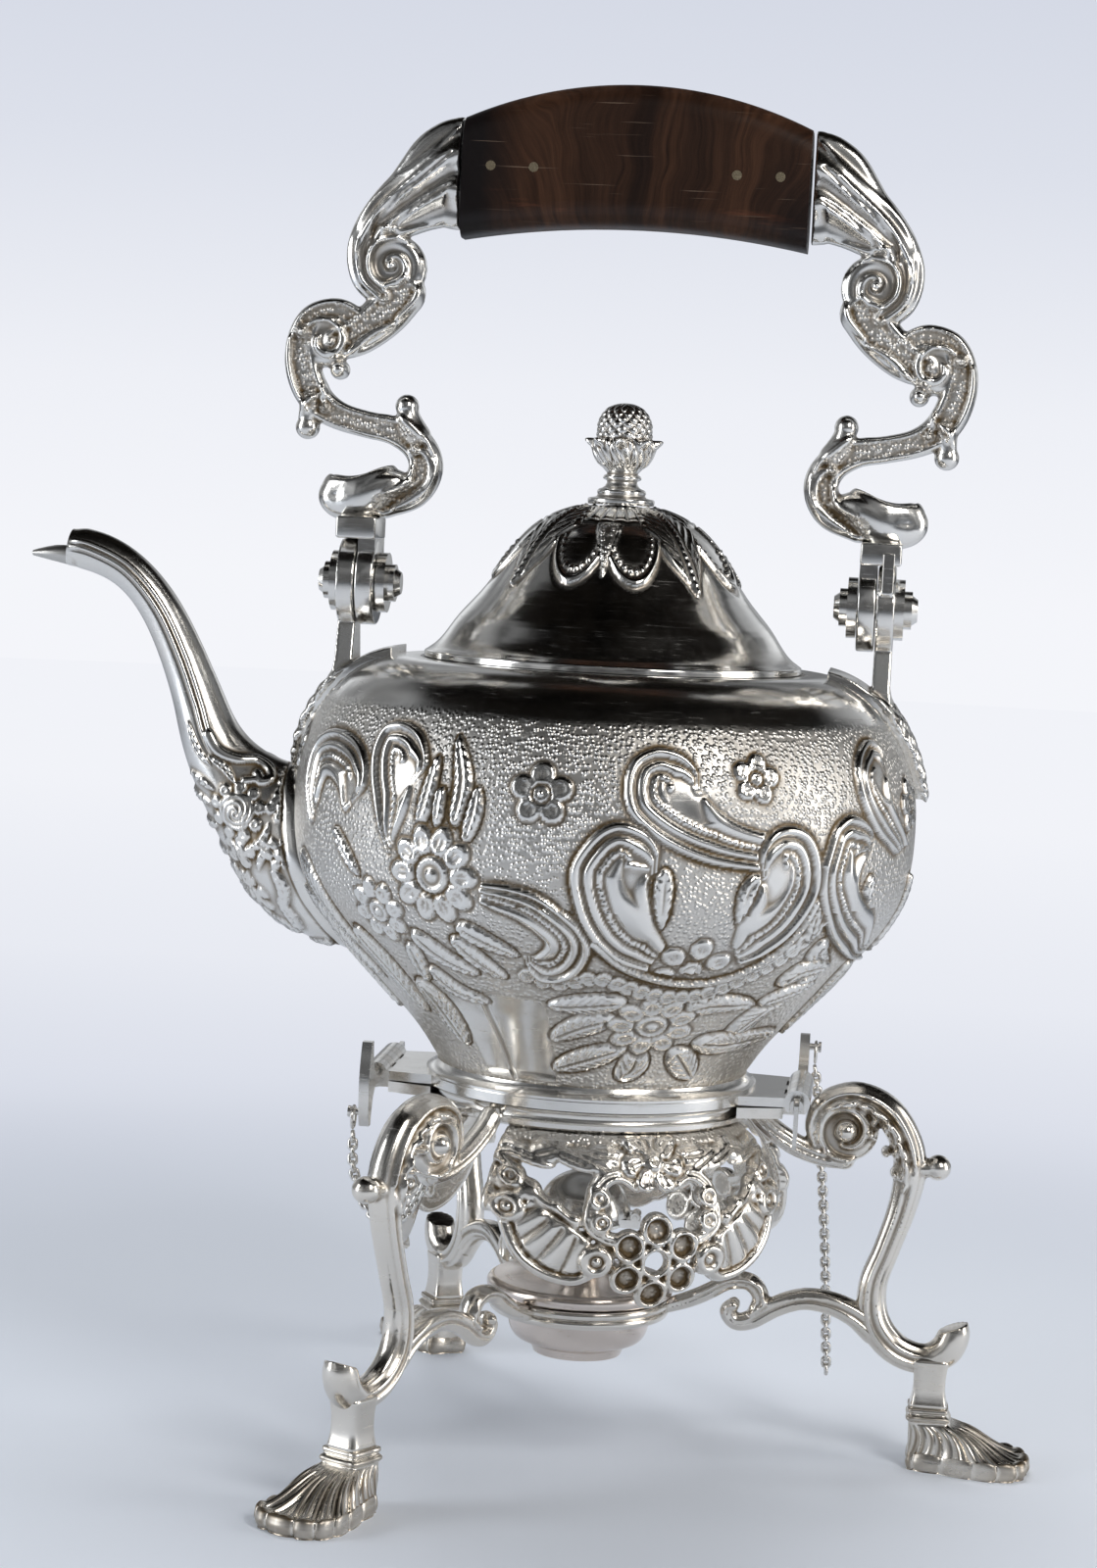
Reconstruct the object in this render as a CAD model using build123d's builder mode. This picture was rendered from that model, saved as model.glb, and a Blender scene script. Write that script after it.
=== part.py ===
from build123d import *
from math import cos, radians, sin
import os

# Spirit kettle on stand: a silver hot-water kettle that is pinned by two hinges to a
# three-legged stand with a spirit lamp in it. +Z is up, the table is z = 0, the spout
# points along -X and the bail swings about a fore-and-aft axis. All sizes are in
# millimetres. "Out" is measured from the kettle's upright axis, "up" from the table.

os.makedirs("parts", exist_ok=True)

# ---------------------------------------------------------------- driving dimensions
SPOUT_REACH = 168.3  # kettle axis to the lip of the spout
TOE_REACH = 131.0  # kettle axis to the front of each toe

# clearances
RUNNING = 0.05  # radial, between a pin and the bore it turns in
FACE_GAP = 0.3  # between faces of two bodies that move past each other
HINGE_GAP = 0.25  # between neighbouring knuckles

# stand ring and hinges that join kettle and stand
STAND_HEIGHT = 103.1  # top of the stand ring above the table
RING_DEPTH = 5.6
RING_RADIUS = 47.0
RING_BORE = 38.5
HINGE_OUT = 59.5  # kettle axis to each hinge pin
BARREL_LENGTH = 36.0
BARREL_RADIUS = 3.6
KNUCKLES = 5
HINGE_PIN_RADIUS = 1.9
LUG_THICK = 3.0  # of the stand's hinge lugs
HANDLE_HEIGHT = 23.6  # of the crescent on each hinge pin
HANDLE_THICK = 2.8
TOGGLE_LENGTH = 10.5
TOGGLE_WIDTH = 3.3
TOGGLE_THICK = 1.2
PIN_OVERHANG = 5.6  # hinge pin beyond the barrel, at the toggle's end
RIVET_RADIUS = 0.6  # of each toggle's cross rivet

# kettle
PLATE_THICK = 2.6
PLATE_RADIUS = 47.6
MOULDING_HEIGHT = 3.5
BODY_WALL = 1.2
FOOT_RADIUS = 43.6
BODY_RADIUS = 87.4
BELLY_RISE = 73.5  # widest level above the body's bottom
BODY_RISE = 113.5  # flat shoulder above the body's bottom
SHOULDER_RADIUS = 58.0
MOUTH_RADIUS = 48.0
BELLY_CURVE = ((0.185, 0.160), (0.535, 0.385), (0.881, 0.640))  # shares of out and up
SPOUT_HOLE = 11.0  # radius
SPOUT_WALL = 1.3

# lid
LID_RADIUS = 53.2
LID_RISE = 44.8
LID_WALL = 1.1
LID_CURVE = (
    (0.955, 0.065), (0.836, 0.245), (0.715, 0.415), (0.605, 0.600), (0.423, 0.853), (0.170, 0.980)
)
BEZEL_DEPTH = 6.5
BEZEL_WALL = 1.0
BEZEL_CLEARANCE = 0.7
FINIAL_RISE = 28.6
STUD_RADIUS = 1.9
NUT_WIDTH = 8.0
NUT_THICK = 2.6
LID_KNUCKLE_RADIUS = 2.2
LID_BARREL_LENGTH = 16.0
LID_PIN_RADIUS = 1.0

# bail and its pivots
GRIP_LENGTH = 96.6
GRIP_HEIGHT = 33.4  # at each end
GRIP_TOP_ARCH = 10.6  # rise of the grip's top edge at its middle
GRIP_LOW_ARCH = 4.6  # rise of its bottom edge
GRIP_EDGE = 7.0  # rounding along the grip's edges
GRIP_THICK = 21.0
GRIP_GAP = 0.9  # between the wood and each arm's socket end
ARM_SPAN = 24.1  # arm's socket end to the joint of the pivot discs
PIVOT_RISE = 19.8  # pivot above the kettle's shoulder
GRIP_RISE = 97.6  # bottom of the grip's ends above the pivot
DISC_RADIUS = 12.1
DISC_THICK = 5.0
PIVOT_RADIUS = 3.0
WASHERS = ((8.5, 2.6), (5.3, 2.2))  # radius and thickness, from the disc outwards
RIVET_HEAD = (4.2, 1.6)  # radius and height
BLOCK_DEPTH = 19.0  # of the cross block over each pivot
BLOCK_HEIGHT = 5.6
BLOCK_WIDTH = 11.4
STOP_THICK = 2.4
TANG_LENGTH = 28.0
TANG_HEIGHT = 13.0
TANG_THICK = 6.0
GRIP_PIN_RADIUS = 1.35
EAR_NECK = 10.0
LEAF_THICK = 2.6
LEAF_WIDTH = 27.0
LEAF_DROP = 33.0  # leaf's point below the shoulder

# legs, feet and lamp brackets
ANKLE_HEIGHT = 17.5
ANKLE_OUT = 101.0  # kettle axis to the middle of the ankle
ANKLE_WIDTH = 10.8
ANKLE_DEPTH = 10.0
HEEL_SETBACK = 4.6  # heel's inner face inside the ankle's middle
TOE_SPREAD = 26.0
LEG_DEPTH = 8.6
ANKLE_RISE = 13.0  # of the ankle's block, above the foot
LEG_DRAWN = 103.1  # stand height that the leg's stations are drawn for
LEG_CURL = 74.0  # foot of the leg's curl, as drawn

# apron
APRON_TURN = -4.4  # the aprons sit a little off the middle of each bay, in degrees
APRON_SPAN = 101.0  # degrees
APRON_DROP = 47.0  # lowest point below the ring
APRON_TOP_OUT = 45.8
APRON_BULGE = 57.4
APRON_FOOT_OUT = 53.2
APRON_THICK = 3.0

# lamp
LAMP_RING_LEVEL = 37.6
LAMP_RING_DEPTH = 5.0
LAMP_RING_RADIUS = 26.0
LAMP_RING_BORE = 21.6
LAMP_FLANGE = 26.8
LAMP_DROP = 12.0  # lamp's foot below the lamp ring
LAMP_FOOT_RADIUS = 13.6
LAMP_WALL = 1.0
BURNER_RADIUS = 8.2
WICK_TUBE_RADIUS = 4.2
WICK_RADIUS = 3.2
SNUFFER_RADIUS = 13.4
SNUFFER_RISE = 12.4
SNUFFER_WALL = 1.0
SNUFFER_STUD_RADIUS = 1.6  # riveted stud at the crown
SNUFFER_KNUCKLE_RADIUS = 1.3
SNUFFER_PIN_RADIUS = 0.6

# chains and rings
CHAIN_RADIUS = 1.1
LINK_RING_RADIUS = 3.0
LINK_WIRE = 0.45

# ---------------------------------------------------------------- derived positions
AXIS_X = (SPOUT_REACH - TOE_REACH) / 2
RING_BOTTOM = STAND_HEIGHT - RING_DEPTH
PLATE_BOTTOM = STAND_HEIGHT + FACE_GAP
PLATE_TOP = PLATE_BOTTOM + PLATE_THICK
HINGE_LEVEL = PLATE_BOTTOM + PLATE_THICK / 2
BODY_BOTTOM = PLATE_TOP + MOULDING_HEIGHT
BELLY_LEVEL = BODY_BOTTOM + BELLY_RISE
SHOULDER_LEVEL = BODY_BOTTOM + BODY_RISE
LID_LEVEL = SHOULDER_LEVEL + FACE_GAP
LID_TOP = LID_LEVEL + LID_RISE
LID_HINGE_Y = LID_RADIUS + LID_KNUCKLE_RADIUS + FACE_GAP
LID_HINGE_LEVEL = LID_LEVEL + LID_KNUCKLE_RADIUS
PIVOT_LEVEL = SHOULDER_LEVEL + PIVOT_RISE
ARM_END = GRIP_LENGTH / 2 + GRIP_GAP
PIVOT_OUT = ARM_END + ARM_SPAN
GRIP_LEVEL = PIVOT_LEVEL + GRIP_RISE
KNUCKLE_LENGTH = (BARREL_LENGTH - (KNUCKLES - 1) * HINGE_GAP) / KNUCKLES
PIN_BORE = HINGE_PIN_RADIUS + RUNNING
LUG_OUT = HINGE_OUT - BARREL_RADIUS - FACE_GAP
LAMP_RING_TOP = LAMP_RING_LEVEL + LAMP_RING_DEPTH
LAMP_SEAT = LAMP_RING_TOP + FACE_GAP
LAMP_BOTTOM = LAMP_RING_LEVEL - LAMP_DROP
KETTLE_AXIS = Axis((AXIS_X, 0, 0), (0, 0, 1))

LEGS = {"rear": 0, "far": 120, "near": 240}
APRONS = {"far": 60, "front": 180, "near": 300}
SIDES = {"rear": 0, "front": 180}


# ---------------------------------------------------------------- drawing boards
def level(height, angle=0.0):
    """Horizontal board on the kettle's axis, its first direction turned by an angle."""
    along = (cos(radians(angle)), sin(radians(angle)), 0)
    return Plane(origin=(AXIS_X, 0, height), x_dir=along, z_dir=(0, 0, 1))


def upright(angle=0.0):
    """Radial board: first direction out from the kettle's axis, second one up."""
    c, s = cos(radians(angle)), sin(radians(angle))
    return Plane(origin=(AXIS_X, 0, 0), x_dir=(c, s, 0), z_dir=(s, -c, 0))


def outlook(angle, out=0.0, height=0.0):
    """Board that faces outwards, at a distance out from the kettle's axis."""
    c, s = cos(radians(angle)), sin(radians(angle))
    origin = (AXIS_X + out * c, out * s, height)
    return Plane(origin=origin, x_dir=(-s, c, 0), z_dir=(c, s, 0))


def crosswise(x, y, height, side=1):
    """Board across a hinge pin that runs along Y, facing +Y or, for side -1, -Y."""
    return Plane(origin=(x, y, height), x_dir=(-side, 0, 0), z_dir=(0, side, 0))


def oval_loft(board, stations, mode=Mode.ADD):
    """Tapered scroll: oval sections (out, up, width, depth) strung along a board."""
    sections = []
    for index, (out, up, width, depth) in enumerate(stations):
        before = stations[max(index - 1, 0)]
        after = stations[min(index + 1, len(stations) - 1)]
        run = board.x_dir * (after[0] - before[0]) + board.y_dir * (after[1] - before[1])
        place = Plane(board.from_local_coords((out, up, 0)), x_dir=board.z_dir, z_dir=run)
        with BuildSketch(place) as section:
            Ellipse(depth / 2, width / 2)
        sections.append(section.sketch)
    loft(sections=sections, mode=mode)


def on_leg(up):
    """Level on a leg: the curl keeps its drop below the plate, and the shank under it stretches."""
    ankle = ANKLE_HEIGHT + ANKLE_RISE
    share = min(1, (up - ankle) / (LEG_CURL - ankle))
    return up + (STAND_HEIGHT - LEG_DRAWN) * share


def boss(board, out, up, radius, depth):
    """Round boss across a board, centred on it."""
    with BuildSketch(board) as face:
        with Locations((out, up)):
            Circle(radius)
    extrude(face.sketch, amount=depth / 2, both=True)


def knob(board, out, up, radius):
    """Round bead on a board."""
    with Locations(board.from_local_coords((out, up, 0))):
        Sphere(radius)


def body_outline(inset=0.0):
    """Half outline of the kettle's body, bottom edge to mouth, drawn inside the outer one."""
    foot = (FOOT_RADIUS - inset, BODY_BOTTOM + inset)
    belly = (BODY_RADIUS - inset, BELLY_LEVEL)
    width, height = belly[0] - foot[0], belly[1] - foot[1]
    bends = [(foot[0] + out * width, foot[1] + up * height) for out, up in BELLY_CURVE]
    Spline(foot, *bends, belly, tangents=((0.5, 1), (0, 1)))
    top = SHOULDER_LEVEL - inset
    reach, climb = belly[0] - SHOULDER_RADIUS, top - BELLY_LEVEL
    EllipticalCenterArc((SHOULDER_RADIUS, BELLY_LEVEL), reach, climb, start_angle=0, arc_size=90)
    Line((SHOULDER_RADIUS, top), (MOUTH_RADIUS, top))


def lid_outline(inset=0.0):
    """Half outline of the lid, rim to crown, drawn inside the outer one."""
    rim = (LID_RADIUS - inset, LID_LEVEL)
    crown = LID_RISE - inset
    bends = [(rim[0] * out, LID_LEVEL + crown * up) for out, up in LID_CURVE]
    edge = Line(rim, (rim[0], LID_LEVEL + crown * 0.035))
    Spline(edge @ 1, *bends, (0, LID_LEVEL + crown))


# ---------------------------------------------------------------- forms to seat pieces on
with BuildPart() as body_form:
    with BuildSketch(upright()):
        with BuildLine():
            body_outline()
            Polyline(
                (MOUTH_RADIUS, SHOULDER_LEVEL), (0, SHOULDER_LEVEL), (0, BODY_BOTTOM),
                (FOOT_RADIUS, BODY_BOTTOM),
            )
        make_face()
    revolve(axis=KETTLE_AXIS)

with BuildPart() as leaf_form:
    with BuildSketch(upright()):
        with BuildLine():
            body_outline(-LEAF_THICK)
            Polyline(
                (MOUTH_RADIUS, SHOULDER_LEVEL + LEAF_THICK), (0, SHOULDER_LEVEL + LEAF_THICK),
                (0, BODY_BOTTOM - LEAF_THICK), (FOOT_RADIUS + LEAF_THICK, BODY_BOTTOM - LEAF_THICK),
            )
        make_face()
    revolve(axis=KETTLE_AXIS)

with BuildPart() as lid_form:
    with BuildSketch(upright()):
        with BuildLine():
            lid_outline()
            Polyline((0, LID_TOP), (0, LID_LEVEL), (LID_RADIUS, LID_LEVEL))
        make_face()
    revolve(axis=KETTLE_AXIS)

# ---------------------------------------------------------------- kettle
with BuildPart() as kettle_body:
    with BuildSketch(upright()):
        with BuildLine():
            body_outline()
            Line((MOUTH_RADIUS, SHOULDER_LEVEL), (MOUTH_RADIUS, SHOULDER_LEVEL - BODY_WALL))
            body_outline(BODY_WALL)
            Polyline(
                (FOOT_RADIUS - BODY_WALL, BODY_BOTTOM + BODY_WALL), (0, BODY_BOTTOM + BODY_WALL),
                (0, BODY_BOTTOM), (FOOT_RADIUS, BODY_BOTTOM),
            )
        make_face()
    revolve(axis=KETTLE_AXIS)
    with BuildSketch(outlook(180, height=BELLY_LEVEL - 15)):
        Circle(SPOUT_HOLE)
    extrude(amount=BODY_RADIUS, mode=Mode.SUBTRACT)
kettle_body.part.label = "kettle_body"
export_step(kettle_body.part, "parts/kettle_body.step")

# The foot moulding is the flared ring between the body and its base plate.
with BuildPart() as foot_moulding:
    with BuildSketch(upright()):
        with BuildLine():
            bottom = Line((FOOT_RADIUS - 6, PLATE_TOP), (PLATE_RADIUS - 0.6, PLATE_TOP))
            lip = Line(bottom @ 1, (PLATE_RADIUS - 0.6, PLATE_TOP + 0.8))
            flare = Spline(
                lip @ 1, (FOOT_RADIUS + 0.6, BODY_BOTTOM), tangents=((-1, 0.2), (-0.4, 1))
            )
            Polyline(flare @ 1, (FOOT_RADIUS - 6, BODY_BOTTOM), bottom @ 0)
        make_face()
    revolve(axis=KETTLE_AXIS)
foot_moulding.part.label = "foot_moulding"
export_step(foot_moulding.part, "parts/foot_moulding.step")


def hinge_lug(bottom, thick, inner, reach):
    """Broad lug that runs out to a hinge barrel from inside a round plate."""
    for angle in SIDES.values():
        with BuildSketch(level(bottom, angle)) as tongue:
            with BuildLine():
                Polyline(
                    (inner, -BARREL_LENGTH * 0.62), (reach, -BARREL_LENGTH / 2),
                    (reach, BARREL_LENGTH / 2), (inner, BARREL_LENGTH * 0.62), close=True,
                )
            make_face()
        extrude(tongue.sketch, amount=thick)


def knuckles(indexes, bottom, thick):
    """Knuckles of one leaf on both hinges, with the tabs that carry them, unbored."""
    for angle in SIDES.values():
        side = cos(radians(angle))
        for index in indexes:
            start = -BARREL_LENGTH / 2 + index * (KNUCKLE_LENGTH + HINGE_GAP)
            with BuildSketch(crosswise(AXIS_X + side * HINGE_OUT, start, HINGE_LEVEL)) as end:
                Circle(BARREL_RADIUS)
            extrude(end.sketch, amount=KNUCKLE_LENGTH)
            with BuildSketch(level(bottom, angle)) as tab:
                with Locations(((LUG_OUT + HINGE_OUT) / 2, side * (start + KNUCKLE_LENGTH / 2))):
                    Rectangle(HINGE_OUT - LUG_OUT, KNUCKLE_LENGTH)
            extrude(tab.sketch, amount=thick)


def pin_bores():
    """Bores for both hinge pins, through the whole length of their barrels."""
    for side in (-1, 1):
        place = crosswise(AXIS_X + side * HINGE_OUT, -BARREL_LENGTH, HINGE_LEVEL)
        with BuildSketch(place) as bore:
            Circle(PIN_BORE)
        extrude(bore.sketch, amount=2 * BARREL_LENGTH, mode=Mode.SUBTRACT)


# The rear knuckles of the kettle are open below, so that it can lift off the rear pin.
with BuildPart() as base_plate:
    with BuildSketch(level(PLATE_BOTTOM)):
        Circle(PLATE_RADIUS)
    extrude(amount=PLATE_THICK)
    hinge_lug(PLATE_BOTTOM, PLATE_THICK, PLATE_RADIUS * 0.6, LUG_OUT)
    knuckles(range(0, KNUCKLES, 2), PLATE_BOTTOM, PLATE_THICK)
    with BuildSketch(level(PLATE_BOTTOM)):
        Circle(RING_BORE)
    extrude(amount=PLATE_THICK, mode=Mode.SUBTRACT)
    pin_bores()
    with BuildSketch(level(HINGE_LEVEL)):
        with Locations((HINGE_OUT, 0)):
            Rectangle(2 * (HINGE_PIN_RADIUS + 4 * RUNNING), 2 * BARREL_LENGTH)
    extrude(amount=-2 * BARREL_RADIUS, mode=Mode.SUBTRACT)
base_plate.part.label = "base_plate"
export_step(base_plate.part, "parts/base_plate.step")

# ---------------------------------------------------------------- spout
# Stations along the spout: out from the axis, up from the belly's level, width, depth.
SPOUT_TUBE = (
    (60.0, -19.0, 54.0, 43.0),
    (75.0, -17.5, 52.0, 41.0),
    (88.5, -12.5, 44.0, 34.5),
    (101.8, -3.0, 28.0, 25.0),
    (113.3, 11.0, 17.5, 18.0),
    (118.2, 23.0, 14.2, 14.5),
    (123.6, 36.0, 12.2, 12.6),
    (130.6, 49.0, 11.0, 11.6),
    (139.9, 59.2, 10.6, 11.2),
    (150.5, 64.3, 11.2, 11.4),
    (157.4, 65.4, 10.0, 10.6),
)
LIP_ROOT = (156.0, 63.0, 6.6, 9.4)
LIP_MIDDLE = (162.5, 63.2, 4.4, 7.6)
LIP_TIP = (SPOUT_REACH, 63.0, 1.6, 3.2)


def raised(stations, thinner=0.0):
    """Spout stations moved up to the belly's level, with each section made thinner."""
    return [(o, BELLY_LEVEL + u, w - thinner, d - thinner) for o, u, w, d in stations]


with BuildPart() as spout:
    oval_loft(upright(180), raised(SPOUT_TUBE))
    oval_loft(upright(180), raised((LIP_ROOT, LIP_MIDDLE, LIP_TIP)))
    oval_loft(upright(180), raised(SPOUT_TUBE, 2 * SPOUT_WALL), mode=Mode.SUBTRACT)
    pouring = ((150.5, 65.6, 8.2, 8.4), (157.4, 68.2, 7.6, 7.6), (168.0, 72.0, 11.0, 7.0))
    oval_loft(upright(180), raised(pouring), mode=Mode.SUBTRACT)
    add(body_form.part, mode=Mode.SUBTRACT)
spout.part.label = "spout"
export_step(spout.part, "parts/spout.step")

# ---------------------------------------------------------------- ears that carry the bail
PIVOT_STACK = sum(thick for _, thick in WASHERS)


def washer_stack(board, direction):
    """Two stepped washers, stacked from a board along its normal or against it."""
    face = 0.0
    for radius, thick in WASHERS:
        with BuildSketch(board.offset(direction * face)) as disc:
            Circle(radius)
            Circle(PIVOT_RADIUS, mode=Mode.SUBTRACT)
        extrude(disc.sketch, amount=direction * thick)
        face += thick


for name, angle in SIDES.items():
    with BuildPart() as ear:
        with BuildSketch(outlook(angle, out=SHOULDER_RADIUS + 3, height=SHOULDER_LEVEL)):
            with BuildLine():
                half = LEAF_WIDTH / 2
                top = Polyline((-half * 0.8, 12), (half * 0.8, 12))
                right = Spline(top @ 1, (half, -10), (half * 0.62, -0.72 * LEAF_DROP), (0, -LEAF_DROP))
                Spline((0, -LEAF_DROP), (-half * 0.62, -0.72 * LEAF_DROP), (-half, -10), top @ 0)
            make_face()
        extrude(amount=BODY_RADIUS)
        add(leaf_form.part, mode=Mode.INTERSECT)
        inner = outlook(angle, out=PIVOT_OUT - DISC_THICK)
        with BuildSketch(outlook(angle, out=PIVOT_OUT)):
            with Locations((0, PIVOT_LEVEL)):
                Circle(DISC_RADIUS)
            with Locations((0, PIVOT_LEVEL - 1.6 * DISC_RADIUS)):
                Rectangle(EAR_NECK, 3.2 * DISC_RADIUS)
            with BuildLine():
                Polyline(
                    (-EAR_NECK / 2, PIVOT_LEVEL - DISC_RADIUS), (EAR_NECK / 2, PIVOT_LEVEL - DISC_RADIUS),
                    (EAR_NECK * 1.1, SHOULDER_LEVEL - 14), (-EAR_NECK * 1.1, SHOULDER_LEVEL - 14),
                    close=True,
                )
            make_face()
        extrude(amount=DISC_THICK)
        if name == "rear":
            # The stop lug stands before the bail's cross block, so the bail folds one way only.
            block_bottom = PIVOT_LEVEL + DISC_RADIUS + FACE_GAP
            lug_top = block_bottom + 0.6 * BLOCK_HEIGHT
            lug_bottom = PIVOT_LEVEL + 0.35 * DISC_RADIUS
            with BuildSketch(outlook(angle, out=PIVOT_OUT + 0.2 * DISC_THICK)):
                with Locations((-BLOCK_DEPTH / 2 - FACE_GAP - STOP_THICK / 2, 0)):
                    with Locations((0, (lug_top + lug_bottom) / 2)):
                        Rectangle(STOP_THICK, lug_top - lug_bottom)
            extrude(amount=0.65 * DISC_THICK)
        add(body_form.part, mode=Mode.SUBTRACT)
        with BuildSketch(outlook(angle, out=PIVOT_OUT)):
            with Locations((0, PIVOT_LEVEL)):
                Circle(PIVOT_RADIUS)
        extrude(amount=DISC_THICK, mode=Mode.SUBTRACT)
    ear.part.label = f"{name}_ear"
    export_step(ear.part, f"parts/{name}_ear.step")

    inner_face = PIVOT_OUT - 2 * FACE_GAP - DISC_THICK
    with BuildPart() as pivot_pin:
        reach_in = inner_face - PIVOT_STACK
        reach_out = PIVOT_OUT + DISC_THICK + PIVOT_STACK
        with BuildSketch(outlook(angle, out=reach_in, height=PIVOT_LEVEL)):
            Circle(PIVOT_RADIUS)
        extrude(amount=reach_out - reach_in)
        head_radius, head_height = RIVET_HEAD
        for end, way in ((reach_in, -1), (reach_out, 1)):
            with BuildSketch(outlook(angle, out=end, height=PIVOT_LEVEL)):
                Circle(head_radius)
            extrude(amount=way * head_height, taper=35)
    pivot_pin.part.label = f"{name}_pivot_pin"
    export_step(pivot_pin.part, f"parts/{name}_pivot_pin.step")

    with BuildPart() as pivot_washers:
        washer_stack(outlook(angle, out=PIVOT_OUT + DISC_THICK, height=PIVOT_LEVEL), 1)
        washer_stack(outlook(angle, out=inner_face, height=PIVOT_LEVEL), -1)
    pivot_washers.part.label = f"{name}_pivot_washers"
    export_step(pivot_washers.part, f"parts/{name}_pivot_washers.step")

# ---------------------------------------------------------------- bail
# Arm stations: out from the socket end, up from the pivot, width, depth.
ARM_SOCKET = (
    (0.0, 115.4, 31.4, 17.0),
    (2.6, 115.4, 28.6, 16.2),
    (6.4, 113.6, 24.6, 15.0),
    (11.5, 110.4, 20.5, 13.0),
    (18.5, 106.5, 16.0, 11.5),
    (25.0, 101.0, 12.0, 10.5),
    (27.6, 94.0, 9.0, 10.0),
    (26.0, 86.0, 8.0, 9.6),
    (20.5, 80.6, 7.6, 9.4),
)
ARM_VOLUTE = (18.4, 88.6, 9.4, 9.6)
ARM_WAIST = (
    (17.0, 81.5, 15.0, 9.0),
    (19.5, 74.5, 14.0, 9.0),
    (26.5, 68.8, 13.5, 9.4),
    (34.0, 66.5, 12.0, 9.6),
)
ARM_CREST = (
    (28.5, 68.5, 6.0, 8.6),
    (30.5, 73.5, 7.0, 9.0),
    (36.5, 75.0, 7.0, 9.2),
    (41.8, 71.5, 8.0, 9.4),
    (43.4, 65.0, 8.6, 9.4),
    (41.8, 57.5, 9.0, 9.2),
    (38.0, 51.0, 9.0, 8.8),
    (32.0, 46.8, 7.6, 8.2),
    (24.0, 44.6, 6.8, 7.6),
    (16.0, 43.0, 7.8, 7.8),
    (9.0, 39.4, 9.0, 8.4),
    (6.8, 33.0, 9.4, 9.0),
    (10.0, 26.4, 9.4, 9.4),
    (18.0, 22.4, 9.4, 9.6),
)
ARM_DISH = (
    (11.0, 28.0, 4.0, 8.0),
    (17.0, 28.2, 10.0, 13.0),
    (24.0, 24.6, 17.0, 15.0),
    (30.0, 24.0, 14.0, 13.0),
    (33.4, 24.0, 6.0, 6.0),
)
ARM_KNOBS = ((13.4, 49.2, 2.9), (40.4, 43.4, 3.1), (12.2, 46.0, 3.2))
ARM_EYE = (36.0, 67.0, 6.4, 9.4)


def on_arm(stations):
    """Arm stations moved out to the socket end and up to the pivot."""
    return [(ARM_END + out, PIVOT_LEVEL + up, *size) for out, up, *size in stations]


GRIP_MIDDLE = GRIP_LEVEL + GRIP_HEIGHT / 2
TANG_LEVEL = GRIP_MIDDLE + 3.0

for name, angle in SIDES.items():
    board = upright(angle)
    with BuildPart() as arm:
        oval_loft(board, on_arm(ARM_SOCKET))
        oval_loft(board, on_arm(ARM_WAIST))
        oval_loft(board, on_arm(ARM_CREST))
        oval_loft(board, on_arm(ARM_DISH))
        for out, up, radius, depth in on_arm((ARM_VOLUTE, ARM_EYE)):
            boss(board, out, up, radius, depth)
        for out, up, radius in on_arm(ARM_KNOBS):
            knob(board, out, up, radius)
        block_bottom = PIVOT_LEVEL + DISC_RADIUS + FACE_GAP
        with BuildSketch(outlook(angle, out=PIVOT_OUT - FACE_GAP - DISC_THICK, height=block_bottom)):
            Rectangle(BLOCK_DEPTH, BLOCK_HEIGHT, align=(Align.CENTER, Align.MIN))
        extrude(amount=BLOCK_WIDTH)
        with BuildSketch(outlook(angle, out=PIVOT_OUT - FACE_GAP - DISC_THICK, height=PIVOT_LEVEL)):
            Circle(DISC_RADIUS)
            Rectangle(BLOCK_DEPTH * 0.8, DISC_RADIUS + 1, align=(Align.CENTER, Align.MIN))
        extrude(amount=DISC_THICK)
        with BuildSketch(outlook(angle, out=PIVOT_OUT - FACE_GAP - DISC_THICK, height=PIVOT_LEVEL)):
            Circle(PIVOT_RADIUS + RUNNING)
        extrude(amount=DISC_THICK, mode=Mode.SUBTRACT)
        with BuildSketch(outlook(angle, out=ARM_END + 3, height=TANG_LEVEL)):
            Rectangle(TANG_THICK, TANG_HEIGHT)
        extrude(amount=-(TANG_LENGTH + 3))
        for pin_out in (ARM_END - 9, ARM_END - 21):
            with BuildSketch(board):
                with Locations((pin_out, TANG_LEVEL)):
                    Circle(GRIP_PIN_RADIUS)
            extrude(amount=GRIP_THICK, both=True, mode=Mode.SUBTRACT)
    arm.part.label = f"{name}_bail_arm"
    export_step(arm.part, f"parts/{name}_bail_arm.step")

with BuildPart() as bail_grip:
    half = GRIP_LENGTH / 2
    with BuildSketch(upright()):
        with BuildLine():
            lower = ThreePointArc(
                (-half, GRIP_LEVEL), (0, GRIP_LEVEL + GRIP_LOW_ARCH), (half, GRIP_LEVEL)
            )
            upper_edge = GRIP_LEVEL + GRIP_HEIGHT
            right = Line(lower @ 1, (half, upper_edge))
            upper = ThreePointArc(right @ 1, (0, upper_edge + GRIP_TOP_ARCH), (-half, upper_edge))
            Line(upper @ 1, lower @ 0)
        make_face()
    extrude(amount=GRIP_THICK / 2, both=True)
    fillet(edges().filter_by(GeomType.CIRCLE), radius=GRIP_EDGE)
    for angle in SIDES.values():
        with BuildSketch(outlook(angle, out=GRIP_LENGTH / 2, height=TANG_LEVEL)):
            Rectangle(TANG_THICK, TANG_HEIGHT)
        extrude(amount=-(TANG_LENGTH - GRIP_GAP), mode=Mode.SUBTRACT)
    with BuildSketch(upright()):
        for side in (-1, 1):
            with Locations((side * (ARM_END - 9), TANG_LEVEL), (side * (ARM_END - 21), TANG_LEVEL)):
                Circle(GRIP_PIN_RADIUS)
    extrude(amount=GRIP_THICK, both=True, mode=Mode.SUBTRACT)
bail_grip.part.label = "bail_grip"
export_step(bail_grip.part, "parts/bail_grip.step")

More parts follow.
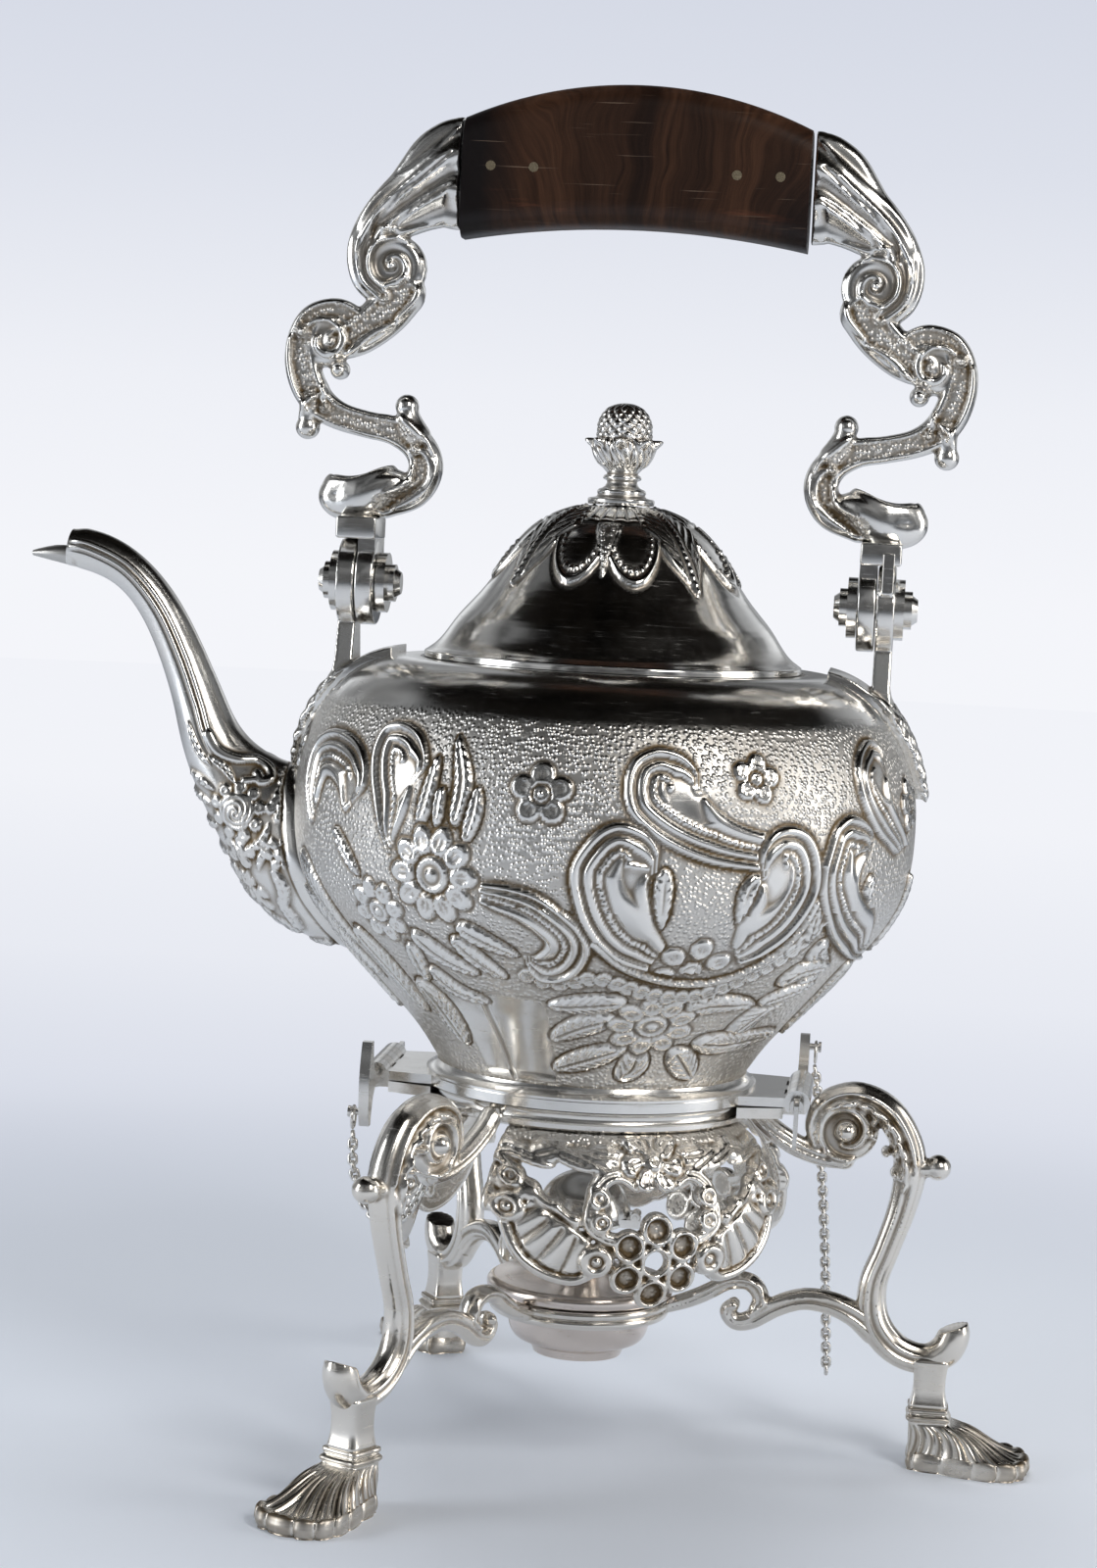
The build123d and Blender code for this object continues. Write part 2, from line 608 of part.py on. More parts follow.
with BuildPart() as grip_pins:
    with BuildSketch(upright()):
        for side in (-1, 1):
            with Locations((side * (ARM_END - 9), TANG_LEVEL), (side * (ARM_END - 21), TANG_LEVEL)):
                Circle(GRIP_PIN_RADIUS)
    extrude(amount=GRIP_THICK / 2 + 0.1, both=True)
grip_pins.part.label = "grip_pins"
export_step(grip_pins.part, "parts/grip_pins.step")

# ---------------------------------------------------------------- lid
with BuildPart() as lid:
    with BuildSketch(upright()):
        with BuildLine():
            lid_outline()
            Line((0, LID_TOP), (0, LID_TOP - LID_WALL))
            lid_outline(LID_WALL)
            Line((LID_RADIUS - LID_WALL, LID_LEVEL), (LID_RADIUS, LID_LEVEL))
        make_face()
    revolve(axis=KETTLE_AXIS)
    with BuildSketch(level(LID_LEVEL)):
        Circle(STUD_RADIUS)
    extrude(amount=2 * LID_RISE, mode=Mode.SUBTRACT)
lid.part.label = "lid"
export_step(lid.part, "parts/lid.step")

BEZEL_RADIUS = MOUTH_RADIUS - BEZEL_CLEARANCE
with BuildPart() as lid_bezel:
    with BuildSketch(upright()):
        with BuildLine():
            Polyline(
                (LID_RADIUS - LID_WALL, LID_LEVEL), (LID_RADIUS - LID_WALL, LID_LEVEL + BEZEL_WALL),
                (BEZEL_RADIUS - BEZEL_WALL, LID_LEVEL + BEZEL_WALL),
                (BEZEL_RADIUS - BEZEL_WALL, LID_LEVEL - BEZEL_DEPTH),
                (BEZEL_RADIUS, LID_LEVEL - BEZEL_DEPTH), (BEZEL_RADIUS, LID_LEVEL), close=True,
            )
        make_face()
    revolve(axis=KETTLE_AXIS)
lid_bezel.part.label = "lid_bezel"
export_step(lid_bezel.part, "parts/lid_bezel.step")

# Finial outline: radius and share of its height, base to pineapple tip.
FINIAL_BASE = ((9.2, 0.0), (9.2, 0.06), (6.6, 0.10), (6.6, 0.15), (4.4, 0.22), (4.4, 0.31))
FINIAL_BULB = ((4.4, 0.31), (8.0, 0.45), (10.0, 0.62), (7.3, 0.69), (6.6, 0.84), (0.0, 1.0))
with BuildPart() as lid_finial:
    with BuildSketch(upright()):
        with BuildLine():
            base = Polyline(*[(r, LID_TOP + share * FINIAL_RISE) for r, share in FINIAL_BASE])
            bulb = [(r, LID_TOP + share * FINIAL_RISE) for r, share in FINIAL_BULB]
            Spline(*bulb, tangents=((0.3, 1), (-1, 0)))
            Polyline(bulb[-1], (0, LID_TOP), base @ 0)
        make_face()
    revolve(axis=KETTLE_AXIS)
    with BuildSketch(level(LID_TOP)):
        Circle(STUD_RADIUS)
    extrude(amount=-(LID_WALL + NUT_THICK + 2))
    add(lid.part, mode=Mode.SUBTRACT)
lid_finial.part.label = "lid_finial"
export_step(lid_finial.part, "parts/lid_finial.step")

with BuildPart() as finial_nut:
    with BuildSketch(level(LID_TOP - LID_WALL - 0.5)):
        RegularPolygon(NUT_WIDTH / 2, 6, major_radius=False)
        Circle(STUD_RADIUS, mode=Mode.SUBTRACT)
    extrude(amount=-NUT_THICK)
finial_nut.part.label = "finial_nut"
export_step(finial_nut.part, "parts/finial_nut.step")

# The lid's hinge is on the far side: its middle knuckle is the lid's, the outer two the body's.
LID_KNUCKLE = (LID_BARREL_LENGTH - 2 * HINGE_GAP) / 3


def lid_knuckle(start, length):
    """Bored knuckle of the lid's hinge, along X from a start measured from the axis."""
    place = Plane(
        origin=(AXIS_X + start, LID_HINGE_Y, LID_HINGE_LEVEL), x_dir=(0, 1, 0), z_dir=(1, 0, 0)
    )
    with BuildSketch(place) as ring:
        Circle(LID_KNUCKLE_RADIUS)
    extrude(ring.sketch, amount=length)


def lid_pin_bore():
    """Bore along the whole barrel of the lid's hinge."""
    place = Plane(
        origin=(AXIS_X - LID_BARREL_LENGTH, LID_HINGE_Y, LID_HINGE_LEVEL),
        x_dir=(0, 1, 0), z_dir=(1, 0, 0),
    )
    with BuildSketch(place) as bore:
        Circle(LID_PIN_RADIUS + RUNNING)
    extrude(bore.sketch, amount=2 * LID_BARREL_LENGTH, mode=Mode.SUBTRACT)


with BuildPart() as lid_hinge_base:
    for start in (-LID_BARREL_LENGTH / 2, LID_BARREL_LENGTH / 2 - LID_KNUCKLE):
        lid_knuckle(start, LID_KNUCKLE)
        with BuildSketch(level(SHOULDER_LEVEL)):
            with Locations((start + LID_KNUCKLE / 2, LID_HINGE_Y)):
                Rectangle(LID_KNUCKLE, LID_KNUCKLE_RADIUS * 1.6)
        extrude(amount=LID_HINGE_LEVEL - SHOULDER_LEVEL)
    add(body_form.part, mode=Mode.SUBTRACT)
    lid_pin_bore()
lid_hinge_base.part.label = "lid_hinge_base"
export_step(lid_hinge_base.part, "parts/lid_hinge_base.step")

with BuildPart() as lid_hinge_leaf:
    lid_knuckle(-LID_KNUCKLE / 2, LID_KNUCKLE)
    with BuildSketch(level(LID_HINGE_LEVEL - 0.2)):
        with Locations((0, LID_HINGE_Y)):
            Rectangle(LID_KNUCKLE, 8, align=(Align.CENTER, Align.MAX))
    extrude(amount=1.2)
    add(lid_form.part, mode=Mode.SUBTRACT)
    lid_pin_bore()
lid_hinge_leaf.part.label = "lid_hinge_leaf"
export_step(lid_hinge_leaf.part, "parts/lid_hinge_leaf.step")

with BuildPart() as lid_hinge_pin:
    place = Plane(
        origin=(AXIS_X - LID_BARREL_LENGTH / 2 - 0.6, LID_HINGE_Y, LID_HINGE_LEVEL),
        x_dir=(0, 1, 0), z_dir=(1, 0, 0),
    )
    with BuildSketch(place):
        Circle(LID_PIN_RADIUS)
    extrude(amount=LID_BARREL_LENGTH + 1.2)
lid_hinge_pin.part.label = "lid_hinge_pin"
export_step(lid_hinge_pin.part, "parts/lid_hinge_pin.step")

# ---------------------------------------------------------------- hinge pins and toggles
TOGGLE_PIVOT = BARREL_LENGTH / 2 + PIN_OVERHANG - 1.8

# "way" is the direction of the crescent handle: the front pin draws towards the viewer's
# side, -Y, and the rear one away from it, +Y.
for name, angle, way in (("front", 180, -1), ("rear", 0, 1)):
    x = AXIS_X + cos(radians(angle)) * HINGE_OUT
    side_board = Plane(origin=(x, 0, HINGE_LEVEL), x_dir=(0, way, 0), z_dir=(way, 0, 0))
    with BuildPart() as hinge_pin:
        handle_root = BARREL_LENGTH / 2 + 2.5
        with BuildSketch(crosswise(x, -way * (BARREL_LENGTH / 2 + PIN_OVERHANG), HINGE_LEVEL, way)):
            Circle(HINGE_PIN_RADIUS)
        extrude(amount=BARREL_LENGTH + PIN_OVERHANG + 6)
        half = HANDLE_HEIGHT / 2
        with BuildSketch(side_board):
            with BuildLine():
                lower = Spline((handle_root, -1.9), (handle_root + 6, -2.6), (handle_root + 11, -half))
                tip = Line(lower @ 1, (handle_root + 14, -half))
                bow = ThreePointArc(tip @ 1, (handle_root + 17, 0), (handle_root + 14, half))
                top = Line(bow @ 1, (handle_root + 11, half))
                upper = Spline(top @ 1, (handle_root + 6, 2.6), (handle_root, 1.9))
                Line(upper @ 1, lower @ 0)
            make_face()
        extrude(amount=HANDLE_THICK / 2, both=True)
        with BuildSketch(side_board):
            with Locations((-TOGGLE_PIVOT + TOGGLE_WIDTH / 2 + 0.2, 0)):
                Rectangle(
                    PIN_OVERHANG, 4 * HINGE_PIN_RADIUS, align=(Align.MAX, Align.CENTER)
                )
        extrude(amount=TOGGLE_THICK / 2 + 0.2, both=True, mode=Mode.SUBTRACT)
        with BuildSketch(side_board):
            with Locations((-TOGGLE_PIVOT, 0)):
                Circle(RIVET_RADIUS)
        extrude(amount=TOGGLE_THICK / 2 + 0.4, both=True)
    hinge_pin.part.label = f"{name}_hinge_pin"
    export_step(hinge_pin.part, f"parts/{name}_hinge_pin.step")

    # The front toggle lies in line with its pin, ready to be drawn; the rear one hangs.
    with BuildPart() as toggle:
        with BuildSketch(side_board):
            with Locations((-TOGGLE_PIVOT, 0)):
                Circle(TOGGLE_WIDTH / 2)
                if name == "front":
                    far = (-TOGGLE_LENGTH, 0)
                    strip = (TOGGLE_LENGTH, TOGGLE_WIDTH)
                else:
                    far = (0, -TOGGLE_LENGTH)
                    strip = (TOGGLE_WIDTH, TOGGLE_LENGTH)
                with Locations(far):
                    Circle(TOGGLE_WIDTH / 2)
                with Locations((far[0] / 2, far[1] / 2)):
                    Rectangle(*strip)
                Circle(RIVET_RADIUS + RUNNING, mode=Mode.SUBTRACT)
        extrude(amount=TOGGLE_THICK / 2, both=True)
    toggle.part.label = f"{name}_toggle"
    export_step(toggle.part, f"parts/{name}_toggle.step")

# ---------------------------------------------------------------- stand ring
with BuildPart() as stand_ring:
    with BuildSketch(upright()):
        with BuildLine():
            inner = Polyline(
                (RING_RADIUS - 1.8, RING_BOTTOM), (RING_BORE, RING_BOTTOM),
                (RING_BORE, STAND_HEIGHT), (RING_RADIUS, STAND_HEIGHT),
            )
            cove = ThreePointArc(
                inner @ 1, (RING_RADIUS - 1.4, RING_BOTTOM + 3.4), (RING_RADIUS - 0.5, RING_BOTTOM + 2)
            )
            Polyline(cove @ 1, (RING_RADIUS - 0.5, RING_BOTTOM + 0.8), inner @ 0)
        make_face()
    revolve(axis=KETTLE_AXIS)
    hinge_lug(STAND_HEIGHT - LUG_THICK, LUG_THICK, RING_RADIUS - 4, LUG_OUT)
    knuckles(range(1, KNUCKLES, 2), STAND_HEIGHT - LUG_THICK, LUG_THICK)
    pin_bores()
stand_ring.part.label = "stand_ring"
export_step(stand_ring.part, "parts/stand_ring.step")

# ---------------------------------------------------------------- legs, feet, lamp brackets
# Leg stations: out from the axis, up from the table, width, depth.
LEG_ROUTE = (
    (65.0, 89.5, 3.6, 6.0),
    (63.6, 96.0, 4.6, 7.4),
    (67.2, 102.6, 6.6, LEG_DEPTH),
    (75.6, 105.2, 8.0, LEG_DEPTH),
    (84.2, 101.6, 8.6, LEG_DEPTH),
    (89.6, 94.0, 9.0, LEG_DEPTH),
    (91.4, 85.0, 9.0, LEG_DEPTH),
    (90.0, 74.0, 7.6, LEG_DEPTH),
    (86.6, 62.0, 7.2, LEG_DEPTH),
    (83.0, 51.0, 8.2, LEG_DEPTH),
    (84.2, 40.6, 9.2, LEG_DEPTH),
    (90.6, 33.0, 8.6, LEG_DEPTH),
    (98.6, 30.8, 8.2, LEG_DEPTH),
    (105.0, 33.6, 7.4, LEG_DEPTH),
)
STRUT_ROUTE = ((72.0, 87.5, 6.0, 7.0), (62.0, 88.5, 6.2, 7.0), (53.0, 92.4, 6.4, 7.0))
BRACKET_ROUTE = (
    (83.5, 38.5, 8.0, 7.0),
    (74.0, 44.0, 6.6, 6.6),
    (64.0, 45.6, 6.0, 6.2),
    (54.5, 42.0, 6.0, 6.0),
    (47.5, 37.6, 5.4, 5.6),
    (43.4, 39.6, 4.6, 5.2),
)
BRACKET_HOOK = (
    (51.6, 41.0, 4.6, 5.4),
    (50.6, 46.6, 5.0, 5.6),
    (44.4, 49.0, 5.0, 5.6),
    (37.2, 45.8, 4.8, 5.4),
    (31.6, 43.0, 4.8, 5.2),
)

with BuildPart() as lamp_ring:
    with BuildSketch(upright()):
        with BuildLine():
            top = LAMP_RING_TOP
            inside = Polyline(
                (LAMP_RING_RADIUS - 1, LAMP_RING_LEVEL), (LAMP_RING_BORE, LAMP_RING_LEVEL),
                (LAMP_RING_BORE, top), (LAMP_RING_RADIUS - 0.6, top),
            )
            upper = ThreePointArc(
                inside @ 1, (LAMP_RING_RADIUS, top - 1.2), (LAMP_RING_RADIUS - 0.8, top - 2.4)
            )
            ThreePointArc(upper @ 1, (LAMP_RING_RADIUS - 0.2, LAMP_RING_LEVEL + 1.2), inside @ 0)
        make_face()
    revolve(axis=KETTLE_AXIS)
lamp_ring.part.label = "lamp_ring"
export_step(lamp_ring.part, "parts/lamp_ring.step")

for name, angle in LEGS.items():
    board = upright(angle)
    with BuildPart() as leg:
        oval_loft(board, [(out, on_leg(up), wide, deep) for out, up, wide, deep in LEG_ROUTE])
        boss(board, 73.4, on_leg(95.4), 8.4, LEG_DEPTH * 0.8)
        boss(board, 73.4, on_leg(95.4), 3.6, LEG_DEPTH + 1.4)
        boss(board, 99.8, on_leg(86.0), 3.4, LEG_DEPTH)
        with BuildSketch(board):
            with Locations((96.4, on_leg(85.6))):
                Rectangle(6.4, 4.4, rotation=6)
            with Locations((105.4, on_leg(34.8))):
                Rectangle(7.2, 7.6, rotation=-14)
        extrude(amount=LEG_DEPTH / 2, both=True)
        strut = [(out, on_leg(up), wide, deep) for out, up, wide, deep in STRUT_ROUTE]
        oval_loft(board, (*strut, (RING_RADIUS - 2, RING_BOTTOM + 1, 5.4, 7.0)))
        with BuildSketch(level(ANKLE_HEIGHT, angle)):
            with Locations((ANKLE_OUT, 0)):
                Rectangle(ANKLE_WIDTH, ANKLE_DEPTH)
        extrude(amount=ANKLE_RISE)
        with BuildSketch(level(RING_BOTTOM, angle)):
            Circle(RING_RADIUS + 2)
        extrude(amount=2 * RING_DEPTH, mode=Mode.SUBTRACT)
        add(stand_ring.part, mode=Mode.SUBTRACT)
    leg.part.label = f"{name}_leg"
    export_step(leg.part, f"parts/{name}_leg.step")

    with BuildPart() as foot:
        heel = ANKLE_OUT - HEEL_SETBACK
        fan = TOE_REACH - 25
        with BuildSketch(level(0, angle)):
            with BuildLine():
                Polyline(
                    (heel, -ANKLE_DEPTH / 2), (TOE_REACH - 9, -TOE_SPREAD / 2),
                    (TOE_REACH - 9, TOE_SPREAD / 2), (heel, ANKLE_DEPTH / 2), close=True,
                )
            make_face()
            with Locations((fan, 0)):
                with PolarLocations(21.8, 5, start_angle=-32, angular_range=64, endpoint=True):
                    Circle(3.2)
        extrude(amount=ANKLE_HEIGHT)
        with BuildSketch(board):
            with BuildLine():
                down = Spline(
                    (ANKLE_OUT + 8, ANKLE_HEIGHT), (ANKLE_OUT + 17, 11.6), (TOE_REACH, 3.6),
                    tangents=((1, -0.1), (1, -0.3)),
                )
                Polyline(
                    down @ 1, (TOE_REACH, 0), (heel, 0), (heel, ANKLE_HEIGHT), down @ 0
                )
            make_face()
        extrude(amount=TOE_SPREAD, both=True, mode=Mode.INTERSECT)
    foot.part.label = f"{name}_foot"
    export_step(foot.part, f"parts/{name}_foot.step")

    with BuildPart() as bracket:
        oval_loft(board, BRACKET_ROUTE)
        oval_loft(board, (*BRACKET_HOOK, (LAMP_RING_RADIUS - 2, LAMP_RING_TOP - 2.4, 4.4, 5.0)))
        add(leg.part, mode=Mode.SUBTRACT)
        with BuildSketch(level(0)):
            Circle(LAMP_RING_RADIUS - 0.9)
        extrude(amount=2 * LAMP_RING_TOP, mode=Mode.SUBTRACT)
        with BuildSketch(level(LAMP_RING_TOP - FACE_GAP)):
            Circle(LAMP_FLANGE + 2 * FACE_GAP)
        extrude(amount=LAMP_RING_DEPTH, mode=Mode.SUBTRACT)
        add(lamp_ring.part, mode=Mode.SUBTRACT)
    bracket.part.label = f"{name}_lamp_bracket"
    export_step(bracket.part, f"parts/{name}_lamp_bracket.step")


# ---------------------------------------------------------------- pierced aprons
# Ornament, as points (across from the apron's middle, down from the ring), one half of it.
SHELL_EDGE = (
    (34.6, 13.5), (40.6, 20.0), (40.1, 26.9), (37.4, 32.9), (33.0, 37.1), (27.4, 39.7),
    (21.0, 40.3), (15.7, 37.3),
)
SHELL_BACK = ((18.4, 26.9), (22.6, 23.9), (27.6, 21.1), (30.8, 17.3))
SCROLL_BANDS = (
    (((47.0, 11.0), (42.2, 7.9), (38.4, 8.1), (36.2, 11.1)), 3.4),
    (((6.0, 11.5), (11.8, 10.3), (16.1, 12.9), (17.6, 17.1), (18.6, 20.1)), 4.4),
    (((18.4, 19.3), (18.2, 23.3), (14.6, 25.9), (10.4, 27.5)), 3.8),
)
SCROLL_EYES = (
    (16.6, 31.9, 4.4), (38.2, 20.1, 3.9), (43.4, 17.9, 3.6), (36.8, 11.9, 2.9),
    (15.6, 15.9, 3.0), (15.4, 22.1, 2.9), (34.0, 15.3, 3.4),
)
HUSKS = ((44.0, 4.9, 6.4, -8), (33.0, 6.1, 8.0, 22), (22.0, 5.9, 8.0, 22), (12.4, 6.1, 6.4, 22))
CLUSTER_DROP = 33.1
CLUSTER_RADIUS = 9.0
CELL_RADIUS = 4.3
CELL_BORE = 3.0
FLOWER_DROP = 6.1
PETAL_RING = 5.8
PETAL_RADIUS = 3.9


for name, angle in APRONS.items():
    middle_angle = angle + APRON_TURN
    with BuildPart() as apron:
        with BuildSketch(outlook(middle_angle, out=RING_BORE / 2)):
            with Locations((0, RING_BOTTOM - 1.6)):
                Rectangle(2 * RING_RADIUS, 3.2)
            for side in (1, -1):
                with BuildLine():
                    outer = Spline(*[(side * x, RING_BOTTOM - drop) for x, drop in SHELL_EDGE])
                    inner = Spline(*[(side * x, RING_BOTTOM - drop) for x, drop in SHELL_BACK])
                    Line(outer @ 1, inner @ 0)
                    Line(inner @ 1, outer @ 0)
                make_face()
                for points, wide in SCROLL_BANDS:
                    with BuildLine():
                        Spline(*[(side * x, RING_BOTTOM - drop) for x, drop in points])
                    trace(line_width=wide)
                for across, drop, radius in SCROLL_EYES:
                    with Locations((side * across, RING_BOTTOM - drop)):
                        Circle(radius)
                for across, drop, reach, lean in HUSKS:
                    with Locations((side * across, RING_BOTTOM - drop)):
                        Ellipse(reach, 2.9, rotation=side * lean)
            with Locations((0, RING_BOTTOM - FLOWER_DROP)):
                Circle(PETAL_RING)
                with PolarLocations(PETAL_RING, 6, start_angle=30):
                    Circle(PETAL_RADIUS)
            with Locations((0, RING_BOTTOM - CLUSTER_DROP)):
                Circle(CELL_RADIUS)
                with PolarLocations(CLUSTER_RADIUS, 6, start_angle=30):
                    Circle(CELL_RADIUS)
                with PolarLocations(CLUSTER_RADIUS / 2, 6, start_angle=30):
                    Circle(CELL_RADIUS / 4)
                Circle(CELL_BORE, mode=Mode.SUBTRACT)
        extrude(amount=2 * RING_RADIUS)
        with BuildSketch(upright(middle_angle - APRON_SPAN / 2)) as rib:
            with BuildLine():
                foot_level = RING_BOTTOM - APRON_DROP
                middle = (APRON_BULGE, RING_BOTTOM - 0.46 * APRON_DROP)
                outer = ThreePointArc(
                    (APRON_TOP_OUT, RING_BOTTOM), middle, (APRON_FOOT_OUT, foot_level)
                )
                end = Line(outer @ 1, (APRON_FOOT_OUT - APRON_THICK, foot_level))
                back = ThreePointArc(
                    end @ 1, (middle[0] - APRON_THICK, middle[1]),
                    (APRON_TOP_OUT - APRON_THICK, RING_BOTTOM),
                )
                Line(back @ 1, outer @ 0)
            make_face()
        revolve(rib.sketch, axis=KETTLE_AXIS, revolution_arc=APRON_SPAN, mode=Mode.INTERSECT)
    apron.part.label = f"{name}_apron"
    export_step(apron.part, f"parts/{name}_apron.step")

# ---------------------------------------------------------------- spirit lamp
SHOULDER_OF_LAMP = LAMP_SEAT + 4.4
BURNER_TOP = LAMP_SEAT + 21.6
with BuildPart() as lamp_reservoir:
    with BuildSketch(upright()):
        with BuildLine():
            foot_edge = Polyline(
                (0, LAMP_BOTTOM), (LAMP_FOOT_RADIUS - 1, LAMP_BOTTOM), (LAMP_FOOT_RADIUS, LAMP_BOTTOM + 2.4),
                (LAMP_FOOT_RADIUS + 2.4, LAMP_BOTTOM + 3.6),
            )
            bowl = Spline(
                foot_edge @ 1, (LAMP_RING_BORE - 0.8, LAMP_RING_LEVEL + 1), tangents=((1, 0.15), (0.15, 1))
            )
            wall = Line(bowl @ 1, (LAMP_RING_BORE - 0.8, LAMP_SEAT))
            under = Line(wall @ 1, (LAMP_FLANGE - 2, LAMP_SEAT))
            bead = ThreePointArc(
                under @ 1, (LAMP_FLANGE, LAMP_SEAT + 2.2), (LAMP_FLANGE - 2, SHOULDER_OF_LAMP)
            )
            top = Spline(
                bead @ 1, (BURNER_RADIUS + 2, SHOULDER_OF_LAMP + 4), tangents=((-1, 0.1), (-1, 0.6))
            )
            Polyline(top @ 1, (0, SHOULDER_OF_LAMP + 4), foot_edge @ 0)
        make_face()
    revolve(axis=KETTLE_AXIS)
    with BuildSketch(level(LAMP_BOTTOM + 5)):
        Circle(WICK_TUBE_RADIUS)
    extrude(amount=40, mode=Mode.SUBTRACT)
lamp_reservoir.part.label = "lamp_reservoir"
export_step(lamp_reservoir.part, "parts/lamp_reservoir.step")

with BuildPart() as burner_collar:
    with BuildSketch(upright()):
        with BuildLine():
            bottom, top = SHOULDER_OF_LAMP + 4, BURNER_TOP - 1.6
            Polyline(
                (WICK_TUBE_RADIUS, bottom), (BURNER_RADIUS, bottom), (BURNER_RADIUS, bottom + 2.2),
                (BURNER_RADIUS - 1.4, bottom + 3), (BURNER_RADIUS - 1.4, top - 2.4),
                (SNUFFER_RADIUS - 2, top), (SNUFFER_RADIUS - 2, top + 0.8), (WICK_TUBE_RADIUS, top + 0.8),
                close=True,
            )
        make_face()
    revolve(axis=KETTLE_AXIS)
burner_collar.part.label = "burner_collar"
export_step(burner_collar.part, "parts/burner_collar.step")

with BuildPart() as wick_tube:
    with BuildSketch(level(LAMP_BOTTOM + 5)):
        Circle(WICK_TUBE_RADIUS)
        Circle(WICK_RADIUS, mode=Mode.SUBTRACT)
    extrude(amount=BURNER_TOP + 2 - LAMP_BOTTOM - 5)
wick_tube.part.label = "wick_tube"
export_step(wick_tube.part, "parts/wick_tube.step")

with BuildPart() as wick:
    with BuildSketch(level(LAMP_BOTTOM + 5)):
        Circle(WICK_RADIUS)
    extrude(amount=BURNER_TOP + 5 - LAMP_BOTTOM - 5)
wick.part.label = "wick"
export_step(wick.part, "parts/wick.step")

# The snuffer hinges on a pin between two small lugs at the edge of the burner's pan.
SNUFFER_LEVEL = BURNER_TOP + 1.5
SNUFFER_HINGE_OUT = SNUFFER_RADIUS + FACE_GAP + SNUFFER_KNUCKLE_RADIUS
SNUFFER_LUGS = ((-3.6, 2.0), (1.6, 2.0))  # start and length along the pin


def snuffer_knuckle(start, length):
    """Unbored knuckle of the snuffer's hinge, across the rear side of the lamp."""
    place = Plane(
        origin=(AXIS_X + SNUFFER_HINGE_OUT, start, SNUFFER_LEVEL), x_dir=(1, 0, 0), z_dir=(0, 1, 0)
    )
    with BuildSketch(place) as ring:
        Circle(SNUFFER_KNUCKLE_RADIUS)
    extrude(ring.sketch, amount=length)


def snuffer_pin(radius, mode=Mode.ADD):
    """Pin of the snuffer's hinge, or with its bore's radius the bore."""
    place = Plane(
        origin=(AXIS_X + SNUFFER_HINGE_OUT, 0, SNUFFER_LEVEL), x_dir=(1, 0, 0), z_dir=(0, 1, 0)
    )
    with BuildSketch(place) as round_face:
        Circle(radius)
    extrude(round_face.sketch, amount=3.8, both=True, mode=mode)


with BuildPart() as snuffer_bracket:
    for start, length in SNUFFER_LUGS:
        snuffer_knuckle(start, length)
        with BuildSketch(level(BURNER_TOP - 1.6)):
            with Locations((SNUFFER_RADIUS - 3, start)):
                Rectangle(
                    SNUFFER_HINGE_OUT - SNUFFER_RADIUS + 3 + SNUFFER_KNUCKLE_RADIUS, length,
                    align=(Align.MIN, Align.MIN),
                )
        extrude(amount=0.8 + SNUFFER_LEVEL - BURNER_TOP)
    add(burner_collar.part, mode=Mode.SUBTRACT)
    with BuildSketch(level(SNUFFER_LEVEL - FACE_GAP)):
        Circle(SNUFFER_RADIUS + FACE_GAP)
    extrude(amount=SNUFFER_RISE, mode=Mode.SUBTRACT)
    snuffer_pin(SNUFFER_PIN_RADIUS + RUNNING, mode=Mode.SUBTRACT)
snuffer_bracket.part.label = "snuffer_bracket"
export_step(snuffer_bracket.part, "parts/snuffer_bracket.step")

with BuildPart() as snuffer_hinge_pin:
    snuffer_pin(SNUFFER_PIN_RADIUS)
snuffer_hinge_pin.part.label = "snuffer_hinge_pin"
export_step(snuffer_hinge_pin.part, "parts/snuffer_hinge_pin.step")

with BuildPart() as snuffer:
    with BuildSketch(upright()):
        with BuildLine():
            dome = EllipticalCenterArc(
                (0, SNUFFER_LEVEL), SNUFFER_RADIUS, SNUFFER_RISE, start_angle=0, arc_size=90
            )
            crown = Line((0, SNUFFER_LEVEL + SNUFFER_RISE), (0, SNUFFER_LEVEL + SNUFFER_RISE - SNUFFER_WALL))
            EllipticalCenterArc(
                (0, SNUFFER_LEVEL), SNUFFER_RADIUS - SNUFFER_WALL, SNUFFER_RISE - SNUFFER_WALL,
                start_angle=0, arc_size=90,
            )
            Line((SNUFFER_RADIUS - SNUFFER_WALL, SNUFFER_LEVEL), (SNUFFER_RADIUS, SNUFFER_LEVEL))
        make_face()
    revolve(axis=KETTLE_AXIS)
    with BuildSketch(level(SNUFFER_LEVEL + SNUFFER_RISE - SNUFFER_WALL - 0.2)):
        Circle(SNUFFER_STUD_RADIUS)
    extrude(amount=SNUFFER_WALL + 1.2)
    snuffer_knuckle(-1.35, 2.7)
    with BuildSketch(level(SNUFFER_LEVEL + 0.2)):
        with Locations((SNUFFER_RADIUS - 0.6, 0)):
            Rectangle(SNUFFER_HINGE_OUT - SNUFFER_RADIUS + 0.6, 2.7, align=(Align.MIN, Align.CENTER))
    extrude(amount=SNUFFER_KNUCKLE_RADIUS - 0.3)
    snuffer_pin(SNUFFER_PIN_RADIUS + RUNNING, mode=Mode.SUBTRACT)
snuffer.part.label = "snuffer"
export_step(snuffer.part, "parts/snuffer.step")

# ---------------------------------------------------------------- rings and chains


def link_ring(x, y, height, facing):
    """Wire ring about a centre, facing along a direction."""
    with Locations(Plane(origin=(AXIS_X + x, y, height), z_dir=facing)):
        Torus(LINK_RING_RADIUS, LINK_WIRE)


STUD_REACH = 3.4
STUD_THICK = 1.0
STUD_Y = BARREL_LENGTH / 2 + 14.6
STUD_RISE = 8.2  # above or below the hinge's level
RING_HANG = LINK_RING_RADIUS - LINK_WIRE - STUD_THICK - RUNNING
RING_OUT = HINGE_OUT + HANDLE_THICK / 2 + 0.55 * STUD_REACH

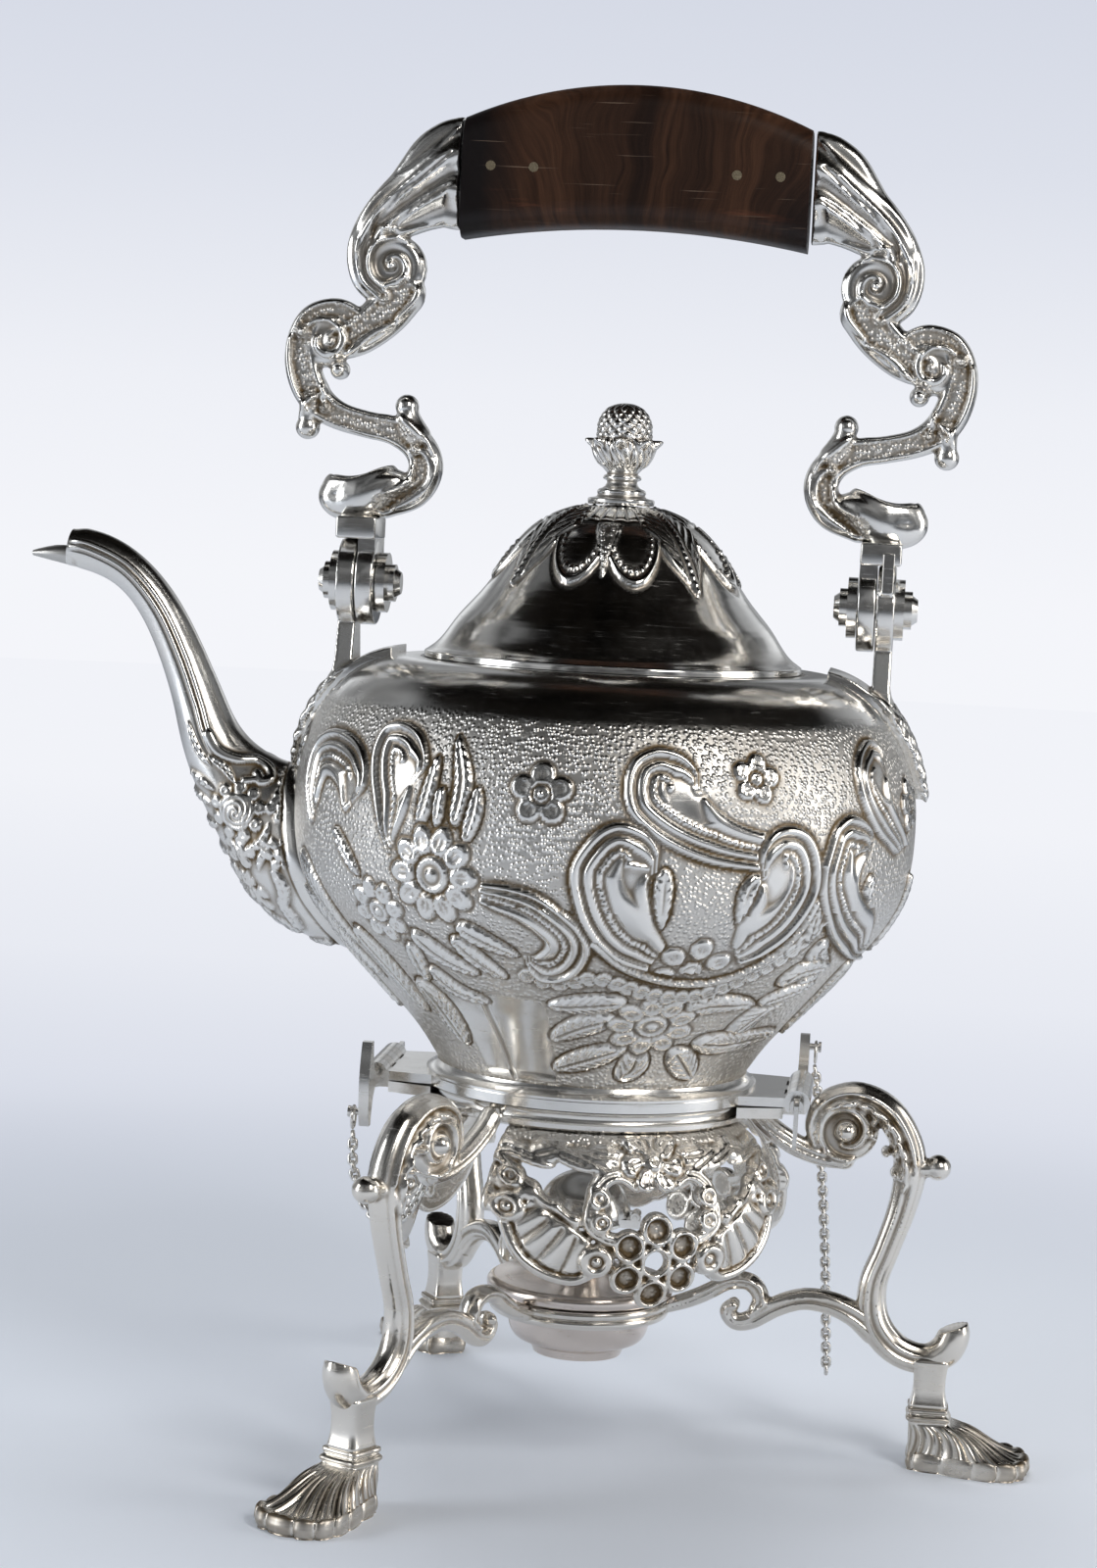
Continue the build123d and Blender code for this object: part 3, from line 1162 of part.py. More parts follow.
for name, side, height in (
    ("front", -1, HINGE_LEVEL - STUD_RISE), ("rear", 1, HINGE_LEVEL + STUD_RISE)
):
    face = side * (HINGE_OUT + HANDLE_THICK / 2)
    with BuildPart() as pin_stud:
        place = Plane(
            origin=(AXIS_X + face, side * STUD_Y, height), x_dir=(0, 1, 0), z_dir=(side, 0, 0)
        )
        with BuildSketch(place):
            Circle(STUD_THICK)
        extrude(amount=STUD_REACH - 0.8)
        with BuildSketch(place.offset(STUD_REACH - 0.8)):
            Circle(STUD_THICK * 1.6)
        extrude(amount=0.8)
    pin_stud.part.label = f"{name}_pin_stud"
    export_step(pin_stud.part, f"parts/{name}_pin_stud.step")

    with BuildPart() as pin_ring:
        link_ring(side * RING_OUT, side * STUD_Y, height - RING_HANG, (1, 0, 0))
    pin_ring.part.label = f"{name}_pin_ring"
    export_step(pin_ring.part, f"parts/{name}_pin_ring.step")

RING_REACH = LINK_RING_RADIUS + LINK_WIRE + FACE_GAP + CHAIN_RADIUS
ANCHOR_ANGLE = 229.0
ANCHOR_OUT = 52.6
ANCHOR_LEVEL = STAND_HEIGHT - 3.6
ANCHOR_X = ANCHOR_OUT * cos(radians(ANCHOR_ANGLE))
ANCHOR_Y = ANCHOR_OUT * sin(radians(ANCHOR_ANGLE))
with BuildPart() as chain_anchor:
    with BuildSketch(outlook(ANCHOR_ANGLE, out=RING_RADIUS - 3, height=ANCHOR_LEVEL)):
        Circle(STUD_THICK)
    extrude(amount=ANCHOR_OUT + 1 - RING_RADIUS + 3)
    with BuildSketch(outlook(ANCHOR_ANGLE, out=ANCHOR_OUT + 1, height=ANCHOR_LEVEL)):
        Circle(STUD_THICK * 1.6)
    extrude(amount=0.8)
    add(stand_ring.part, mode=Mode.SUBTRACT)
chain_anchor.part.label = "chain_anchor"
export_step(chain_anchor.part, "parts/chain_anchor.step")

with BuildPart() as chain_anchor_ring:
    facing = (cos(radians(ANCHOR_ANGLE)), sin(radians(ANCHOR_ANGLE)), 0)
    link_ring(ANCHOR_X, ANCHOR_Y, ANCHOR_LEVEL - RING_HANG, facing)
chain_anchor_ring.part.label = "chain_anchor_ring"
export_step(chain_anchor_ring.part, "parts/chain_anchor_ring.step")

REAR_CHAIN = (
    (RING_OUT, STUD_Y, HINGE_LEVEL + STUD_RISE - RING_HANG - RING_REACH),
    (71.5, 28.0, 15.6),
)
FRONT_CHAIN = (
    (-RING_OUT, -STUD_Y, HINGE_LEVEL - STUD_RISE - RING_HANG - RING_REACH),
    (-61.5, -35.0, 80.0),
    (-56.0, -38.0, 69.5),
    (-47.0, -43.0, 69.0),
    (-40.0, -46.0, 80.0),
    (ANCHOR_X, ANCHOR_Y, ANCHOR_LEVEL - RING_HANG - RING_REACH),
)


def chain_tube(name, points):
    """Chain as a plain tube of straight runs joined by tangent arcs."""
    corners = [Vector(AXIS_X + x, y, height) for x, y, height in points]
    with BuildLine(mode=Mode.PRIVATE) as route:
        start = corners[0]
        for index in range(1, len(corners) - 1):
            before = (corners[index - 1] - corners[index]).normalized()
            after = (corners[index + 1] - corners[index]).normalized()
            shorter = min(
                (corners[index] - corners[index - 1]).length,
                (corners[index + 1] - corners[index]).length,
            )
            half_turn = (180 - before.get_angle(after)) / 2
            setback = 0.45 * shorter
            first = corners[index] + before * setback
            last = corners[index] + after * setback
            Line(start, first)
            TangentArc(first, last, tangent=before * -1)
            radius = setback / (sin(radians(half_turn)) / cos(radians(half_turn)))
            print(name, "bend", index, "radius", round(radius, 2))
            start = last
        Line(start, corners[-1])
    mouth = Plane(origin=corners[0], z_dir=corners[1] - corners[0])
    with BuildSketch(mouth) as section:
        Circle(CHAIN_RADIUS)
    sweep(section.sketch, path=route.line)


for name, points in (("rear", REAR_CHAIN), ("front", FRONT_CHAIN)):
    with BuildPart() as chain:
        chain_tube(name, points)
    chain.part.label = f"{name}_chain"
    export_step(chain.part, f"parts/{name}_chain.step")

print("kettle axis x", AXIS_X, "pivot", PIVOT_OUT, PIVOT_LEVEL, "hinge level", HINGE_LEVEL)
print("lid hinge", LID_HINGE_Y, LID_HINGE_LEVEL, "burner top", BURNER_TOP, "lid top", LID_TOP)
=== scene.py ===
"""Spirit kettle on its stand: chased silver skins, cast scrolls, chains and finishes."""
from math import cos, pi, radians, sin, sqrt

import bpy
import numpy as np
from mathutils import Matrix, Vector
from mathutils.bvhtree import BVHTree

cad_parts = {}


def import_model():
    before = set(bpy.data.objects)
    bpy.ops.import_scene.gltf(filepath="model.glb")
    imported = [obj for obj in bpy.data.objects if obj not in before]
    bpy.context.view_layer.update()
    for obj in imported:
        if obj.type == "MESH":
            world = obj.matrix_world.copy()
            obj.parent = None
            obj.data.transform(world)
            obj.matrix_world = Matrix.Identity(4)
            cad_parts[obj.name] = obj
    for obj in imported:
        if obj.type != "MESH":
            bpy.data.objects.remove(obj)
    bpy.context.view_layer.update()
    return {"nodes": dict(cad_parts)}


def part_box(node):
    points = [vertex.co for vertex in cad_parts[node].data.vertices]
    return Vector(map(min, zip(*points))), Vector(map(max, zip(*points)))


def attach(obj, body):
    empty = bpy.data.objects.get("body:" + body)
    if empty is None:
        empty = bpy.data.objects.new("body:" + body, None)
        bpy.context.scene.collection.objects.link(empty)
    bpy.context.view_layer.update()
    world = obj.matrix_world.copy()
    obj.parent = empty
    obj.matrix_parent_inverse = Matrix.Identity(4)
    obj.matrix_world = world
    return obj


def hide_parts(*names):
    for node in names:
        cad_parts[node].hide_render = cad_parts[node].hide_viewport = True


bl_info = {
    "name": "Spirit Kettle Silverwork",
    "version": (1, 0, 0),
    "blender": (4, 5, 0),
    "location": "View3D > Sidebar > Kettle",
    "description": "Chased and cast silverwork, wood and chains for a kettle on its lamp stand",
    "category": "Object",
}

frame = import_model()
AXIS_X = sum(corner.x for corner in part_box("foot_moulding")) / 2 * 1000  # kettle's axis, mm
BODY_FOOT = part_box("kettle_body")[0].z * 1000
LID_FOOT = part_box("lid")[0].z * 1000
FINIAL_HEIGHT = 28.6
FINIAL_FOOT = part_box("lid_finial")[1].z * 1000 - FINIAL_HEIGHT
RING_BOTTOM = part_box("near_apron")[1].z * 1000
CAST_CELL = 0.42  # squares of a casting's drawing board and cells of its skin, mm


# ------------------------------------------------------------------ shared shop tools
def world(points):
    """Millimetres from the kettle's axis to the frame's metres."""
    out = np.asarray(points, float).copy()
    out[:, 0] += AXIS_X
    return out * 0.001


def clear_selection():
    for thing in list(bpy.context.selected_objects):
        thing.select_set(False)


def activate(thing):
    clear_selection()
    thing.select_set(True)
    bpy.context.view_layer.objects.active = thing


def new_object(name, data):
    thing = bpy.data.objects.new(name, data)
    bpy.context.scene.collection.objects.link(thing)
    return thing


def new_mesh(name, points, faces):
    """Object from points in mm and quads or triangles."""
    data = bpy.data.meshes.new(name)
    faces = np.asarray(faces, np.int32)
    data.vertices.add(len(points))
    data.vertices.foreach_set("co", world(points).astype(np.float32).ravel())
    data.loops.add(faces.size)
    data.loops.foreach_set("vertex_index", faces.ravel())
    data.polygons.add(len(faces))
    data.polygons.foreach_set("loop_start", np.arange(len(faces), dtype=np.int32) * faces.shape[1])
    data.polygons.foreach_set("loop_total", np.full(len(faces), faces.shape[1], np.int32))
    data.update(calc_edges=True)
    data.validate()
    return new_object(name, data)


def grid_piece(name, columns, rows, shape, closed=False):
    """Sheet of columns by rows points laid by shape(u, v), u and v running 0 to 1."""
    clear_selection()
    u, v = np.meshgrid(np.linspace(0, 1, columns), np.linspace(0, 1, rows))
    points = shape(u.ravel(), v.ravel())
    index = np.arange(columns * rows).reshape(rows, columns)
    if closed:
        index[:, -1] = index[:, 0]
    quads = np.stack([index[:-1, :-1], index[:-1, 1:], index[1:, 1:], index[1:, :-1]], -1).reshape(-1, 4)
    if closed:
        keep = np.unique(quads)
        renumber = np.zeros(columns * rows, np.int32)
        renumber[keep] = np.arange(len(keep))
        points, quads = points[keep], renumber[quads]
        return new_mesh(name, points, quads), keep
    return new_mesh(name, points, quads), np.arange(columns * rows)


def shade(thing, angle=None):
    """Smooth shading, or smooth only where faces meet flatter than an angle in degrees."""
    if angle is None:
        thing.data.polygons.foreach_set("use_smooth", np.ones(len(thing.data.polygons), bool))
    else:
        activate(thing)
        bpy.ops.object.shade_smooth_by_angle(angle=radians(angle))
    thing.data.update()


def apply_modifier(thing, kind, **values):
    activate(thing)
    modifier = thing.modifiers.new(kind.title(), kind)
    for key, value in values.items():
        setattr(modifier, key, value)
    bpy.ops.object.modifier_apply(modifier=modifier.name)


def merge_points(thing, distance, outwards=False):
    """Merge points closer than a distance in mm and, if asked, turn all faces outwards."""
    activate(thing)
    bpy.ops.object.mode_set(mode="EDIT")
    bpy.ops.mesh.select_all(action="SELECT")
    bpy.ops.mesh.remove_doubles(threshold=distance * 0.001)
    if outwards:
        bpy.ops.mesh.normals_make_consistent(inside=False)
    bpy.ops.object.mode_set(mode="OBJECT")


def recast(thing, smoothing):
    """Fuse a casting's overlapping lumps into one skin."""
    apply_modifier(thing, "REMESH", mode="VOXEL", voxel_size=CAST_CELL * 0.001, adaptivity=0)
    apply_modifier(thing, "SMOOTH", factor=0.5, iterations=smoothing)
    shade(thing)


def join(pieces, name):
    activate(pieces[0])
    for piece in pieces:
        piece.select_set(True)
    bpy.ops.object.join()
    pieces[0].name = name
    pieces[0].data.name = name
    return pieces[0]


def points_of(thing):
    data = np.empty(len(thing.data.vertices) * 3, np.float32)
    thing.data.vertices.foreach_get("co", data)
    points = data.reshape(-1, 3).astype(float) * 1000
    points[:, 0] -= AXIS_X
    return points


def normals_of(thing):
    data = np.empty(len(thing.data.vertices) * 3, np.float32)
    thing.data.vertex_normals.foreach_get("vector", data)
    return data.reshape(-1, 3).astype(float)


def set_points(thing, points):
    thing.data.vertices.foreach_set("co", world(points).astype(np.float32).ravel())
    thing.data.update()


def paint(thing, name, values):
    """Store a value between 0 and 1 on every point."""
    data = thing.data
    layer = data.attributes.get(name) or data.attributes.new(name, "FLOAT", "POINT")
    layer.data.foreach_set("value", np.clip(values, 0, 1).astype(np.float32))


def mark_hollows(thing, rounds=14, reach=0.35):
    """Mark how deep each point sits under its surroundings, or stands over them, for tarnish."""
    points = points_of(thing)
    edges = np.empty(len(thing.data.edges) * 2, np.int32)
    thing.data.edges.foreach_get("vertices", edges)
    a, b = edges.reshape(-1, 2).T
    count = np.bincount(np.concatenate([a, b]), minlength=len(points)).clip(1)
    calm = points.copy()
    for _ in range(rounds):
        calm = np.stack([
            np.bincount(a, calm[b, k], len(points)) + np.bincount(b, calm[a, k], len(points))
            for k in range(3)
        ], 1) / count[:, None]
    depth = ((calm - points) * normals_of(thing)).sum(1)
    paint(thing, "hollow", depth / reach)
    paint(thing, "crest", -depth / reach)


def soft_line(points, count=10):
    """Smooth curve through points; any further columns ride along."""
    p = np.asarray(points, float)
    if len(p) < 3:
        t = np.linspace(0, 1, count + 1)[:, None]
        return p[0] * (1 - t) + p[-1] * t
    q = np.vstack([2 * p[0] - p[1], p, 2 * p[-1] - p[-2]])
    out = []
    t = np.linspace(0, 1, count, endpoint=False)[:, None]
    for i in range(len(p) - 1):
        a, b, c, d = q[i:i + 4]
        out.append(0.5 * (2 * b + (c - a) * t + (2 * a - 5 * b + 4 * c - d) * t ** 2
                          + (3 * b - a - 3 * c + d) * t ** 3))
    return np.vstack([*out, p[-1:]])


def run_along(line):
    """Length along a flat line up to each of its points."""
    return np.concatenate([[0], np.cumsum(np.hypot(*np.diff(line, axis=0).T))])


def to_line(points, line, radius=None):
    """For every point: distance to the line, run and share along it, radius there, side of it."""
    best = np.full(len(points), 1e9)
    dist = np.full(len(points), 1e9)
    run = np.zeros(len(points))
    rad = np.ones(len(points))
    side = np.zeros(len(points))
    radius = np.ones(len(line)) if radius is None else radius
    start = 0.0
    for i in range(len(line) - 1):
        a, b = line[i], line[i + 1]
        ab = b - a
        length = sqrt(float(ab @ ab)) + 1e-9
        away = points - a
        t = np.clip(away @ ab / length ** 2, 0, 1)
        r = radius[i] + (radius[i + 1] - radius[i]) * t
        gap = away - t[:, None] * ab
        d = np.sqrt((gap ** 2).sum(1))
        score = d - r
        better = score < best
        best[better] = score[better]
        dist[better] = d[better]
        run[better] = (start + t * length)[better]
        rad[better] = r[better]
        if points.shape[1] == 2:
            side[better] = np.sign(ab[0] * away[:, 1] - ab[1] * away[:, 0])[better]
        start += length
    return dist, run, run / start, rad, side


def within(polygon, x, y):
    """True for points inside a closed outline."""
    hit = np.zeros(len(x), bool)
    px, py = polygon[:, 0], polygon[:, 1]
    j = len(px) - 1
    for i in range(len(px)):
        if py[i] != py[j]:
            cross = (py[i] > y) != (py[j] > y)
            hit ^= cross & (x < (px[j] - px[i]) * (y - py[i]) / (py[j] - py[i]) + px[i])
        j = i
    return hit


def bump(x, middle, half):
    return np.clip(1 - ((x - middle) / half) ** 2, 0, 1)


def bead(x, middle, half):
    return np.sqrt(bump(x, middle, half))


def dome(q, power=2):
    """Rounded rise of 1 over the middle that falls to 0 where q reaches 1."""
    return np.sqrt(np.clip(1 - q ** power, 0, 1))


def ease(x, a, b):
    """Smooth step from 0 at a to 1 at b."""
    t = np.clip((x - a) / (b - a), 0, 1)
    return t * t * (3 - 2 * t)


def spiral(x, y, start_radius, end_radius, start_angle, turns):
    t = np.linspace(0, 1, 60)
    r = start_radius + (end_radius - start_radius) * t
    a = radians(start_angle) + 2 * pi * turns * t
    return np.stack([x + r * np.cos(a), y + r * np.sin(a)], 1)


# ------------------------------------------------------------------ flat castings
class Casting:
    """Field of lumps on a drawing board; out comes a skin with a front and a back."""

    def __init__(self, box, cell=CAST_CELL):
        self.x0, x1, self.y0, y1 = box
        self.cell = cell
        self.nx = int((x1 - self.x0) / cell) + 1
        self.ny = int((y1 - self.y0) / cell) + 1
        x, y = np.meshgrid(self.x0 + cell * np.arange(self.nx), self.y0 + cell * np.arange(self.ny))
        self.p = np.stack([x.ravel(), y.ravel()], 1)
        self.inside = np.full(len(self.p), -50.0)
        self.high = np.zeros(len(self.p))
        self.web = np.zeros(len(self.p))

    def near(self, line, reach):
        lo, hi = line.min(0) - reach, line.max(0) + reach
        return np.where(((self.p >= lo) & (self.p <= hi)).all(1))[0]

    def stroke(self, stations, style="round", cut=0.34):
        """Scroll along stations (x, y, width, depth)."""
        line = soft_line(stations)
        radius = line[:, 2] / 2
        near = self.near(line[:, :2], radius.max() + 6 * self.cell)
        d, _, share, r, side = to_line(self.p[near], line[:, :2], radius)
        depth = np.interp(share, np.linspace(0, 1, len(line)), line[:, 3]) / 2
        q = np.clip(d / r, 0, 1)
        h = depth * np.sqrt(1 - q ** 2)
        if style == "rimmed":
            dip = cut * (1 - ease(q, 0.42, 0.74))
            h = depth * (1 - q ** 2.6) ** 0.5 * (1 - dip)
            self.web[near] = np.where(d < r, np.maximum(self.web[near], (dip > cut * 0.5) * 1.0),
                                      self.web[near])
        elif style == "fluted":
            h = (depth * (1 - q ** 2.4) ** 0.5
                 * (1 - cut * (0.5 - 0.5 * np.cos(2 * pi * (q * side * 1.5 + 0.5))) * (q < 0.9)))
        elif style == "ridged":
            h = (depth * (1 - q ** 2.2) ** 0.5 * (1 - cut * bump(q * side, 0.0, 0.22)
                                                  - cut * 0.8 * bump(np.abs(q * side), 0.62, 0.2)))
        gap = r - d
        self.inside[near] = np.maximum(self.inside[near], gap)
        self.high[near] = np.where(gap > 0, np.maximum(self.high[near], h), self.high[near])

    def disc(self, x, y, radius, depth, dish=0.0):
        d = np.sqrt(((self.p - (x, y)) ** 2).sum(1))
        gap = radius - d
        h = (depth / 2 * dome(d / radius, 3)
             - dish * (1 - ease(d / radius, 0.45, 0.8)))
        self.inside = np.maximum(self.inside, gap)
        self.high = np.where(gap > 0, np.maximum(self.high, h), self.high)

    def ball(self, x, y, radius, depth=None):
        d = np.sqrt(((self.p - (x, y)) ** 2).sum(1))
        h = (depth or radius) * dome(d / radius)
        self.inside = np.maximum(self.inside, radius - d)
        self.high = np.maximum(self.high, h)

    def ridge(self, points, radius, rise):
        """Raised or, with a negative rise, sunk line drawn on the front and back."""
        line = soft_line(points, 8)
        t = np.linspace(0, 1, len(line))
        wide = radius * np.sqrt(np.clip(np.sin(pi * (0.06 + 0.9 * t)), 0.05, 1))
        near = self.near(line, radius + self.cell)
        d, _, _, r, _ = to_line(self.p[near], line, wide)
        q = np.clip(1 - (d / r) ** 2, 0, 1)
        self.high[near] += rise * np.sqrt(q) * (self.inside[near] > -0.2)
        self.web[near] *= 1 - 0.9 * (q > 0.05)

    def skin(self, name, place, smoothing=2, back=None, front=None):
        """Sheet with front and back faces, snapped to its outline, recast to one skin."""
        nx, ny, cell = self.nx, self.ny, self.cell
        s = self.inside.reshape(ny, nx)
        gy, gx = np.gradient(s, cell)
        keep = np.zeros((ny - 1, nx - 1), bool)
        for dy in (0, 1):
            for dx in (0, 1):
                keep |= s[dy:ny - 1 + dy, dx:nx - 1 + dx] > 0
        index = np.arange(nx * ny).reshape(ny, nx)
        quads = np.stack([index[:-1, :-1], index[:-1, 1:], index[1:, 1:], index[1:, :-1]], -1)[keep]
        flat = self.p.copy()
        out = self.inside <= 0
        g = np.stack([gx.ravel(), gy.ravel()], 1)
        size = (g ** 2).sum(1).clip(0.25)
        flat[out] -= (self.inside / size)[out, None] * g[out]
        top = self.high if front is None else front
        low = -self.high if back is None else back
        rim = np.zeros(len(flat)) if back is None else (top + low) / 2
        top = np.where(out, rim, top)
        low = np.where(out, rim, low)
        upper = place(flat[:, 0], flat[:, 1], top)
        under = place(flat[:, 0], flat[:, 1], low)
        used = np.unique(quads)
        number = np.full(nx * ny, -1)
        number[used] = np.arange(len(used))
        inner = used[~out[used]]
        number_low = number.copy()
        number_low[inner] = len(used) + np.arange(len(inner))
        points = np.vstack([upper[used], under[inner]])
        faces = np.vstack([number[quads], number_low[quads][:, ::-1]])
        thing = new_mesh(name, points, faces)
        merge_points(thing, 0.02, outwards=True)
        recast(thing, smoothing)
        return thing

    def sample(self, field, x, y):
        """A field's value on the drawing board under each point."""
        i = np.clip(((y - self.y0) / self.cell).round().astype(int), 0, self.ny - 1)
        j = np.clip(((x - self.x0) / self.cell).round().astype(int), 0, self.nx - 1)
        return field.reshape(self.ny, self.nx)[i, j]


# ------------------------------------------------------------------ kettle's chased skin
BODY_OUTLINE = np.array((
    (43.6, 109.5), (45.8, 113.3), (48.3, 117), (51, 120.5), (53.9, 123.8), (56.9, 127.1), (59.9, 130.3),
    (62.9, 133.5), (66, 136.7), (69, 139.9), (72, 143.2), (74.9, 146.5), (77.7, 150), (80.3, 153.5),
    (82.6, 157.3), (84.5, 161.2), (85.9, 165.4), (86.7, 169.8), (87.2, 174.2), (87.4, 178.6), (87.4, 183),
    *((58 + 29.4 * cos(radians(a)), 183 + 40 * sin(radians(a))) for a in range(6, 91, 6)), (54.3, 223.0),
))
# Chased scrolls: outer edge and inner edge as (turn from the front in degrees, level).
COMMAS = (
    (((-44.7, 186.3), (-42.2, 189.7), (-42.5, 195.8), (-46.8, 201.4), (-55.3, 203.8), (-62.1, 201.4),
      (-64.6, 195.1), (-63.5, 186.5), (-60.1, 177.5)),
     ((-44.7, 186.3), (-47.6, 182.7), (-50.2, 188.5), (-55.2, 190.9), (-57.7, 184.3))),
    (((-30, 193.7), (-28.3, 198.5), (-30.9, 204.9), (-35.9, 207.7), (-40.8, 206.4), (-42, 200.5),
      (-40.8, 193), (-38.6, 184.9), (-36.9, 178.3), (-35.1, 173.2)),
     ((-30, 193.7), (-30.7, 191.4), (-31.4, 185.2), (-33.7, 178))),
    (((-16.2, 168.4), (-10.9, 168.4), (-5.7, 166.7), (-1.2, 162.5), (2.5, 157.3), (3.6, 151.7),
      (1.4, 145.5), (-2.9, 142.5), (-7.2, 142.9), (-9.1, 146.9), (-9.4, 149.4)),
     ((-16.4, 163), (-13.7, 161.4), (-9.6, 159.2), (-5.5, 154.9), (-4.9, 152.5), (-7, 149.7),
      (-9.4, 149.4))),
    (((21.2, 196), (20.7, 200.7), (18.1, 204.5), (13.9, 205.8), (9.7, 203), (8.1, 196.7), (9, 189.8),
      (12.1, 184.8), (17.2, 180.2), (24, 176.7), (33.6, 174.9)),
     ((21.2, 196), (24.6, 190.6), (28.9, 187), (34.3, 184.6))),
    (((67.9, 200.8), (67.1, 206.1), (63.5, 208.2), (58.4, 205), (56, 199.2), (57, 191.6),
      (61.7, 183.6), (69.7, 177.3)),
     ((67.9, 200.8), (67.3, 195.5), (70.2, 188.3), (77.2, 179.6))),
    (((60.5, 179.8), (59.1, 185.3), (54.2, 189.1), (49.5, 186.6), (47.5, 180.6), (46.4, 173),
      (48.3, 164.2), (54.5, 155.5), (66, 149), (79.2, 146.1)),
     ((60.5, 179.8), (57.6, 175.3), (57.6, 169.8), (61.1, 164.7), (66.6, 160.8), (71.9, 153.3))),
    (((33.7, 174.1), (33.1, 180.2), (35.2, 185.1), (38.7, 186.7), (42.9, 184.6), (45.6, 178.4),
      (46.3, 170.6), (44.8, 163.6), (42.1, 156.9), (38, 152), (33.6, 149.6)),
     ((33.7, 174.1), (33.3, 168.8), (31.7, 163.3), (30.6, 160.1), (30.6, 155.2))),
    (((14.4, 174.5), (14.4, 179.7), (12.3, 184.5), (8.6, 186.7), (5.7, 186), (2.9, 182.7), (0.2, 176.4),
      (-0.3, 171.1), (0.5, 165.1), (2.1, 158.9), (4.8, 153.4), (8.8, 149.5), (14.8, 147.3)),
     ((14.4, 174.5), (13, 172.1), (13.4, 166.8), (15.1, 159.8), (17.5, 154.6))),
)
BASE_STROKE = ((4.2, 154.2), (10.1, 147.9), (18.3, 144.3), (26.2, 143.4), (33.5, 145.2), (39.7, 149.8),
               (44.1, 157.2), (46.4, 165.9))
# Chased leaves: three points along each and its half width.
LEAVES = (
    ((15.7, 174.5), (15.8, 168.5), (16, 159.1), 2.5), ((32.9, 173.4), (31, 168.8), (30.6, 160.1), 2.5),
    ((-28.4, 181.9), (-27.1, 190.4), (-26.1, 200.2), 2.3),
    ((-24.8, 182.4), (-24.6, 189.2), (-24.3, 192.3), 1.7),
    ((-21.3, 182.9), (-20.4, 194.3), (-23.1, 205.8), 2.7),
    ((-19, 179.4), (-17.7, 187.1), (-17.3, 193.1), 2.3),
    ((-21.3, 155.9), (-17.6, 153.3), (-10.6, 149.3), 3.1),
    ((-23.4, 152.4), (-19.7, 147.1), (-14.4, 142.4), 3.1),
    ((-32.9, 152.4), (-28, 146.6), (-21, 142.7), 3.6),
    ((-33.2, 142.4), (-29.7, 137.1), (-21.4, 134.1), 3.1),
    ((-50.3, 177.6), (-46.6, 171.2), (-43.5, 166.3), 2.1),
    ((-35.4, 148.7), (-35.9, 143.6), (-36.7, 138.5), 2.8),
    ((-39.7, 137.1), (-38.5, 128.9), (-37.8, 119.6), 5),
    ((11.1, 137.4), (2.6, 135.9), (-5.6, 135.1), 4.2),
    ((9.1, 131.8), (1.9, 129.1), (-6.4, 124.7), 4.2), ((13.5, 122.8), (2.7, 118.7), (-6.9, 115.3), 4.1),
    ((26.7, 134.5), (33.1, 136.9), (45, 136.5), 4.2), ((45.4, 125.9), (50.4, 133.8), (59.1, 144.6), 4.6),
    ((36.2, 124.6), (47.2, 123.9), (68.3, 125.4), 4.6), ((30.1, 122), (35.9, 117.2), (40.7, 113.4), 4.2),
    ((18.5, 121.1), (18, 116.5), (14.7, 113.8), 4.2), ((46.4, 165.9), (47.3, 159.4), (48, 155.2), 2.5),
    ((52.8, 154), (53.6, 150.5), (59.6, 147.2), 3.6), ((48.7, 143), (52.4, 146.2), (60.9, 147), 3.8),
    ((47.5, 136.8), (53.4, 139), (61.6, 141.6), 3.1), ((61.1, 171.9), (60.5, 166.4), (60.9, 160.7), 2.3),
    ((-67, 168), (-62, 158), (-56, 146), 4.6),
    ((-74, 158), (-66, 148), (-58, 136), 4.6),
    ((-52, 150), (-49, 140), (-47, 128), 4.9),
    ((72, 146), (77, 136), (80, 124), 4.9),
    ((84, 170), (86, 160), (84, 148), 2.9),
    ((-84, 150), (-78, 140), (-70, 126), 4.9),
)
# Chased flowers: turn, level, disc, ring, petals, petal half length, half width, first petal, spread.
FLOWERS = (
    (-25.7, 169.2, 5, 9.3, 10, 4.2, 3.1, 0, 360), (-40.3, 157.1, 3.4, 6.6, 8, 3.2, 2.6, 10, 360),
    (-6, 192.8, 2.1, 5, 5, 3.5, 3.2, 90, 360), (32.2, 198.8, 1.7, 4.2, 5, 2.7, 2.6, 80, 360),
    (20, 129.9, 4.4, 8.3, 9, 4, 3, 22, 360), (24, 147.5, 3, 7.6, 4, 3.4, 3, 22, 180),
    (78, 190, 1.9, 4.6, 5, 3, 2.9, 30, 360), (-80, 196, 1.9, 4.6, 5, 3, 2.9, 30, 360),
)
HUSK_ROW = (
    (-9.5, 143.5), (-4.5, 141.8), (0.5, 142.6), (5, 144), (9.5, 142.6), (13.5, 141), (18, 139.6),
    (22.9, 139), (27.6, 139.4), (32, 141.2), (36, 143.6), (40, 146.6), (43.5, 150), (46.2, 153.8),
    (48.4, 158.2), (49.6, 163),
)
BODY_LINE = soft_line(BODY_OUTLINE, 6)
BODY_RISING = np.maximum.accumulate(BODY_LINE[:, 1])
BODY_RUN = run_along(BODY_LINE)
GROUND_RISE = 0.32  # pebbled ground over the plain form, mm
MAP_RADIUS = 80  # a flat map of the body is drawn at this radius
PANEL_JOIN, NECK_JOIN, BODY_TOP = 163, 212, 223  # levels where the body's panels meet and end


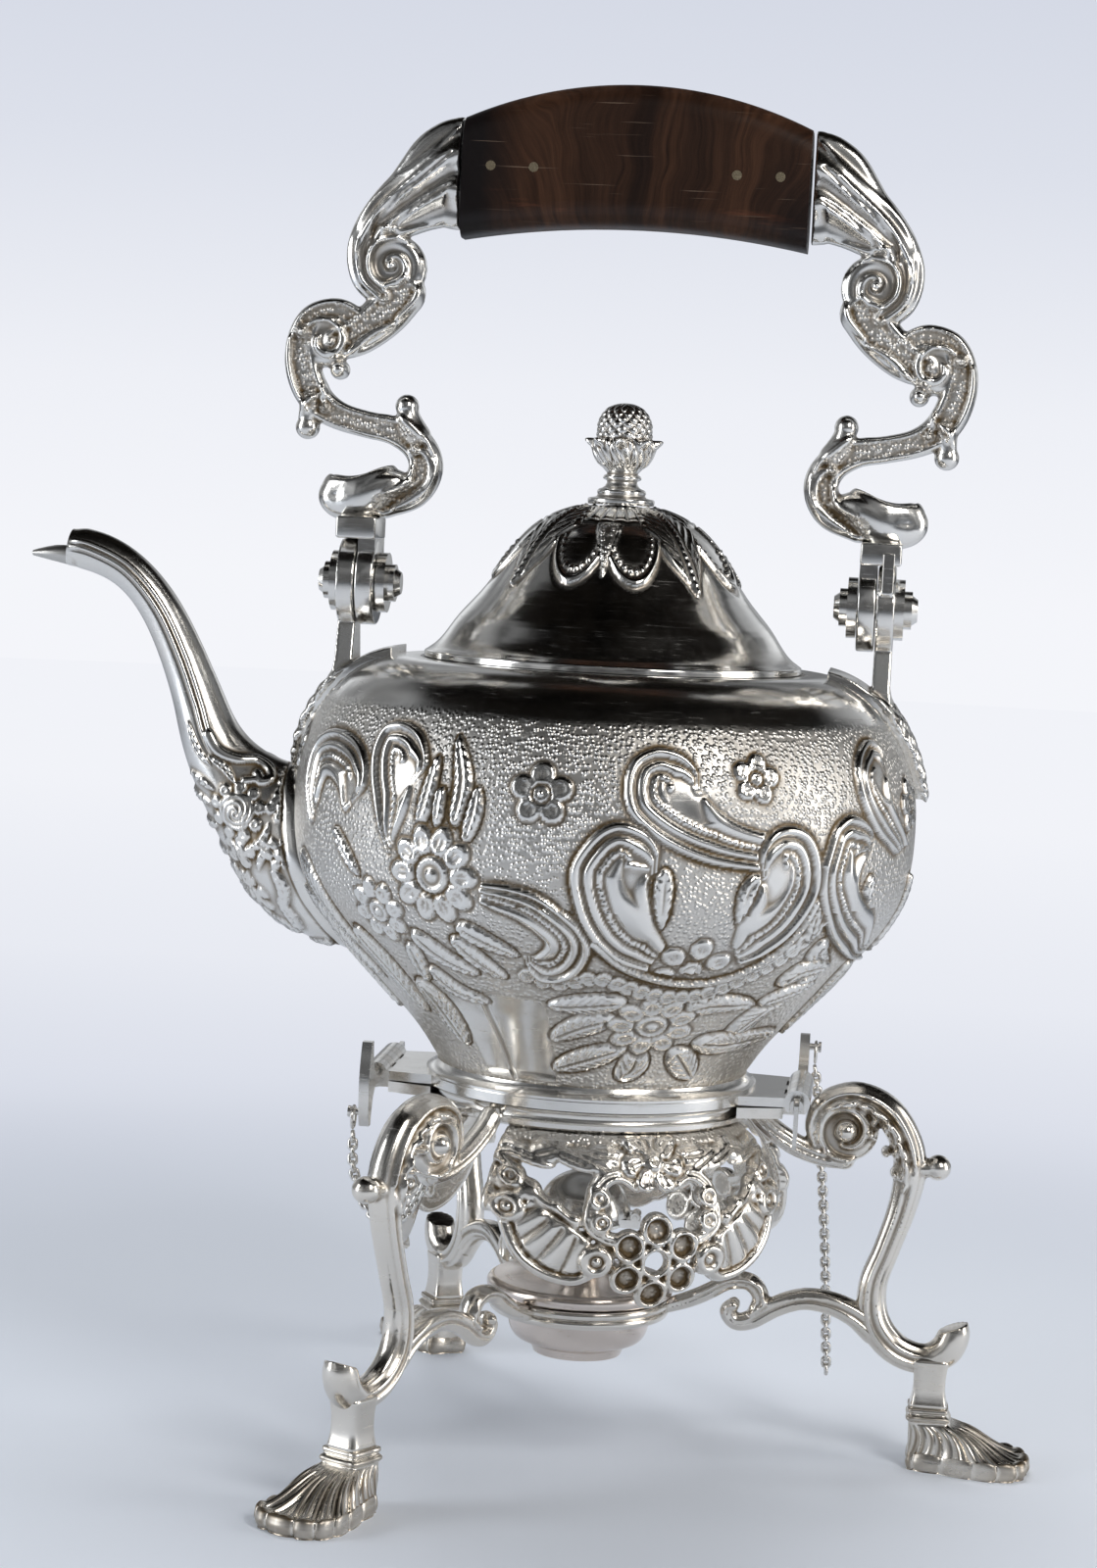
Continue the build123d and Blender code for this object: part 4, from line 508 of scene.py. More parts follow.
def body_at(turn, run):
    """Point and outward normal of the kettle's plain form, by turn in degrees and run up its outline."""
    r = np.interp(run, BODY_RUN, BODY_LINE[:, 0])
    z = np.interp(run, BODY_RUN, BODY_LINE[:, 1])
    dr = np.interp(run + 0.8, BODY_RUN, BODY_LINE[:, 0]) - np.interp(run - 0.8, BODY_RUN, BODY_LINE[:, 0])
    dz = np.interp(run + 0.8, BODY_RUN, BODY_LINE[:, 1]) - np.interp(run - 0.8, BODY_RUN, BODY_LINE[:, 1])
    size = np.hypot(dr, dz)
    nr, nz = dz / size, -dr / size
    a = np.radians(turn)
    s, c = np.sin(a), -np.cos(a)
    return np.stack([r * s, r * c, z], -1), np.stack([nr * s, nr * c, nz], -1)


def body_radius(level):
    return np.interp(level, BODY_RISING, BODY_LINE[:, 0])


def run_at(level):
    return np.interp(level, BODY_RISING, BODY_RUN)


def chase(points, turn, run, offset):
    """Rise of the chased ornament over the plain form, and how much of the ground is pebbled."""
    rise = np.full(len(points), GROUND_RISE)
    pebbled = np.ones(len(points))
    turned = (turn - offset + 180) % 360 - 180
    map_x, map_y = np.radians(turned) * MAP_RADIUS, run

    def laid(path):
        return body_at(path[:, 0] + offset, run_at(path[:, 1]))[0]

    def nearby(spots, reach):
        lo, hi = spots.min(0) - reach, spots.max(0) + reach
        return np.where(((points >= lo) & (points <= hi)).all(1))[0]

    def leaf(path, half, height=1.45):
        spots = laid(soft_line(path, 8))
        near = nearby(spots, half + 1.5)
        t = np.linspace(0, 1, len(spots))
        wide = half * np.sqrt(np.clip(np.sin(pi * t ** 0.75), 0.02, 1))
        d, along, share, r, _ = to_line(points[near], spots, wide)
        q = d / r
        inside = q < 1
        vein = 0.6 * bump(d, 0, 0.5) * ease(share, 0, 0.1)
        nick = 0.24 * np.cos(2 * pi * (along + d * 1.2) / 2.3) * ease(q, 0.2, 0.5)
        h = GROUND_RISE * 0.6 + height * (1 - np.clip(q, 0, 1) ** 2.4) ** 0.5 - vein + nick
        rise[near[inside]] = np.maximum(h, 0.1)[inside]
        groove = (q >= 1) & (d < r + 0.7)
        rise[near[groove]] = np.minimum(rise[near[groove]], 0.08)
        pebbled[near[q < 1.1]] = 0

    for path in LEAVES:
        leaf(path[:3], path[3])
    for outer, inner in COMMAS:
        outer_line, inner_line = soft_line(outer, 7), soft_line(inner, 7)
        spots, inner_spots = laid(outer_line), laid(inner_line)
        edge = np.vstack([outer_line, inner_line[::-1]])
        polygon = np.stack([np.radians(edge[:, 0]) * MAP_RADIUS, run_at(edge[:, 1])], 1)
        near = nearby(np.vstack([spots, inner_spots]), 3)
        hit = within(polygon, map_x[near], map_y[near])
        d, along = to_line(points[near], spots)[:2]
        d_in = to_line(points[near], inner_spots)[0]
        width = d + d_in
        scale = np.clip(width / 12.5, 0.3, 1.05)
        e = d / scale
        h = 0.3 + 1.35 * bead(e, 1.15, 1.15)
        h = np.maximum(h, 0.25 + 1.0 * bead(e, 4.4, 1.15))
        step = (along / 1.75) % 1 - 0.5
        beads = np.sqrt(np.clip(1 - ((step * 1.75) ** 2 + (e - 7.2) ** 2) / 0.72, 0, 1))
        h = np.where((e > 2.3) & (e < 3.25), 0.18, h)
        h = np.where((e > 5.55) & (e < 8.5), 0.3 + 0.75 * beads, h)
        lobe = np.minimum(e - 8.5, d_in / scale)
        h = np.where(e >= 8.5, 0.35 + 1.5 * (1 - np.exp(-np.clip(lobe, 0, 9) / 2.0)), h)
        h *= 0.35 + 0.65 * ease(width, 1.5, 6)
        rise[near[hit]] = np.maximum(h, 0.12)[hit]
        pebbled[near[hit]] = 0
        groove = ~hit & (np.minimum(d, d_in) < 0.9)
        rise[near[groove]] = np.minimum(rise[near[groove]], 0.08 + 0.2 * np.minimum(d, d_in)[groove])
        pebbled[near[groove]] *= 0.3
    spots = laid(soft_line(BASE_STROKE, 8))
    near = nearby(spots, 3)
    d = to_line(points[near], spots)[0]
    rise[near[d < 1.2]] = (0.25 + 1.2 * bead(d, 0, 1.2))[d < 1.2]
    for turn0, level0, disc, ring, count, long, wide, first, spread in FLOWERS:
        centre, normal = body_at(np.array([turn0 + offset]), run_at(np.array([level0])))
        centre, normal = centre[0], normal[0]
        east = np.array([cos(radians(turn0 + offset)), sin(radians(turn0 + offset)), 0])
        north = np.cross(normal, east) * -1
        north *= np.sign(north[2]) or 1
        near = np.where(((points - centre) ** 2).sum(1) < (ring + long + 2) ** 2)[0]
        local = points[near] - centre
        u, v = local @ east, local @ north
        h = np.full(len(near), -1.0)
        for k in range(count):
            a = radians(first + k * spread / (count if spread == 360 else count - 1))
            du, dv = u - ring * cos(a), v - ring * sin(a)
            along = du * cos(a) + dv * sin(a)
            across = -du * sin(a) + dv * cos(a)
            q = np.sqrt((along / long) ** 2 + (across / wide) ** 2)
            petal = 0.35 + 1.05 * dome(q, 3) - 0.62 * (1 - ease(q, 0.25, 0.72))
            petal += 0.18 * bump(across, 0, 0.4) * (along < 0.4 * long)
            petal -= (0.2 * (0.5 + 0.5 * np.cos(2 * pi * along / 1.3))
                      * ease(np.abs(across), 0.25 * wide, 0.45 * wide))
            h = np.where(q < 1, np.maximum(h, petal), h)
            h = np.where((q >= 1) & (q < 1.22) & (h < 0), 0.1, h)
        d = np.hypot(u, v)
        core = (0.45 + 1.1 * dome(d / disc, 4)
                - 0.8 * bump(d, disc * 0.5, disc * 0.28))
        core -= (0.22 * (0.5 + 0.5 * np.cos(np.arctan2(v, u) * round(disc * 4)))
                 * ease(d, disc * 0.6, disc * 0.75))
        h = np.where((d < disc) & ((spread == 360) | (v > -0.4 * disc)), core, h)
        h = np.where((d >= disc) & (d < disc + 0.8) & (h > -1), 0.2, h)
        if spread == 180:
            h = np.where(v < -disc * 0.5, -1, h)
        hit = h > -0.5
        rise[near[hit]] = h[hit]
        pebbled[near[hit]] = 0
    husks = soft_line(HUSK_ROW, 3)
    for husk, ahead in zip(husks[:-1:2], husks[1::2]):
        centre, towards = body_at(np.array([husk[0], ahead[0]]) + offset,
                                  run_at(np.array([husk[1], ahead[1]])))[0]
        near = np.where(((points - centre) ** 2).sum(1) < 20)[0]
        line = (towards - centre) / (np.linalg.norm(towards - centre) + 1e-6)
        local = points[near] - centre
        u = local @ line
        w = np.sqrt(np.maximum((local ** 2).sum(1) - u ** 2, 0))
        q = np.sqrt((u / 2.6) ** 2 + (w / 3.2) ** 2)
        h = 0.3 + 0.85 * dome(q, 3) - 0.35 * (1 - ease(q, 0.3, 0.7))
        h -= 0.18 * (0.5 + 0.5 * np.cos(2 * pi * w / 1.1)) * (q < 0.8)
        hit = (q < 1) & (rise[near] < h + 0.3)
        rise[near[hit]] = np.where(q[hit] > 0.9, 0.2, h[hit])
        pebbled[near[hit]] = 0
    return rise, pebbled


def body_skin(name, turn_from, turn_to, level_from, level_to, pitch):
    """One panel of the raised silver skin over the kettle's body."""
    run_from = float(run_at(level_from))
    run_to = BODY_RUN[-1] if level_to == BODY_TOP else float(run_at(level_to))
    columns = int(87.4 * radians(turn_to - turn_from) / pitch) + 1
    rows = int((run_to - run_from) / pitch) + 1

    def shape(u, v):
        turn = turn_from + (turn_to - turn_from) * u
        run = run_from + (run_to - run_from) * v
        points, normals = body_at(turn, run)
        z = points[:, 2]
        rise = np.full(len(points), GROUND_RISE)
        pebbled = np.ones(len(points))
        for offset in (0, 180):
            part = np.abs((turn - offset + 180) % 360 - 180) <= 90.001
            if part.any():
                h, g = chase(points[part], turn[part], run[part], offset)
                rise[part], pebbled[part] = h, g
        turned = np.where(np.abs(turn) > 90, turn % 360 - 180, turn)
        facet = bump(turned, -20.5, 14) * ease(z, 110, 114) * (1 - ease(z, 128, 137))
        pebbled *= (facet < 0.02) | (rise > GROUND_RISE + 0.05)
        rise = np.where((facet > 0) & (np.abs(rise - GROUND_RISE) < 0.01),
                        GROUND_RISE - 0.12 + 0.4 * facet - 0.35 * bump(turned, -23, 1.1), rise)
        planish = 0.05 * np.sin(turn * 0.31 + z * 0.07) * np.sin(z * 0.19 + 1.7)
        smooth = ease(z, 209.5, 212.5)
        rise = rise + planish * (0.6 + 0.4 * smooth)
        pebbled *= 1 - smooth
        ends = ease(z, BODY_FOOT - 0.2, BODY_FOOT + 3.5)
        top = np.hypot(points[:, 0], points[:, 1])
        rise = rise * (0.25 + 0.75 * ends)
        rise = np.where((z > BODY_TOP - 1) & (top < 60), 0.06 + (rise - 0.06) * ease(top, 54.6, 60), rise)
        shape.pebbled = pebbled
        return points + normals * rise[:, None]

    thing, keep = grid_piece(name, columns, rows, shape)
    shade(thing)
    paint(thing, "pebble", shape.pebbled[keep])
    mark_hollows(thing, 14, 0.26)
    return thing


# ------------------------------------------------------------------ lid and finial
LID_RADIUS = 53.2
LID_OUTLINE = ((1.0, 0.0), (0.955, 0.065), (0.836, 0.245), (0.715, 0.415), (0.605, 0.600), (0.423, 0.853),
               (0.17, 0.98))


def lid_skin():
    """Polished ogee lid with chased leaves around its crown."""
    tree = BVHTree.FromObject(frame["nodes"]["lid"], bpy.context.evaluated_depsgraph_get())
    height = FINIAL_FOOT - LID_FOOT
    line = soft_line([(LID_RADIUS * a, LID_FOOT + height * b) for a, b in LID_OUTLINE])
    run = run_along(line)
    rows, columns = 132, 480
    rim = np.linspace(0, 1, rows)

    def shape(u, v):
        s = v * run[-1]
        r, z = np.interp(s, run, line[:, 0]), np.interp(s, run, line[:, 1])
        a = 2 * pi * u
        x, y = r * np.sin(a), -r * np.cos(a)
        base = np.stack([x, y, z], 1)
        # true outside of the solid lid, ring by ring
        normals = np.zeros_like(base)
        for k in range(rows):
            dr = (np.interp(rim[k] * run[-1] + 0.6, run, line[:, 0])
                  - np.interp(rim[k] * run[-1] - 0.6, run, line[:, 0]))
            dz = (np.interp(rim[k] * run[-1] + 0.6, run, line[:, 1])
                  - np.interp(rim[k] * run[-1] - 0.6, run, line[:, 1]))
            n = np.array([dz, -dr]) / (np.hypot(dr, dz) + 1e-9)
            rr, zz = r[k * columns], z[k * columns]
            start = Vector(((AXIS_X + rr + n[0] * 4) * 0.001, 0, (zz + n[1] * 4) * 0.001))
            hit = tree.ray_cast(start, Vector((-n[0], 0, -n[1])), 0.008)[0]
            ring = slice(k * columns, (k + 1) * columns)
            if hit is not None:
                rr, zz = hit.x * 1000 - AXIS_X, hit.z * 1000
            base[ring, 0], base[ring, 1], base[ring, 2] = rr * np.sin(a[ring]), -rr * np.cos(a[ring]), zz
            normals[ring] = np.stack([n[0] * np.sin(a[ring]), -n[0] * np.cos(a[ring]),
                                      np.full(columns, n[1])], 1)
            r[ring] = rr
        h, shape.pebbled = crown_leaves(np.degrees(a), r)
        h = h * ease(r, 8.5, 10.5)
        h = np.where(r > 51.5, 0.05 + (h - 0.05) * (1 - ease(r, 51.5, 53.0)), h)
        return base + normals * h[:, None]

    thing, keep = grid_piece("lid_chased_skin", columns, rows, shape, closed=True)
    shade(thing)
    paint(thing, "pebble", shape.pebbled[keep])
    mark_hollows(thing, 14, 0.35)
    return thing


def crown_leaves(turn, r):
    """Rise of the lid's leaves by turn and distance from the axis, and where they are pebbled."""
    quarter = (turn + 45 + 2) % 90 - 45  # 0 in the middle of a shell, 45 at a pointed leaf
    h = np.full(len(r), 0.25)
    # pointed leaf
    across = np.abs(np.radians(np.abs(quarter) - 45) * r)
    t = (r - 11) / (36.5 - 11)
    lobes = 0.16 * np.abs(np.sin(pi * (t * 3.2 + 0.1)))
    swell = 8.2 * np.sin(pi * np.clip(t, 0, 1) ** 0.8) ** 0.8
    half = np.where((t > 0) & (t < 1), swell * (0.86 + lobes), 0)
    half *= 1 - 0.25 * ease(t, 0.75, 1)
    q = across / np.maximum(half, 0.01)
    leaf = 0.45 + 0.9 * (1 - np.clip(q, 0, 1) ** 2) ** 0.5
    leaf += 0.35 * bump(q, 0.86, 0.14) - 0.55 * bump(across, 1.3, 0.55)
    leaf -= 0.32 * (0.5 - 0.5 * np.cos(2 * pi * (r + across * 1.1) / 3.1)) * ease(across, 1.6, 2.4)
    leaf += 0.45 * np.sqrt(np.clip(1 - ((((r / 1.25) % 1 - 0.5) * 1.25) ** 2 + across ** 2) / 0.3, 0, 1))
    on = (q < 1) & (t > 0) & (t < 1)
    h = np.where(on, np.maximum(leaf, 0.2), h)
    h = np.where((q >= 1) & (across < half + 0.9) & (t > 0) & (t < 1), 0.08, h)
    # shell of two lobes with beaded edges
    side = np.abs(quarter)
    u = np.radians(side - 15.0) * r
    w = r - 26.0
    q2 = np.sqrt((u / 7.6) ** 2 + (w / 9.0) ** 2)
    shell = 0.35 + 0.95 * bump(q2, 0.91, 0.11) + 0.12 * (q2 < 0.85)
    angle = np.arctan2(w, u)
    pearl = np.sqrt(np.clip(1 - (((angle * 5.1 / 1.35) % 1 - 0.5) ** 2 * 1.8 + (q2 * 7 - 5.0) ** 2) / 0.3,
                            0, 1))
    shell += 0.5 * pearl * (w > -4) + 0.5 * pearl * (u < 1)
    h = np.where((q2 < 1) & ~on, shell, h)
    h = np.where((q2 >= 1) & (q2 < 1.13) & ~on & (w > 0), 0.08, h)
    tongue = np.radians(side) * r
    narrow = 3.4 * (1 - ease(r, 22.5, 35))
    mid = (tongue < narrow) & (r > 21) & (r < 35)
    h = np.where(mid, 0.55 + 0.7 * np.sqrt(np.clip(1 - (tongue / np.maximum(narrow, 0.01)) ** 2, 0, 1)), h)
    pebbled = np.where(mid & (tongue < narrow * 0.75), 1.0, 0.0)
    # gadroons close to the finial
    flute = np.abs(np.sin(radians(1) * turn * 16))
    top = r < 21.5
    fan = (0.35 + 0.8 * flute ** 0.6 * ease(r, 9.5, 12) * (1 - ease(r, 18.5, 21.5))
           + 0.6 * bump(r, 20.6, 1.0))
    h = np.where(top & ~on, fan, h)
    h = np.where(top & on, np.maximum(h, fan * 0.8), h)
    return h, pebbled


FINIAL_OUTLINE = ((9.2, 0.0), (9.4, 0.03), (9.2, 0.06), (7.2, 0.075), (6.7, 0.10), (6.9, 0.125),
                  (6.5, 0.15), (5, 0.175),
                  (4.3, 0.215), (4.3, 0.235), (5.2, 0.25), (5.4, 0.27), (5, 0.29), (4.3, 0.305),
                  (5.2, 0.345), (7, 0.42),
                  (8.4, 0.52), (8.6, 0.6), (7.6, 0.66), (7.3, 0.72), (7.15, 0.8), (6.2, 0.88),
                  (4.4, 0.95), (2.2, 0.987), (0.05, 1))


def finial_piece():
    """Cast bud in a collar of curling leaves."""
    line = soft_line(FINIAL_OUTLINE, 8)
    run = run_along(line * (1, FINIAL_HEIGHT))

    def shape(u, v):
        s = v * run[-1]
        r, share = np.interp(s, run, line[:, 0]), np.interp(s, run, line[:, 1])
        a = 2 * pi * u
        z = FINIAL_HEIGHT * share
        bud = ease(share, 0.64, 0.69)
        lattice = np.cos(7 * a + z * 1.05) * np.cos(7 * a - z * 1.05)
        push = 0.62 * np.sqrt(np.abs(lattice)) * bud * np.clip(r / 4.5, 0, 1)
        collar = ease(share, 0.34, 0.40) * (1 - ease(share, 0.63, 0.665))
        petal = np.abs(np.cos(4 * a))
        push += collar * (0.9 * petal ** 0.5 - 0.5 + 0.22 * np.cos(24 * a + z * 1.4))
        tip = bump(share, 0.6, 0.045) * np.clip((petal - 0.72) / 0.28, 0, 1) ** 0.7
        push += 1.9 * tip
        z = np.minimum(z + 0.9 * tip, FINIAL_HEIGHT - 0.05)
        r = np.maximum(r + push, 0.02)
        return np.stack([r * np.sin(a), -r * np.cos(a), FINIAL_FOOT + z], 1)

    thing, _ = grid_piece("lid_finial_bud", 241, 170, shape, closed=True)
    shade(thing)
    mark_hollows(thing, 8, 0.3)
    return thing


# ------------------------------------------------------------------ spout
SPOUT_TUBE = (
    (60, -19, 54, 43), (75, -17.5, 52, 41), (88.5, -12.5, 44, 34.5), (101.8, -3, 28, 25),
    (113.3, 11, 17.5, 18),
    (118.2, 23, 14.2, 14.5),
    (123.6, 36, 12.2, 12.6), (130.6, 49, 11, 11.6), (139.9, 59.2, 10.6, 11.2), (150.5, 64.3, 11.2, 11.4),
    (157.4, 65.4, 10, 10.6),
)
SPOUT_BURIED = 15.2  # length of its centre line that lies inside the body
SPOUT_LEVEL = 183.0


def spout_relief(along, a, girth, seat):
    """Rise over the plain spout: ridges along both sides, garland of roses at its root."""
    side = np.arccos(np.clip(np.abs(np.cos(a)), -1, 1)) * np.sign(np.sin(a))  # 0 on each side, + on top
    w = side * girth / (2 * pi)
    h = np.full(len(a), 0.3)
    fade = ease(along, 44, 52) * (1 - ease(along, 128, 136))
    h += (fade * (0.75 * bead(w, 1.9, 0.75) + 0.6 * bead(w, 0.2, 0.6)
                  - 0.2 * bump(w, 1.05, 0.5) - 0.2 * bump(w, -0.8, 0.5)))
    flat = np.stack([along, w], 1)

    def rose(x, y, radius):
        nonlocal h
        d = np.hypot(flat[:, 0] - x, flat[:, 1] - y)
        t = np.arctan2(flat[:, 1] - y, flat[:, 0] - x)
        q = d / radius
        swirl = 0.5 + 0.5 * np.cos(2.5 * t + d * 4.2)
        lift = (0.5 + 1.5 * dome(q) * (0.62 + 0.38 * swirl)
                + 0.3 * bump(q, 0.88, 0.16) * np.abs(np.cos(2.5 * t)))
        h = np.where(q < 1, np.maximum(h, lift), h)

    def petals(x, y, reach, count, size):
        nonlocal h
        for k in range(count):
            t = 2 * pi * k / count + x
            d = np.hypot(flat[:, 0] - x - reach * cos(t), flat[:, 1] - y - reach * sin(t))
            lift = 0.4 + 0.95 * dome(d / size) - 0.35 * bump(d, 0, size * 0.5)
            h = np.where(d < size, np.maximum(h, lift), h)
        d = np.hypot(flat[:, 0] - x, flat[:, 1] - y)
        h = np.where(d < reach * 0.55, np.maximum(h, 0.6 + 0.8 * bead(d, 0, reach * 0.55)), h)

    def leaf(points, half):
        nonlocal h
        line = soft_line(points, 6)
        t = np.linspace(0, 1, len(line))
        wide = half * np.sqrt(np.clip(np.sin(pi * t), 0.05, 1))
        near = np.where(((flat >= line.min(0) - half) & (flat <= line.max(0) + half)).all(1))[0]
        d, run, _, r, _ = to_line(flat[near], line, wide)
        q = d / r
        lift = (0.35 + 1.0 * dome(q) - 0.4 * bump(d, 0, 0.4)
                + 0.15 * np.cos(run * 3))
        h[near] = np.where(q < 1, np.maximum(h[near], lift), h[near])

    rose(29.5, -3.5, 5.2)
    rose(15.5, -22.5, 4)
    petals(15.5, -22.5, 5, 8, 1.7)
    petals(8.5, -31, 3, 6, 1.5)
    petals(13, -4.5, 3, 6, 1.4)
    petals(26, 13.5, 2.6, 5, 1.3)
    petals(29.5, -3.5, 6.4, 9, 1.9)
    petals(22.5, -11.5, 3.2, 5, 1.8)
    rose(22.5, -11.5, 2.6)
    petals(20.5, 5.5, 2.8, 5, 1.5)
    petals(19.5, -20.5, 2.6, 6, 1.3)
    for k in range(7):
        d = np.hypot(flat[:, 0] - 34.5 + 0.6 * k, flat[:, 1] - 3.4 - 0.75 * k)
        h = np.where(d < 1.05, np.maximum(h, 0.5 + 1.0 * bead(d, 0, 1.05)), h)
    for points, half in (
        (((38, -5), (42, -7), (46, -10)), 1.3), (((36, -9), (40, -13), (42, -17)), 1.5),
        (((31, -12), (33, -18), (33, -23)), 1.7),
        (((25, -17), (27, -22), (26, -28)), 1.7), (((18, -15), (17, -20), (15, -25)), 1.5),
        (((17, -26), (19, -31), (18, -37)), 1.8),
        (((24, 1), (23, 5), (25, 9)), 1.3), (((17, -2), (17, -7), (16, -12)), 1.2),
        (((36, 1), (41, 1), (46, -1)), 1.3),
        (((17, 9), (20, 13), (25, 14)), 1.5), (((16, 14), (17, 19), (16, 24)), 1.5),
        (((27, -30), (24, -36), (20, -42)), 1.6),
        (((44, -2), (50, -3), (57, -3)), 1.1), (((7, -18), (9, -12), (13, -9)), 1.8),
        (((3, -26), (5, -21), (9, -16)), 1.8),
        (((1, -34), (-2, -31), (-3, -27)), 1.6), (((22, -33), (15, -35), (8, -36)), 1.6),
        (((12, 1), (12, 6), (14, 11)), 1.7),
        (((24, -25), (19, -29), (14, -31)), 1.5), (((20, 0), (19, -5), (21, -9)), 1.3),
        (((11, -27), (7, -26), (3, -29)), 1.3),
        (((20, 19), (22, 24), (27, 28)), 1.6), (((17, 26), (20, 31), (25, 34)), 1.6),
    ):
        leaf(points, half)
    curl = soft_line(((52, 1.6), (46, 2.2), (41, 5.6), (37.5, 10.2), (33, 11.4), (29.5, 9.4), (31, 6.8),
                      (33.6, 7.4)), 8)
    d = to_line(flat, curl)[0]
    h = np.where(d < 1.6, np.maximum(h, 0.4 + 1.3 * bead(d, 0, 1.6)), h)
    flange = 0.3 + 0.45 * bead(seat, 1.7, 1.9) - 0.25 * bump(seat, 4.1, 0.5)
    h = np.where(seat < 4.3, flange, h)
    near_tip = ease(along, 124, 130)
    h += near_tip * (0.55 * np.abs(np.cos(along * 0.55 + w * 0.8)) * np.abs(np.cos(side * 3)) + 0.2)
    return h


def spout_skin():
    """Cast spout skin laid over the tube."""
    tree = BVHTree.FromObject(frame["nodes"]["spout"], bpy.context.evaluated_depsgraph_get())
    line = soft_line(SPOUT_TUBE, 16)
    run = run_along(line[:, :2])
    columns, rows = 261, 300

    def shape(u, v):
        s = run[-1] * v
        out, up = np.interp(s, run, line[:, 0]), np.interp(s, run, line[:, 1]) + SPOUT_LEVEL
        wide, deep = np.interp(s, run, line[:, 2]), np.interp(s, run, line[:, 3])
        do = np.interp(s + 1, run, line[:, 0]) - np.interp(s - 1, run, line[:, 0])
        du = np.interp(s + 1, run, line[:, 1]) - np.interp(s - 1, run, line[:, 1])
        size = np.hypot(do, du)
        no, nu = -du / size, do / size
        a = 2 * pi * u
        x = -(out + no * np.sin(a) * wide / 2)
        z = up + nu * np.sin(a) * wide / 2
        y = -np.cos(a) * deep / 2
        centre = np.stack([-out, np.zeros(len(out)), up], 1)
        points = np.stack([x, y, z], 1)
        away = points - centre
        reach = np.sqrt((away ** 2).sum(1))
        ray = away / reach[:, None]
        snapped = points.copy()
        starts = world(points + ray * 3.0)
        for i in range(len(points)):
            hit = tree.ray_cast(Vector(starts[i]), Vector(-ray[i]), 0.006)[0]
            if hit is not None:
                snapped[i] = (hit.x * 1000 - AXIS_X, hit.y * 1000, hit.z * 1000)
        moved = ((snapped - centre) * ray).sum(1) - reach
        moved = moved.reshape(rows, columns)
        for _ in range(4):
            moved[1:-1, 1:-1] = ((moved[1:-1, 1:-1] * 2 + moved[:-2, 1:-1] + moved[2:, 1:-1]
                                  + moved[1:-1, :-2] + moved[1:-1, 2:]) / 6)
            moved[:, 0] = moved[:, -1] = (moved[:, 1] + moved[:, -2]) / 2
        girth = pi * (wide + deep) / 2
        height = np.clip(points[:, 2], 110, 222)
        steep = body_radius(height + 0.5) - body_radius(height - 0.5)
        seat = (np.hypot(points[:, 0], points[:, 1]) - body_radius(height)) / np.sqrt(1 + steep ** 2)
        h = spout_relief(s - SPOUT_BURIED, a, girth, seat)
        ends = ease(s, 0, 3) * (1 - ease(s, run[-1] - 5, run[-1]))
        h = 0.06 + (h - 0.06) * ends
        return centre + ray * (reach + moved.ravel() + h)[:, None]

    thing, _ = grid_piece("spout_cast_skin", columns, rows, shape, closed=True)
    shade(thing)
    mark_hollows(thing, 12, 0.4)
    return thing


# ------------------------------------------------------------------ bail arms
PIVOT_OUT, PIVOT_LEVEL = 49.2, 242.8  # zero of the arm's drawing, from the axis and from the table


def rounded(thing, width, **limit):
    """Fix a block's place and round its edges."""
    bpy.ops.object.transform_apply(location=True, rotation=True, scale=True)
    apply_modifier(thing, "BEVEL", width=width, segments=3, **limit)
    return thing


